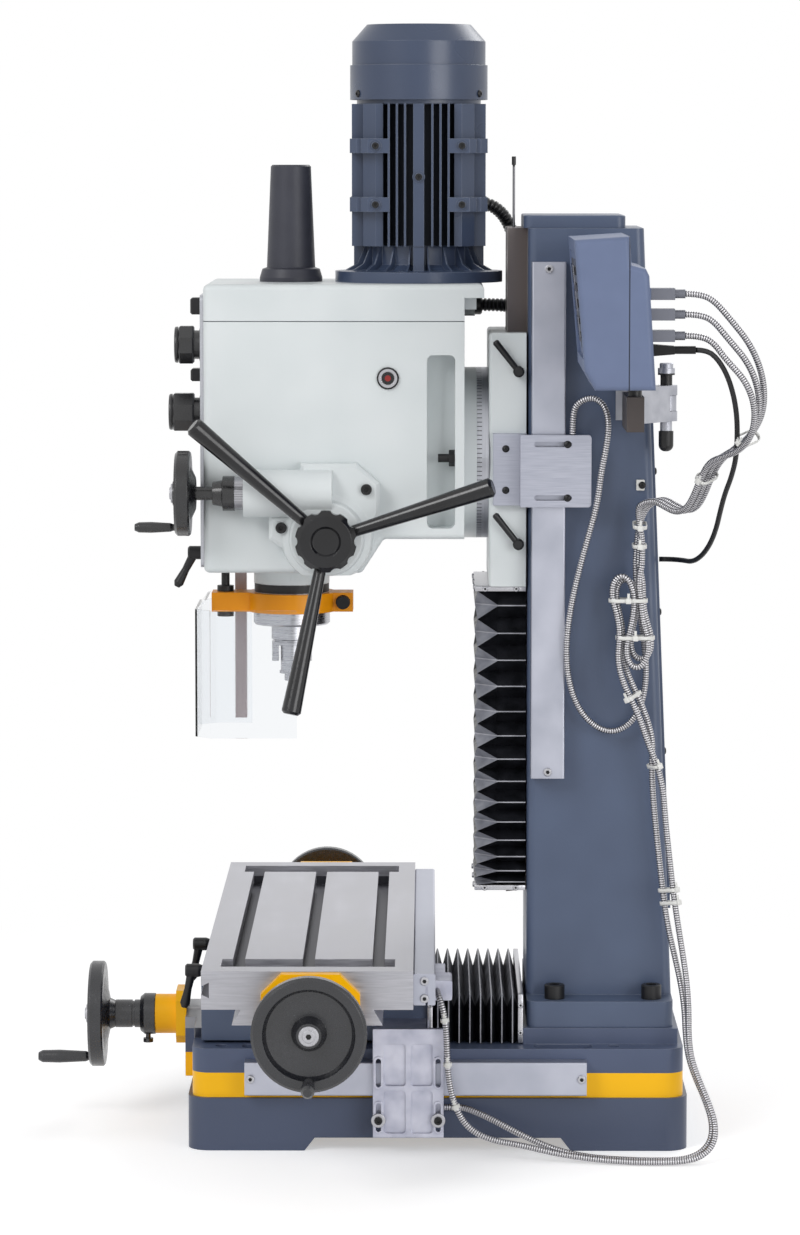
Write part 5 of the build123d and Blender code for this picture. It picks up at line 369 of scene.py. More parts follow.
fan_enamel = cast_enamel("blue-grey enamel on pressed steel", "#3D4961", "#38435A", 0.3, MOTOR_EDGE, 0.35)
head_enamel = cast_enamel("off-white enamel on cast iron", *WHITE, edge=WHITE_EDGE)
yellow_enamel = cast_enamel("yellow enamel on cast iron", *YELLOW, edge="#FFD24A", shine=0.3)
scale_aluminium = worked_metal("brushed anodised aluminium", "#A7AAB6", "#BABCC7", 0.42, (0.9, 60, 60), 0.006)
turned_steel = worked_metal("turned steel", "#A9A9AD", "#C9C9CE", 0.27, (40, 40, 0.7))
plain_steel = worked_metal("zinc plated steel", "#A9A9AD", "#C4C4C9", 0.32, (0.9, 0.9, 0.9))
screw_steel = worked_metal("rolled steel screw", "#8B8A8C", "#A9A8AA", 0.32, (0.8, 40, 40))
armour = worked_metal("bright wound steel armour", "#B4B3B6", "#CFCED1", 0.32, (1.0, 1.0, 1.0), 0.004)
# The gap between the armour's turns is darker: painted shade in the groove.
armour_gap_shade = blasted_metal("painted shade in the gap between the armour's turns", "#4C4B4F", "#5D5C60", 0.5, 0.8, 0.004)
black_oxide_and_socket_shade = moulded("black oxide on steel, and painted shade in plated sockets", "#0C0C0E", "#242428", 0.4, 0.9, 0.006, 0.4)
black_gloss = moulded("black gloss enamel", "#0A0A0C", "#24252B", 0.18, 4.0, 0.003)
wheel_gloss = moulded("black gloss enamel on a dished wheel", "#16171C", "#2C2D34", 0.26, 5.0, 0.003, 0.8)
black_moulding = moulded("moulded black nylon", "#0E0E10", "#2A2A2F", 0.38, 0.9, 0.012, 0.4)
knob_moulding = moulded("moulded black phenolic", "#0C0C0F", "#2A2A31", 0.3, 0.9, 0.01, 0.8)
grey_moulding = moulded("moulded dark grey ABS", "#34353E", "#494B55", 0.44, 0.9, 0.02, 0.35)
keypad_abs = moulded("moulded grey keys", "#4E5464", "#666C7D", 0.5, 0.9, 0.02, 0.25)
window_acrylic = moulded("smoked acrylic window", "#050506", "#101114", 0.1, 4.0, 0.003)
black_rubber = moulded("black rubber", "#0C0C0E", "#222226", 0.5, 1.2, 0.04)
tie_nylon = moulded("natural nylon tie", "#E2E2DE", "#F0F0EE", 0.4, 1.0, 0.02)
conduit_nylon = moulded("corrugated black nylon", "#141417", "#4B4B52", 0.3, 0.9, 0.01)
# The corrugations' grooves are painted near black: painted shade.
conduit_groove_shade = moulded("painted shade in the groove of the corrugated nylon", "#050506", "#0C0C0E", 0.5, 0.9, 0.01)
bellows_black = coated_cloth("black coated bellows cloth", "#0C0D10", "#1C1D22", 0.34)
# The pleats' cut corners are pale grey: a painted highlight on the glossy black cloth.
bellows_corner_highlight = coated_cloth("painted highlight on the pleats' cut corners", "#74767F", "#9698A0", 0.4)
# The roof's paler grey is partly dust and partly painted light from above on the black cloth.
bellows_roof_dust_and_light = coated_cloth("dusty roof of the bellows, paler with painted light", "#3E3F45", "#808187", 0.5)
# The pleats' welded edges are pale: a painted highlight along the crests.
bellows_edge_highlight = coated_cloth("painted highlight along a pleat's welded edge", "#8A8B92", "#ADAEB5", 0.36)

NODE_FINISH = {
    "base_casting": patched(
        cast_enamel("blue-grey enamel on cast iron, yellow band", "#535D76", "#4C566E", shine=0.35),
        # The foot below the yellow band is painted a darker blue-grey, though it is the same enamel: painted
        # shade.
        ([layer(-1, BAND[0])], ("#4A5369", 0.0, 0.34)),
        ([layer(*BAND)], (YELLOW[0], 0.0, 0.36)),
        ([inside(*BASE_WAYS)], SCRAPED)),
    "column_casting": patched(
        cast_enamel("blue-grey enamel on cast iron, oiled way", *GREY),
        ([inside(*COLUMN_WAY)], ("#817977", 0.1, 0.4))),
    "column_cap": patched(
        cast_enamel("blue-grey enamel, bright stop rod", *GREY),
        ([inside(*STOP_ROD)], ("#77777B", 1.0, 0.35)),
        ([inside(*STOP_TIP)], BLACK)),
    "column_covers": cast_enamel("blue-grey enamel on sheet steel", *GREY, gloss=0.42),
    "reader_brackets": blasted_metal("cast aluminium", "#A8AABA", "#C6C7D3", 0.46, 1.0, 0.06),
    "z_reader_bracket": worked_metal("milled aluminium", "#A1A4B1", "#B5B7C2", 0.4, (0.9, 30, 0.9), 0.008),
    "dro_mount": patched(
        blasted_metal("cast aluminium with black nylon knobs", "#A9ABB3", "#C3C4CB", 0.44, 1.0, 0.05),
        ([round_part(2, MOUNT_KNOB_AXIS, 0, MOUNT_KNOB_R, (None, None, low), (None, None, high))
          for low, high in MOUNT_KNOBS], BLACK_NYLON)),
    "dro_arm": patched(
        blasted_metal("cast aluminium and a brown square tube", "#A9ABB3", "#C3C4CB", 0.44, 1.0, 0.05),
        ([inside(*ARM_TUBE)], ("#453E3C", 0.2, 0.42)),
        ([inside(*ARM_KNOB)], BLACK_NYLON)),
    "dro_console": patched(
        moulded("moulded lavender grey ABS", "#66728F", "#7380A0", 0.46, 0.9, 0.025, 0.3),
        ([inside(*CONSOLE_GAP)], ("#2B303F", 0.0, 0.5)),
        ([inside(*PLUGS)], ("#74767F", 0.7, 0.36)),
        ([inside(*POWER_PLUG)], BLACK_NYLON)),
    "z_slide_casting": patched(
        cast_enamel("off-white enamel on a scraped slide", *WHITE, edge=WHITE_EDGE),
        ([inside(*box) for box in SLIDE_WAYS], SCRAPED)),
    "saddle_casting": patched(
        cast_enamel("blue-grey enamel on a scraped saddle", *GREY),
        ([inside(*box) for box in SADDLE_WAYS], SCRAPED)),
    "feed_nuts": blasted_metal("cast bronze", "#8E6A3A", "#A87F48", 0.4, 0.8, 0.03),
    "table_casting": patched(
        worked_metal("ground cast iron", "#A8A8AE", "#BABAC0", 0.38, (160, 30, 1.6), 0.006),
        # Painted shade: the T-slots' insides darker than the ground top.
        ([inside((-SLOT_END, y - SLOT_HALF, SLOT_HEIGHTS[0]), (SLOT_END, y + SLOT_HALF, SLOT_HEIGHTS[1]))
          for y in SLOT_Y], ("#4E4E54", 1.0, 0.45))),
    "swivel_ring": patched(
        worked_metal("satin steel ring, graduated", "#A7A9B0", "#BCBEC4", 0.36, (40, 0.7, 40)),
        ([marks((0, 0, SWIVEL_Z), *RING_MARKS, *RING_EDGE)], ("#17181B", 0.0, 0.5))),
    "head_lid": patched(
        cast_enamel("off-white enamel on cast aluminium", *WHITE, edge=WHITE_EDGE),
        ([inside(*LID_GLAND)], GLAND),
        ([layer(*LID_SEAM)], ("#5A6066", 0.0, 0.5))),
    "front_panel": patched(
        worked_metal("brushed aluminium panel", "#A6A8AE", "#C4C6CC", 0.36, (70, 0.7, 0.7)),
        ([inside(*SWITCHES)], ("#131316", 0.0, 0.4))),
    "sight_glass": patched(
        moulded("black sight glass with a red float", "#0C0C0E", "#2A2A30", 0.25, 0.9, 0.01),
        ([round_part(0, SIGHT, *SIGHT_RIM)], ("#B4B4B8", 1.0, 0.25)),
        ([round_part(0, SIGHT, 0, FLOAT_R)], ("#8E1F1B", 0.0, 0.2))),
    "motor_housing": patched(
        cast_enamel("blue-grey enamel on finned aluminium", "#424E66", "#3C4860", 0.3, MOTOR_EDGE, 0.4),
        # Painted shade: near black between the fins.
        ([round_part(2, (0, MOTOR_Y, 0), 0, FIN_ROOT_R, *FIN_ROOTS)], ("#161C28", 0.0, 0.7)),
        ([inside(*MOTOR_GLAND)], GLAND)),
    "fine_feed_wheel": patched(
        moulded("black gloss enamel, satin chrome dial", "#0A0A0C", "#24252B", 0.24, 4.0, 0.006, 0.8),
        ([round_part(1, FINE_AXIS, *FINE_DIAL_R, *FINE_DIAL)], ("#B8B8BD", 1.0, 0.3)),
        ([marks(FINE_AXIS, *FINE_MARKS, *FINE_DIAL)], ("#1B1B1E", 0.0, 0.5))),
    "quill": patched(
        worked_metal("turned steel, dark band below the head", "#A9A9AD", "#C9C9CE", 0.27, (40, 40, 0.7)),
        # The quill is painted near black in a band just below the head.
        ([layer(*QUILL_DARK_BAND)], ("#0D0D0F", 0.0, 0.5))),
    "quill_clamp": patched(
        cast_enamel("amber enamel on cast iron, black screw", "#EE9A0C", "#E08C0A",
                    edge="#FFC25C", shine=0.3),
        ([round_part(0, CLAMP_SCREW_AXIS, 0, CLAMP_SCREW_R, *CLAMP_SCREW)], BLACK)),
    "guard_bar": worked_metal("brown anodised bar", "#9A9092", "#ADA3A4", 0.38, (0.8, 0.8, 60)),
    "guard_shield": clear_sheet("clear polycarbonate", "#F6F8FA", 0.03),
}
SHARED_FINISH = (
    (black_oxide_and_socket_shade, ("column_bolts", "depth_stop")),
    (scale_aluminium, ("frame_scales", "x_scale")),
    (screw_steel, ("x_leadscrew", "y_leadscrew", "z_leadscrew")),
    (turned_steel, ("motor_rotor", "countershaft", "spindle_gear", "spindle", "shell_mill_arbor")),
    (black_gloss, ("z_crank", "capstan_hub", "capstan_levers")),
    (wheel_gloss, ("x_handwheels", "y_handwheel")),
    (black_moulding, ("table_lock_lever_near", "table_lock_lever_far", "z_lock_lever_upper",
                      "z_lock_lever_lower", "quill_lock_lever")),
    (knob_moulding, ("speed_knob_upper", "speed_knob_lower")),
    (grey_moulding, ("drawbar_cover",)),
    (yellow_enamel, ("table_end_brackets", "y_feed_bracket")),
    (head_enamel, ("head_casting", "feed_cover")),
    (fan_enamel, ("motor_fan_cover",)),
)
for finish, nodes in SHARED_FINISH:
    for node in nodes:
        NODE_FINISH[node] = finish
for node, material in NODE_FINISH.items():
    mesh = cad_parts[node].data
    mesh.materials.clear()
    mesh.materials.append(material)

# Cords: radii, the armour's and the conduits' ribs, and the sides of their rings
LEAD_R = 3.75
LEAD_PITCH = 11
LEAD_SIDES = 12
ARMOUR_PITCH = 2.8
ARMOUR_DEPTH = 0.55
POWER_R = 3
POWER_SIDES = 14
POWER_STEP = 6
CONDUIT_R = 8
CONDUIT_SIDES = 20
CONDUIT_PITCH = 5
CONDUIT_DEPTH = 1.5
# One rib as shares of its pitch and of its depth, and the share of the depth past which it is groove
RIB = [(0.0, 1.0), (0.16, 0.9), (0.24, 0.25), (0.4, 0.0), (0.7, 0.0), (0.86, 0.25), (0.94, 0.9)]
GROOVE = 0.55

# The tie on the column that the console's leads end at, each lead's step there, and the joint's half gap
TIE = (126, 257, 690)
TIE_STEP = 3
TIE_SLIDE = 0.15
# Sockets on the console's rear, and a lead's first points from its socket's axis
CONSOLE_TOP = 1079
SOCKET_X = 350
SOCKET_DROPS = (65, 88, 112)
SOCKET_RUN = [(0, 301.3, 0), (0, 315, 0), (-2, 332, -6)]
# Points over which the leads draw apart, come level and turn to the tie
SPREAD_POINTS = 4
LEVEL_POINTS = 6
TURN_FROM = 14
TURN_POINTS = 3
TURN_DEPTH = 10


def smooth_line(name, route):
    """Points read from the NURBS spline that a route's points control, in metres."""
    curve = bpy.data.curves.new(name + "_line", "CURVE")
    curve.dimensions = "3D"
    spline = curve.splines.new("NURBS")
    spline.points.add(len(route) - 1)
    for point, place in zip(spline.points, route):
        point.co = [c * MM for c in place] + [1.0]
    spline.order_u = 3
    spline.use_endpoint_u = True
    spline.resolution_u = 12
    holder = bpy.data.objects.new(name + "_line", curve)
    mesh = bpy.data.meshes.new_from_object(holder)
    line = [vertex.co.copy() for vertex in mesh.vertices]
    bpy.data.meshes.remove(mesh)
    bpy.data.objects.remove(holder)
    bpy.data.curves.remove(curve)
    return line


def line_length(line):
    """Length of a line of points, in metres."""
    return sum((b - a).length for a, b in zip(line, line[1:]))


def stations(line, distances):
    """Places and directions on a line at rising distances from its start."""
    found = []
    step = 0
    passed = 0.0
    for distance in distances:
        while step < len(line) - 2 and passed + (line[step + 1] - line[step]).length < distance:
            passed += (line[step + 1] - line[step]).length
            step += 1
        run = line[step + 1] - line[step]
        found.append((line[step] + run.normalized() * (distance - passed), run.normalized()))
    return found


def tube(name, line, distances, radii, sides, materials, groove):
    """A closed tube round a line, with a radius at each of its distances.
    Rings below the groove's radius take the second finish, which paints shade into the groove."""
    verts = []
    across = None
    for (place, along), radius in zip(stations(line, distances), radii):
        if across is None:
            across = along.orthogonal().normalized()
        across = (across - along * across.dot(along)).normalized()
        other = along.cross(across)
        for side in range(sides):
            turn = 2 * pi * side / sides
            verts.append(place + (across * cos(turn) + other * sin(turn)) * radius)
    faces = []
    kinds = []
    for ring in range(len(radii) - 1):
        sunk = (radii[ring] + radii[ring + 1]) / 2 < groove
        for side in range(sides):
            a = ring * sides + side
            b = ring * sides + (side + 1) % sides
            faces.append((a, b, b + sides, a + sides))
            kinds.append(int(sunk))
    faces.append(tuple(range(sides))[::-1])
    faces.append(tuple(range(len(verts) - sides, len(verts))))
    mesh = bpy.data.meshes.new(name)
    mesh.from_pydata(verts, [], faces)
    mesh.polygons.foreach_set("use_smooth", [True] * (len(faces) - 2) + [False, False])
    for material in materials:
        mesh.materials.append(material)
    mesh.polygons.foreach_set("material_index", kinds + [0, 0])
    piece = bpy.data.objects.new(name, mesh)
    bpy.context.collection.objects.link(piece)
    return piece


def ribbed(name, line, radius, pitch, depth, sides, materials):
    """A wound or corrugated tube: round ribs one after the other, with a groove between two painted dark as
    shade.
    """
    length = line_length(line)
    count = max(1, round(length / (pitch * MM)))
    distances = []
    radii = []
    for rib in range(count):
        for share, sunk in RIB:
            distances.append((rib + share) * length / count)
            radii.append((radius - depth * sunk) * MM)
    distances.append(length)
    radii.append((radius - depth) * MM)
    return tube(name, line, distances, radii, sides, materials, (radius - depth * GROOVE) * MM)


def plain(name, line, radius, sides, material):
    """A smooth round cord."""
    length = line_length(line)
    count = max(2, round(length / (POWER_STEP * MM)))
    distances = [length * step / count for step in range(count + 1)]
    return tube(name, line, distances, [radius * MM] * (count + 1), sides, [material], 0.0)


def tie_point(lead, side):
    """Where a lead crosses from the console's part to its own at the tie, on either side of the joint."""
    return (TIE[0] + LEAD_PITCH * lead, TIE[1] + TIE_STEP * lead, TIE[2] + TIE_SLIDE * side)


# Routes, as the points that control each cord's line
UPPER_TURN = [
    (346, 350, 988), (338, 377, 955), (322, 392, 917), (300, 394, 879), (277, 382, 851), (254, 364, 834),
    (234, 349, 819), (217, 340, 799), (203, 333, 777), (190, 325, 761), (176, 314, 756), (162, 301, 762),
    (153, 292, 767), (143, 283, 766), (135, 273, 761), (130, 266, 751), (127, 261, 736), (126, 258, 715),
]
POWER_TURN = [
    (350, 313.3, 951), (350, 326, 951), (348, 338, 941), (343, 349, 923), (333, 357, 900), (317, 362, 876),
    (298, 364, 850), (279, 364, 824), (259, 360, 801), (240, 354, 781), (221, 350, 759), (201, 347, 738),
    (179, 342, 719), (156, 335, 704), (133, 328, 695), (112, 322, 691), (90, 317, 690.3), (74, 308, 690),
    (68, 298, 690), (68, 287.4, 690),
]
# Spare length of the table's two leads, folded to and fro below the tie, as (y, z)
X_FOLD = [
    (263, 674), (264.5, 657), (267, 640), (270, 623), (276, 608), (279, 593), (275, 578), (265, 569),
    (253, 570), (245, 580), (244, 595), (249, 611), (254, 628), (256, 645), (254, 661), (247, 673),
    (236, 678), (226, 673), (221, 662), (223, 647), (229, 632), (233, 616), (233, 600), (231, 584),
    (233, 568), (239, 552), (248, 537), (258, 521), (268, 504), (276, 485),
]
Y_FOLD = [
    (260, 672), (260.5, 654), (262, 637), (267, 621), (273, 607), (274, 592), (268, 581), (257, 577),
    (246, 582), (241, 594), (243, 609), (248, 625), (250, 641), (249, 656), (243, 668), (233, 673),
    (223, 669), (218, 658), (220, 643), (225, 628), (229, 613), (229, 597), (230, 581), (235, 565),
    (243, 550), (253, 534), (263, 517), (271, 499), (277, 480),
]
FALL = [
    (132, 286, 435), (131, 290, 386), (131, 295, 341), (132, 300, 298), (135, 306, 258), (141, 312, 222),
    (151, 316, 191), (165, 317, 164), (181, 316, 140), (197, 318, 116), (212, 326, 93), (226, 337, 69),
    (238, 345, 45), (247, 343, 24), (254, 330, 11),
]
X_FLOOR = [
    (270, 313, 5.5), (272, 279, 4.3), (269, 239, 4.6), (263, 199, 7), (257, 159, 12), (251, 122, 20),
    (245, 84, 25), (239, 59, 38), (237, 45, 60), (236, 37, 91), (236, 35, 122), (236, 34, 152),
    (235, 31, 174), (231, 27, 187), (221, 24, 194), (205.3, 24, 194),
]
Y_FLOOR = [
    (260, 310, 5), (261, 277, 4.2), (257, 238, 4.5), (251, 200, 6), (244, 165, 12), (236, 136, 22),
    (227, 111, 33), (218, 89, 43), (209, 70, 50), (202, 57, 53.5), (199, 46, 54), (199, 31.3, 54),
]
Z_LOOP = [
    (133, 182, 842.3), (133, 182, 857), (133, 184, 873), (135, 190, 881), (138, 202, 886), (141, 213, 883),
    (144, 221, 872), (145, 224, 853), (145, 221, 828), (144, 215, 798), (144, 211, 762), (143, 200, 722),
    (141, 189, 680), (138, 180, 638), (135, 175, 596), (132, 177, 557), (128, 187, 523), (124, 205, 499),
    (120, 228, 488), (117, 250, 496), (116, 265, 519), (116, 271, 554), (118, 268, 595), (122, 262, 632),
    (126, 257.5, 662),
]
MOTOR_UPPER = [
    (-100.5, 46.3, 1112), (-100.5, 77, 1112), (-103, 97, 1104), (-110, 111, 1086), (-118, 119, 1060),
    (-125, 121, 1026), (-130, 119, 986), (-133, 116, 942), (-134, 112, 896),
]
MOTOR_LOWER = [
    (-134, 112, 896), (-134, 109, 850), (-133, 108, 808), (-132, 113, 773), (-131, 134, 740),
    (-131, 168, 725), (-131, 207.7, 725),
]
HEAD_UPPER = [
    (-95, 69.3, 987), (-95, 98, 987), (-101, 114, 985), (-112, 128, 977), (-122, 138, 960),
    (-128, 143, 937), (-131, 144, 910),
]
HEAD_LOWER = [
    (-131, 144, 910), (-132, 141, 881), (-132, 138, 855), (-131, 140, 831), (-131, 154, 809),
    (-131, 178, 800), (-131, 207.7, 800),
]
# The folds are drawn in by their ties: a share of their width, from one middle line to another
DRAWN_IN = 0.75
X_FOLD_MIDDLES = (250, 250)
Y_FOLD_MIDDLES = (247, 255)
# Below the folds the Y lead hangs before the X lead, and comes level with it near the floor
HANG_STEP = 9
HANG_FROM = 150
HANG_OVER = 100


def upper_lead(lead):
    """Route of one armoured lead from its console socket to the tie."""
    top = CONSOLE_TOP - SOCKET_DROPS[lead]
    route = [(SOCKET_X + x, y, top + z) for x, y, z in SOCKET_RUN]
    for step, (x, y, z) in enumerate(UPPER_TURN):
        share = min(1, (step + 1) / SPREAD_POINTS)
        fall = max(0, 1 - step / LEVEL_POINTS)
        fan = max(0, 1 - max(0, step - TURN_FROM) / TURN_POINTS)
        drop = (SOCKET_DROPS[lead] - SOCKET_DROPS[0]) * fall
        side = lead * (LEAD_PITCH + fan) * share
        back = lead * (TIE_STEP - TURN_DEPTH * fan) * share
        route.append((x + side, y + back, z - drop))
    return route + [tie_point(lead, 1)]


def folded(start, fold, middles):
    """A lead's route from the tie through its folds, in one plane across X."""
    before, after = middles
    return [start] + [(start[0], after + (y - before) * DRAWN_IN, z) for y, z in fold]


def hang(z):
    """How far the Y lead hangs before the X lead at a height."""
    return HANG_STEP * min(1, max(0, (z - HANG_FROM) / HANG_OVER))


def lay_cord(piece, node, bodies, span, route, line):
    """Bakes a cord's place into its mesh and hides the part that it replaces."""
    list(bodies)
    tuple(span[0])
    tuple(span[1])
    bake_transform(piece)
    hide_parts(node)
    exit_place = tuple(c * MM for c in route[0])
    round(line_length(line), 4)


# The armoured leads' lines by name, which their ties need
lines = {}


def armoured(name, lead, route, node, bodies, span):
    """An armoured lead; its line is kept for the ties."""
    lines[lead] = smooth_line(lead, route)
    finishes = [armour, armour_gap_shade]
    piece = ribbed(name, lines[lead], LEAD_R, ARMOUR_PITCH, ARMOUR_DEPTH, LEAD_SIDES, finishes)
    lay_cord(piece, node, bodies, span, route, lines[lead])


# Where a cord passes from one body's motion to the other's, in metres
SWING = ((0.335, 0.33, 0.95), (0.15, 0.29, 0.76))
ON_FLOOR = ((0.26, 0.31, 0.0), (0.26, 0.19, -0.06))
Z_HANG = ((0.126, 0.257, 0.690), (0.126, 0.2184, 0.6939))
for lead in range(3):
    name = "console_lead_%d" % (lead + 1)
    armoured(name, name, upper_lead(lead), "console_leads", ("dro", "frame"), SWING)

power_line = smooth_line("power", POWER_TURN)
power = plain("power_lead", power_line, POWER_R, POWER_SIDES, black_rubber)
lay_cord(power, "console_leads", ("dro", "frame"), SWING,
         POWER_TURN, power_line)

x_route = folded(tie_point(2, -1), X_FOLD, X_FOLD_MIDDLES)
x_route += [(x + LEAD_PITCH, y + TIE_STEP, z) for x, y, z in FALL] + X_FLOOR
y_route = folded(tie_point(1, -1), Y_FOLD, Y_FOLD_MIDDLES)
y_route += [(x, y - hang(z), z) for x, y, z in FALL] + Y_FLOOR
z_route = Z_LOOP + [tie_point(0, -1)]
armoured("x_lead_armour", "x_lead", x_route, "x_lead", ("frame", "saddle"), ON_FLOOR)
armoured("y_lead_armour", "y_lead", y_route, "y_lead", ("frame", "saddle"), ON_FLOOR)
armoured("z_lead_armour", "z_lead", z_route, "z_lead", ("frame", "z_slide"), Z_HANG)

# Each conduit's route, its two bodies, and its span in metres
CONDUITS = {
    "motor_hose_upper": (MOTOR_UPPER, ("z_slide", "head"), ((-0.134, 0.116, 0.93), (-0.110, 0.111, 1.086))),
    "motor_hose_lower": (MOTOR_LOWER, ("frame", "z_slide"), ((-0.131, 0.200, 0.725), (-0.132, 0.110, 0.80))),
    "head_hose_upper": (HEAD_UPPER, ("z_slide", "head"), ((-0.131, 0.144, 0.92), (-0.112, 0.128, 0.977))),
    "head_hose_lower": (HEAD_LOWER, ("frame", "z_slide"), ((-0.131, 0.200, 0.800), (-0.131, 0.140, 0.86))),
}
for name, (route, bodies, span) in CONDUITS.items():
    line = smooth_line(name, route)
    finishes = [conduit_nylon, conduit_groove_shade]
    hose = ribbed(name, line, CONDUIT_R, CONDUIT_PITCH, CONDUIT_DEPTH, CONDUIT_SIDES, finishes)
    lay_cord(hose, "conduits", bodies, span, route, line)

# Degrees: edges that turn by more are bevelled, and faces that meet at less are shaded smooth
SHARP = 40
SMOOTH = 35


# Shaping by hand: a primitive is started, shaped in edit mode and closed
def take_up(name):
    """The primitive just added, under its name, with all of it selected in edit mode."""
    piece = bpy.context.object
    piece.name = name
    bpy.ops.object.mode_set(mode="EDIT")
    bpy.ops.mesh.select_mode(type="VERT")
    bpy.ops.mesh.select_all(action="SELECT")
    return piece


def take_block(name, size, middle):
    """A block of a size about a middle, selected in edit mode."""
    bpy.ops.object.select_all(action="DESELECT")
    bpy.ops.mesh.primitive_cube_add(size=1, location=(0, 0, 0))
    piece = take_up(name)
    bpy.ops.transform.resize(value=[c * MM for c in size], center_override=(0, 0, 0))
    bpy.ops.transform.translate(value=[c * MM for c in middle])
    return piece


def put_down(piece):
    """Out of edit mode, with normals turned outwards and flat turns shaded smooth."""
    bpy.ops.mesh.select_all(action="SELECT")
    bpy.ops.mesh.normals_make_consistent(inside=False)
    bpy.ops.object.mode_set(mode="OBJECT")
    bpy.ops.object.shade_smooth_by_angle(angle=radians(SMOOTH))
    return piece


def choose_faces(piece, test):
    """In edit mode, selects the faces whose centre in millimetres and normal pass a test."""
    bpy.ops.mesh.select_mode(type="FACE")
    bpy.ops.mesh.select_all(action="DESELECT")
    bpy.ops.object.mode_set(mode="OBJECT")
    for face in piece.data.polygons:
        face.select = test(face.center / MM, face.normal)
    bpy.ops.object.mode_set(mode="EDIT")


def bevel_sharp(offset, segments):
    """In edit mode, bevels the sharp edges."""
    bpy.ops.mesh.select_mode(type="EDGE")
    bpy.ops.mesh.select_all(action="DESELECT")
    bpy.ops.mesh.edges_select_sharp(sharpness=radians(SHARP))
    bpy.ops.mesh.bevel(offset=offset * MM, segments=segments, affect="EDGES")


def thicken(piece, thickness, offset):
    """A wall given to an open skin, inwards (-1) or outwards (1)."""
    wall = piece.modifiers.new("wall", "SOLIDIFY")
    wall.thickness = thickness * MM
    wall.offset = offset
    bpy.ops.object.modifier_apply(modifier="wall")


def turned(name, profile, sides):
    """A round piece about Z from steps of (radius, height) in millimetres, foot first."""
    radius, height = profile[0]
    bpy.ops.object.select_all(action="DESELECT")
    bpy.ops.mesh.primitive_circle_add(
        vertices=sides, radius=radius * MM, fill_type="NGON", location=(0, 0, 0))
    piece = take_up(name)
    bpy.ops.transform.translate(value=(0, 0, height * MM))
    for wide, high in profile[1:]:
        bpy.ops.mesh.extrude_region_move(TRANSFORM_OT_translate={"value": (0, 0, (high - height) * MM)})
        share = wide / radius
        bpy.ops.transform.resize(value=(share, share, 1), center_override=(0, 0, high * MM))
        radius, height = wide, high
    return put_down(piece)


def slab(name, low, high, edge):
    """A block between two corners, with its edges rounded."""
    size = [b - a for a, b in zip(low, high)]
    piece = take_block(name, size, [(a + b) / 2 for a, b in zip(low, high)])
    bpy.ops.mesh.bevel(offset=edge * MM, segments=2, affect="EDGES")
    return put_down(piece)


def hexagon(model, reach):
    """Draws the rings of a turned model within a radius in to a hexagon, as a key's socket is."""
    for vertex in model.data.vertices:
        flat = Vector((vertex.co.x, vertex.co.y))
        if 0 < flat.length < reach * MM:
            turn = flat.angle_signed(Vector((1, 0))) % (pi / 3) - pi / 6
            share = cos(pi / 6) / cos(turn)
            vertex.co.x *= share
            vertex.co.y *= share


def join(name, pieces):
    """Several pieces made one, at the origin."""
    bpy.ops.object.select_all(action="DESELECT")
    for piece in pieces:
        piece.select_set(True)
    bpy.context.view_layer.objects.active = pieces[0]
    if len(pieces) > 1:
        bpy.ops.object.join()
    pieces[0].name = name
    return pieces[0]


# Small hardware: each kind is shaped once, kept under its name and copied to its places
models = {}


def screw(name, sides, profile, socket=0, head=None, dark_reach=0, dark_foot=-1):
    """A turned screw or washer with a key's socket. It is black, or has a head of another finish
    that is black within a radius and above a height."""
    model = turned(name, profile, sides)
    hexagon(model, socket)
    for material in [head, black_oxide_and_socket_shade] if head else [black_oxide_and_socket_shade]:
        model.data.materials.append(material)
    for face in model.data.polygons:
        centre = face.center / MM
        face.material_index = int(centre.xy.length < dark_reach and centre.z > dark_foot)
    models[name] = model


def block(name, low, high, edge, finish):
    """A rounded block of one finish."""
    models[name] = slab(name, low, high, edge)
    models[name].data.materials.append(finish)


def copy_to(kind, place, way, across=NEAR):
    """A copy of a model with its own mesh, at a place in millimetres, its top facing a way.
    Its own X follows a direction across that way as nearly as it can."""
    mesh = models[kind].data.copy()
    up = Vector(way).normalized()
    side = Vector(across if abs(up.x) < 0.95 else REAR)
    side = (side - up * side.dot(up)).normalized()
    turn = Matrix((side, up.cross(side), up)).transposed().to_4x4()
    mesh.transform(Matrix.Translation(Vector(place) * MM) @ turn)
    copy = bpy.data.objects.new(kind, mesh)
    bpy.context.collection.objects.link(copy)
    return copy


def set_down(name, body, slot, places):
    """Copies of models at their places, joined as one piece that rides on a body."""
    piece = join(name, [copy_to(*place) for place in places])
    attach(piece, body)


# On the plated heads of small_screw, bright_screw and hub_washer, black fills only the key's socket: painted
# shade.
screw("small_screw", 18, [(3.4, 0), (3.4, 1.5), (2.7, 2.2), (1.5, 2.2), (1.4, 1.0)], 2, plain_steel, 1.6)
screw("cap_screw", 24, [(6.5, 0), (6.5, 5.2), (5.8, 6), (3.2, 6), (3.0, 2.5)], 4)
screw("pad_screw", 24, [(7.5, 0), (7.5, 0.5), (4.6, 0.6), (4.6, 3.6), (4.1, 4.1), (2.3, 4.1), (2.1, 1.6)],
      3, fan_enamel, 4.2)
screw("bright_screw", 24, [(5, 0), (5, 2.6), (4.2, 3.4), (2.4, 3.4), (2.2, 1.2)], 3, plain_steel, 2.5)
screw("dome_screw", 20, [(4.4, 0), (4.3, 1.2), (3.4, 2.2), (1.8, 2.7), (1.6, 1.2)])
screw("hub_washer", 32,
      [(11.5, 0), (11.5, 1.6), (10.9, 2.2), (7.2, 2.2), (7.2, 3.4), (6.6, 4), (3.4, 4), (3.2, 1.8)],
      4, plain_steel, 3.6)
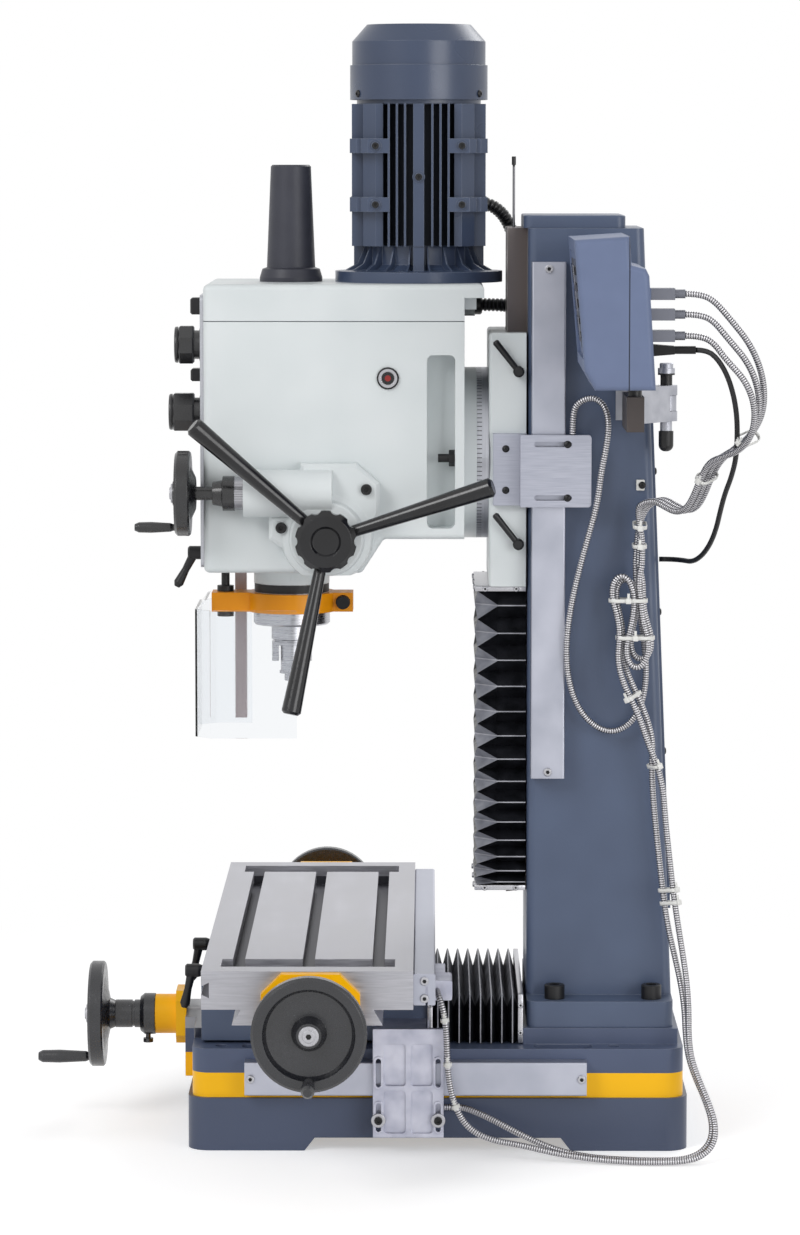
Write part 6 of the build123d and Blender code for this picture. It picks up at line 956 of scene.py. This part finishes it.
screw("slot_boss", 28,
      [(8.5, 0), (8.5, 2.2), (7.9, 2.8), (4.8, 2.8), (4.8, 5.4), (4.2, 6), (2.6, 6), (2.4, 3.5)],
      3, plain_steel, 4.9, 2.9)
screw("stud", 20, [(5, -13), (5, 6.4), (4.4, 7)])
screw("nut", 6, [(9.8, 0), (9.8, 6.4), (9.1, 7), (6, 7)])
block("key_cap", (-5.5, -4, 0), (5.5, 4, 2.6), 0.9, keypad_abs)
block("window", (-52, -11.5, 0), (52, 11.5, 1.2), 0.5, window_acrylic)
block("window_frame", (-58, -48, 0), (58, 48, 0.8), 0.35, grey_moulding)
block("clip", (-5, -6.5, 0), (5, 6.5, 4), 1.2, tie_nylon)

# Bellows: the pleats' cut corners, fold depth, welded edge, cloth and end plates
PLEAT_CORNER = 27
PLEAT_FOLD = 18
PLEAT_EDGE = 0.7
PLEAT_TUCK = 3
FOLD_TUCK = 2
CLOTH = 0.8
PLATE = 6
PLATE_EDGE = 0.6


def pleated_skin(name, levels, crest, valley, pale, cloth, place):
    """A grid folded into pleats: valley rows and, between two, a pair of rows for the crest's welded edge,
    painted pale as a highlight. One strip of the half outline, by its number, takes a paler finish: painted
    light, on a roof also dust."""
    rows = []
    for number, level in enumerate(levels):
        if number % 2:
            rows += [(level - PLEAT_EDGE, crest), (level + PLEAT_EDGE, crest)]
        else:
            rows.append((level, valley))
    last = 2 * len(crest) - 2
    end = len(rows) - 1
    bpy.ops.object.select_all(action="DESELECT")
    bpy.ops.mesh.primitive_grid_add(x_subdivisions=last, y_subdivisions=end, size=1, location=(0, 0, 0))
    piece = bpy.context.object
    mesh = piece.data
    for material in (bellows_black, cloth, bellows_edge_highlight):
        mesh.materials.append(material)
    for face in mesh.polygons:
        column = int((face.center.x + 0.5) * last)
        row = int((face.center.y + 0.5) * end)
        # Crest edge rows and the one strip take paler finishes: painted light.
        if rows[row][1] is rows[row + 1][1]:
            face.material_index = 2
        elif min(column, last - 1 - column) == pale:
            face.material_index = 1
    for vertex in mesh.vertices:
        column = round((vertex.co.x + 0.5) * last)
        level, outline = rows[round((vertex.co.y + 0.5) * end)]
        x, y = outline[min(column, last - column)]
        vertex.co = Vector(place(x if column > last / 2 else -x, y, level)) * MM
    take_up(name)
    bpy.ops.mesh.remove_doubles(threshold=0.01 * MM)
    bpy.ops.mesh.normals_make_consistent(inside=False)
    bpy.ops.object.mode_set(mode="OBJECT")
    thicken(piece, CLOTH, -1)
    return piece


def pleat_outlines(half, front, rear):
    """Half of a bellows' outline from its open edge to the middle of its front, at a crest and at a valley:
    the crest's corner is cut off, and the valley's stands out between two folds."""
    inner = half - PLEAT_FOLD
    deep = front + PLEAT_FOLD
    shoulder = (half, front + PLEAT_CORNER)
    chamfer = (half - PLEAT_CORNER, front)
    corner = (half - PLEAT_TUCK, front + PLEAT_TUCK)
    side_fold = (inner, front + PLEAT_CORNER - FOLD_TUCK)
    front_fold = (half - PLEAT_CORNER + FOLD_TUCK, deep)
    crest = [(half, rear), shoulder, shoulder, chamfer, chamfer, (0, front)]
    valley = [(inner, rear), side_fold, corner, corner, front_fold, (0, deep)]
    return crest, valley


def end_plate(name, half, notch, front, height, rear):
    """A flat plate at a bellows' end, its thickness along Z, with a notch in its rear that clears the way."""
    reach, depth = notch
    piece = take_block(name, (2 * half, depth - front, PLATE), (0, (front + depth) / 2, height))
    for side in (-1, 1):
        bpy.ops.mesh.select_all(action="SELECT")
        bpy.ops.mesh.bisect(plane_co=(side * reach * MM, 0, 0), plane_no=(1, 0, 0))
    choose_faces(piece, lambda centre, normal: normal.y > 0.9 and abs(centre.x) > reach)
    bpy.ops.mesh.extrude_region_move(TRANSFORM_OT_translate={"value": (0, (rear - depth) * MM, 0)})
    bevel_sharp(PLATE_EDGE, 2)
    return put_down(piece)


def fit_skin(skin, node):
    """A bellows' skin, its place baked into its mesh, with the part that it replaces hidden."""
    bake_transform(skin)
    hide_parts(node)


def fit_plate(plate, node, body, screws):
    """A bellows' end plate with its edge screws, on the body that carries it."""
    plate.data.materials.append(plain_steel)
    plate = join(plate.name, [plate] + [copy_to("small_screw", place, way) for place, way in screws])
    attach(plate, body)
    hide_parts(node)


Z_LOW, Z_HIGH = 302, 654
Z_PLEATS = 14
Z_HALF, Z_FRONT, Z_REAR = 97, 68, 128.5
Z_NOTCH = (77.4, 104.5)
Z_SIDE_SCREWS = (80, 117)
Z_FRONT_SCREWS = (-70, 0, 70)
# The folds lie closer together towards the bottom, where their own weight closes them
SAG = 1.35
steps = 2 * Z_PLEATS
levels = [Z_LOW + (Z_HIGH - Z_LOW) * (n / steps) ** SAG for n in range(steps + 1)]
outlines = pleat_outlines(Z_HALF, Z_FRONT, Z_REAR)
# The cut corner strip of each pleat takes the pale grey: painted highlight.
z_skin = pleated_skin("z_bellows_skin", levels, *outlines, 2, bellows_corner_highlight, lambda x, y, z: (x, y, z))
fit_skin(z_skin, "z_bellows")
for name, body, middle in (("z_bellows_foot", "frame", Z_LOW - PLATE / 2),
                           ("z_bellows_head", "z_slide", Z_HIGH + PLATE / 2)):
    plate = end_plate(name, Z_HALF, Z_NOTCH, Z_FRONT, middle, Z_REAR)
    screws = [((way[0] * Z_HALF, y, middle), way) for way in (FAR, NEAR) for y in Z_SIDE_SCREWS]
    screws += [((x, Z_FRONT, middle), FRONT) for x in Z_FRONT_SCREWS]
    fit_plate(plate, "z_bellows", body, screws)

Y_LOW, Y_HIGH = 18, 119
Y_PLEATS = 8
Y_HALF, Y_TOP, Y_FOOT = 157, 181, 122.5
Y_NOTCH = (137.4, -136.5)
Y_SIDE_SCREWS = (135, 168)
steps = 2 * Y_PLEATS
levels = [Y_LOW + (Y_HIGH - Y_LOW) * n / steps for n in range(steps + 1)]
y_inner = Y_HALF - PLEAT_FOLD
y_roof = PLEAT_FOLD - Y_TOP
y_crest = [(Y_HALF, -Y_FOOT), (Y_HALF, -Y_TOP), (0, -Y_TOP)]
y_valley = [(y_inner, -Y_FOOT), (y_inner, y_roof), (0, y_roof)]
# The roof strip takes the paler roof finish: dust, and painted light from above.
y_skin = pleated_skin("y_bellows_skin", levels, y_crest, y_valley, 1, bellows_roof_dust_and_light,
                      lambda x, z, y: (x, y, -z))
fit_skin(y_skin, "y_bellows")
for name, body, middle in (("y_bellows_front", "saddle", Y_LOW - PLATE / 2),
                           ("y_bellows_rear", "frame", Y_HIGH + PLATE / 2)):
    plate = end_plate(name, Y_HALF, Y_NOTCH, -Y_TOP, middle, -Y_FOOT)
    # Lies flat as the upright bellows' plates do, and is stood up: its depth becomes height
    plate.data.transform(Matrix.Rotation(-pi / 2, 4, "X"))
    screws = [((way[0] * Y_HALF, middle, z), way) for way in (FAR, NEAR) for z in Y_SIDE_SCREWS]
    fit_plate(plate, "y_bellows", body, screws)

# Hardware at its places: piece, body, slot, and for each model the way it faces and where it sits
HARDWARE = {
    "feed_cover_screws": ("head", "dark_steel", [("cap_screw", NEAR, [(150, -60, 779), (150, -160, 734)])]),
    "z_reader_screws": ("z_slide", "dark_steel", [
        ("dome_screw", NEAR, [(108, 104, 775), (108, 104, 824), (137, 176, 768), (137, 176, 831)])]),
    "y_reader_screws": ("saddle", "steel", [("slot_boss", NEAR, [(220.5, -45.5, 43), (220.5, 24.5, 43)])]),
    "scale_screws": ("frame", "steel", [
        ("bright_screw", NEAR, [(125, 154, 442), (125, 154, 1036), (207, -196, 89), (207, 193, 89)])]),
    "x_scale_screws": ("table", "steel", [("bright_screw", NEAR, [(383, 8.5, 218), (383, 8.5, 238)])]),
    "tilt_clamp": ("head", "dark_steel", [
        ("stud", REAR, [(-107, 37, SWIVEL_Z), (107, 37, SWIVEL_Z)]),
        ("nut", FRONT, [(-107, 43.7, SWIVEL_Z), (107, 43.7, SWIVEL_Z)])]),
    "x_wheel_washers": ("x_screw", "steel", [
        ("hub_washer", NEAR, [(490.3, -120, 195)]), ("hub_washer", FAR, [(-490.3, -120, 195)])]),
    "y_wheel_washer": ("y_screw", "steel", [("hub_washer", FRONT, [(0, -401.3, 128)])]),
    "fine_wheel_washer": ("fine_feed", "steel", [
        ("hub_washer", FRONT, [(FINE_AXIS[0], -287, FINE_AXIS[2])])]),
    "lead_clip": ("frame", "conduit_plastic", [
        ("clip", NEAR, [(103, 263, 781)]), ("dome_screw", NEAR, [(107, 265, 781)])]),
}
for name, (body, slot, groups) in HARDWARE.items():
    set_down(name, body, slot, [(kind, place, way) for kind, way, places in groups for place in places])

# The column leans in towards its top, and so does the cover on its rear, as (y, z) at foot and top
COLUMN_REAR = ((303, 140), (266, 1083))
COVER_PLATE = 4
COVER_SCREW_X = (-68, 68)
COVER_SCREW_HEIGHTS = (290, 460, 627, 795, 965)
# The console's face slopes, as (y, z) at its foot and top; its blank windows and keys lie on it
CONSOLE_FACE = ((190, 941), (178, 1061))
DISPLAY_X = 233
WINDOW_HEIGHTS = (973, 1003, 1033)
WINDOW_PROUD = 0.7
KEY_FIRST = (307, 956)
KEY_PITCH = (17, 18.5)
KEY_COLUMNS, KEY_ROWS = 4, 6
# The motor's pads, the screw between them and the fan cover's screws
MOTOR_MIDDLE = 1145
PAD_FACE = 81.5
PAD_ACROSS = 51
PAD_PITCH = 69
MIDDLE_SCREW = (79.5, MOTOR_Y, 1143)
FAN_COVER_R = 82
FAN_SCREW_Z = 1241
FAN_SCREW_TURNS = (61, 119, 241, 299)


def sloping(face, z):
    """Y of a sloping face at a height."""
    (low_y, low_z), (high_y, high_z) = face
    return low_y + (high_y - low_y) * (z - low_z) / (high_z - low_z)


def slope_way(face, side):
    """The way that a sloping face looks, to the rear (1) or to the front (-1)."""
    (low_y, low_z), (high_y, high_z) = face
    return (0, side * (high_z - low_z), side * (low_y - high_y))


cover_way = slope_way(COLUMN_REAR, 1)
cover_screws = []
for x in COVER_SCREW_X:
    for z in COVER_SCREW_HEIGHTS:
        cover_screws.append(("dome_screw", (x, sloping(COLUMN_REAR, z) + COVER_PLATE, z), cover_way))
set_down("rear_cover_screws", "frame", "dark_steel", cover_screws)

pads = []
for height in (MOTOR_MIDDLE - PAD_PITCH / 2, MOTOR_MIDDLE + PAD_PITCH / 2):
    for across in (-PAD_ACROSS, PAD_ACROSS):
        pads.append(("pad_screw", (PAD_FACE, MOTOR_Y + across, height), NEAR))
pads.append(("pad_screw", MIDDLE_SCREW, NEAR))
set_down("motor_pad_screws", "head", "dark_steel", pads)

fan_screws = []
for degrees in FAN_SCREW_TURNS:
    way = (cos(radians(degrees)), sin(radians(degrees)), 0)
    place = (FAN_COVER_R * way[0], MOTOR_Y + FAN_COVER_R * way[1], FAN_SCREW_Z)
    fan_screws.append(("dome_screw", place, way))
set_down("fan_cover_screws", "head", "dark_steel", fan_screws)

face_way = slope_way(CONSOLE_FACE, -1)
middle = WINDOW_HEIGHTS[1]
display = [("window_frame", (DISPLAY_X, sloping(CONSOLE_FACE, middle), middle), face_way)]
for z in WINDOW_HEIGHTS:
    display.append(("window", (DISPLAY_X, sloping(CONSOLE_FACE, z) - WINDOW_PROUD, z), face_way))
keys = []
for row in range(KEY_ROWS):
    for column in range(KEY_COLUMNS):
        x = KEY_FIRST[0] + column * KEY_PITCH[0]
        z = KEY_FIRST[1] + row * KEY_PITCH[1]
        keys.append(("key_cap", (x, sloping(CONSOLE_FACE, z), z), face_way))
set_down("console_display", "dro", "clear_plastic", display)
set_down("console_keys", "dro", "console_plastic", keys)

# Nylon ties: band, wall and the share of the loop's depth that its corners take
TIE_BAND = 4.5
TIE_WALL = 1.1
TIE_CORNER = 0.42
# Head and tail from the middle of the loop's near side, as two corners and an edge
TIE_ENDS = (((0, -3.2, -3.2), (4.2, 3.2, 3.2), 0.8), ((1, -1.5, 3), (2.2, 1.5, 9), 0.3))
# Heights of the ties down the leads; those round the folds also have their Y
SWING_TIES = (848, 800)
SWING_ACROSS = (12, -7, 0)
COLUMN_TIES = (736, 712)
HANK_TIES = ((247.5, 648), (256, 604))
FALL_TIES = (535, 451, 303, 288)
READER_TIES = (165, 112, 62)
HANK_DEPTH = 44


def tie(name, across, deep):
    """A tie's loop with rounded corners, open along Z, and its square head on the near side."""
    loop = take_block(name, (across, deep, TIE_BAND), (0, 0, 0))
    choose_faces(loop, lambda centre, normal: abs(normal.z) > 0.9)
    bpy.ops.mesh.delete(type="FACE")
    bevel_sharp(min(across, deep) * TIE_CORNER, 4)
    put_down(loop)
    thicken(loop, TIE_WALL, 1)
    pieces = [loop]
    for low, high, edge in TIE_ENDS:
        corners = [(across / 2 + x, y, z) for x, y, z in (low, high)]
        pieces.append(slab(name + "_end", *corners, edge))
    models[name] = join(name, pieces)
    models[name].data.materials.append(tie_nylon)


def pass_by(line, height, last=False):
    """Place in millimetres and direction where a line passes a height, the first or the last time."""
    hits = [n for n in range(len(line) - 1) if (line[n].z - height * MM) * (line[n + 1].z - height * MM) <= 0]
    n = hits[-1 if last else 0]
    return (line[n] + line[n + 1]) / 2 / MM, (line[n + 1] - line[n]).normalized()


def upward(way):
    """A direction along a lead, turned so that it rises."""
    return tuple(way) if way[2] > 0 else tuple(-c for c in way)


# Loops round one lead, two, three and the folds, with the play that each takes
LEAD = 2 * LEAD_R
tie("single_tie", LEAD + 0.6, LEAD + 0.6)
tie("pair_tie", LEAD_PITCH + LEAD + 6, LEAD + 1)
tie("trio_tie", 2 * LEAD_PITCH + LEAD + 0.6, LEAD + 7)
tie("hank_tie", LEAD_PITCH + LEAD + 2, HANK_DEPTH)

swing_ties = []
for height in SWING_TIES:
    place, way = pass_by(lines["console_lead_2"], height)
    swing_ties.append(copy_to("trio_tie", place, upward(way), SWING_ACROSS))
swing_ties = join("console_lead_ties", swing_ties)
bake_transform(swing_ties)

fixed_ties = []
for height in COLUMN_TIES:
    place, way = pass_by(lines["console_lead_2"], height, True)
    fixed_ties.append(("trio_tie", place, upward(way)))
for y, height in HANK_TIES:
    fixed_ties.append(("hank_tie", (TIE[0] + 1.5 * LEAD_PITCH, y, height), UP))
for height in FALL_TIES:
    near, way = pass_by(lines["x_lead"], height)
    far = pass_by(lines["y_lead"], height)[0]
    fixed_ties.append(("pair_tie", (near + far) / 2, upward(way), near - far))
set_down("lead_ties", "frame", "conduit_plastic", fixed_ties)
set_down("reader_lead_ties", "saddle", "conduit_plastic",
         [("single_tie", *pass_by(lines["x_lead"], height, True)) for height in READER_TIES])

for model in models.values():
    bpy.data.objects.remove(model)


# Studio
bpy.context.scene.view_settings.view_transform = "Standard"

# Matt paper: keeps the shadow near the machine and runs out to plain white further off
floor_finish, floor_tree, floor_shader, floor_place = start_finish("pale studio floor", "#E9E9EA", 0.0, 0.9)
rays = add(floor_tree, "ShaderNodeLightPath")
away = add(floor_tree, "ShaderNodeVectorMath", {0: floor_place}, operation="LENGTH")["Value"]
limits = {"Value": away, "From Min": FLOOR_FADE[0], "From Max": FLOOR_FADE[1]}
far_off = add(floor_tree, "ShaderNodeMapRange", limits, interpolation_type="SMOOTHSTEP")[0]
seen = joined(floor_tree, [rays["Is Camera Ray"], rays["Is Glossy Ray"]], "MAXIMUM")
share = joined(floor_tree, [far_off, seen], "MULTIPLY")
glow = add(floor_tree, "ShaderNodeEmission", {"Color": PLAIN_WHITE, "Strength": 1.0})[0]
lift = add(floor_tree, "ShaderNodeEmission", {"Color": PLAIN_WHITE, "Strength": FLOOR_LIFT})[0]
near_floor = add(floor_tree, "ShaderNodeAddShader", {0: floor_shader.outputs[0], 1: lift})[0]
paper = add(floor_tree, "ShaderNodeMixShader", {0: seen, 1: floor_shader.outputs[0], 2: near_floor})[0]
whole = add(floor_tree, "ShaderNodeMixShader", {0: share, 1: paper, 2: glow})[0]
floor_tree.links.new(whole, floor_tree.nodes["Material Output"].inputs["Surface"])
bpy.ops.object.select_all(action="DESELECT")
bpy.ops.mesh.primitive_plane_add(size=FLOOR_SIZE, location=(0, 0, 0))
floor = bpy.context.object
floor.name = "floor"
floor.data.materials.append(floor_finish)

# A plain room: soft light on the machine, and white where the eye, metal or glass looks at it
world = bpy.data.worlds.new("soft room")
bpy.context.scene.world = world
world.use_nodes = True
sky = world.node_tree
rays = add(sky, "ShaderNodeLightPath")
looks = ("Is Camera Ray", "Is Glossy Ray", "Is Transmission Ray")
seen = joined(sky, [rays[look] for look in looks], "MAXIMUM")
level = add(sky, "ShaderNodeMapRange", {"Value": seen, "To Min": ROOM_LIGHT, "To Max": 1.0})[0]
sky.links.new(level, sky.nodes["Background"].inputs["Strength"])
sky.nodes["Background"].inputs["Color"].default_value = PLAIN_WHITE


def aimed(holder, at, aim, unit=1.0):
    """Puts a lamp or camera in the scene at a place, facing another, both in a unit given in metres."""
    bpy.context.collection.objects.link(holder)
    holder.location = Vector(at) * unit
    holder.rotation_euler = ((Vector(aim) - Vector(at)) * unit).to_track_quat("-Z", "Y").to_euler()


for name, (at, aim, width, power) in LAMPS.items():
    light = bpy.data.lights.new(name, "AREA")
    light.shape = "SQUARE"
    light.size = width
    light.energy = power
    aimed(bpy.data.objects.new(name, light), at, aim)

camera = bpy.data.cameras.new("camera")
camera.lens = FOCAL
camera.sensor_width = SENSOR
camera.sensor_fit = "AUTO"
camera.clip_end = CAMERA_REACH * MM
eye = bpy.data.objects.new("camera", camera)
aimed(eye, CAMERA_AT, CAMERA_AIM, MM)
bpy.context.scene.camera = eye
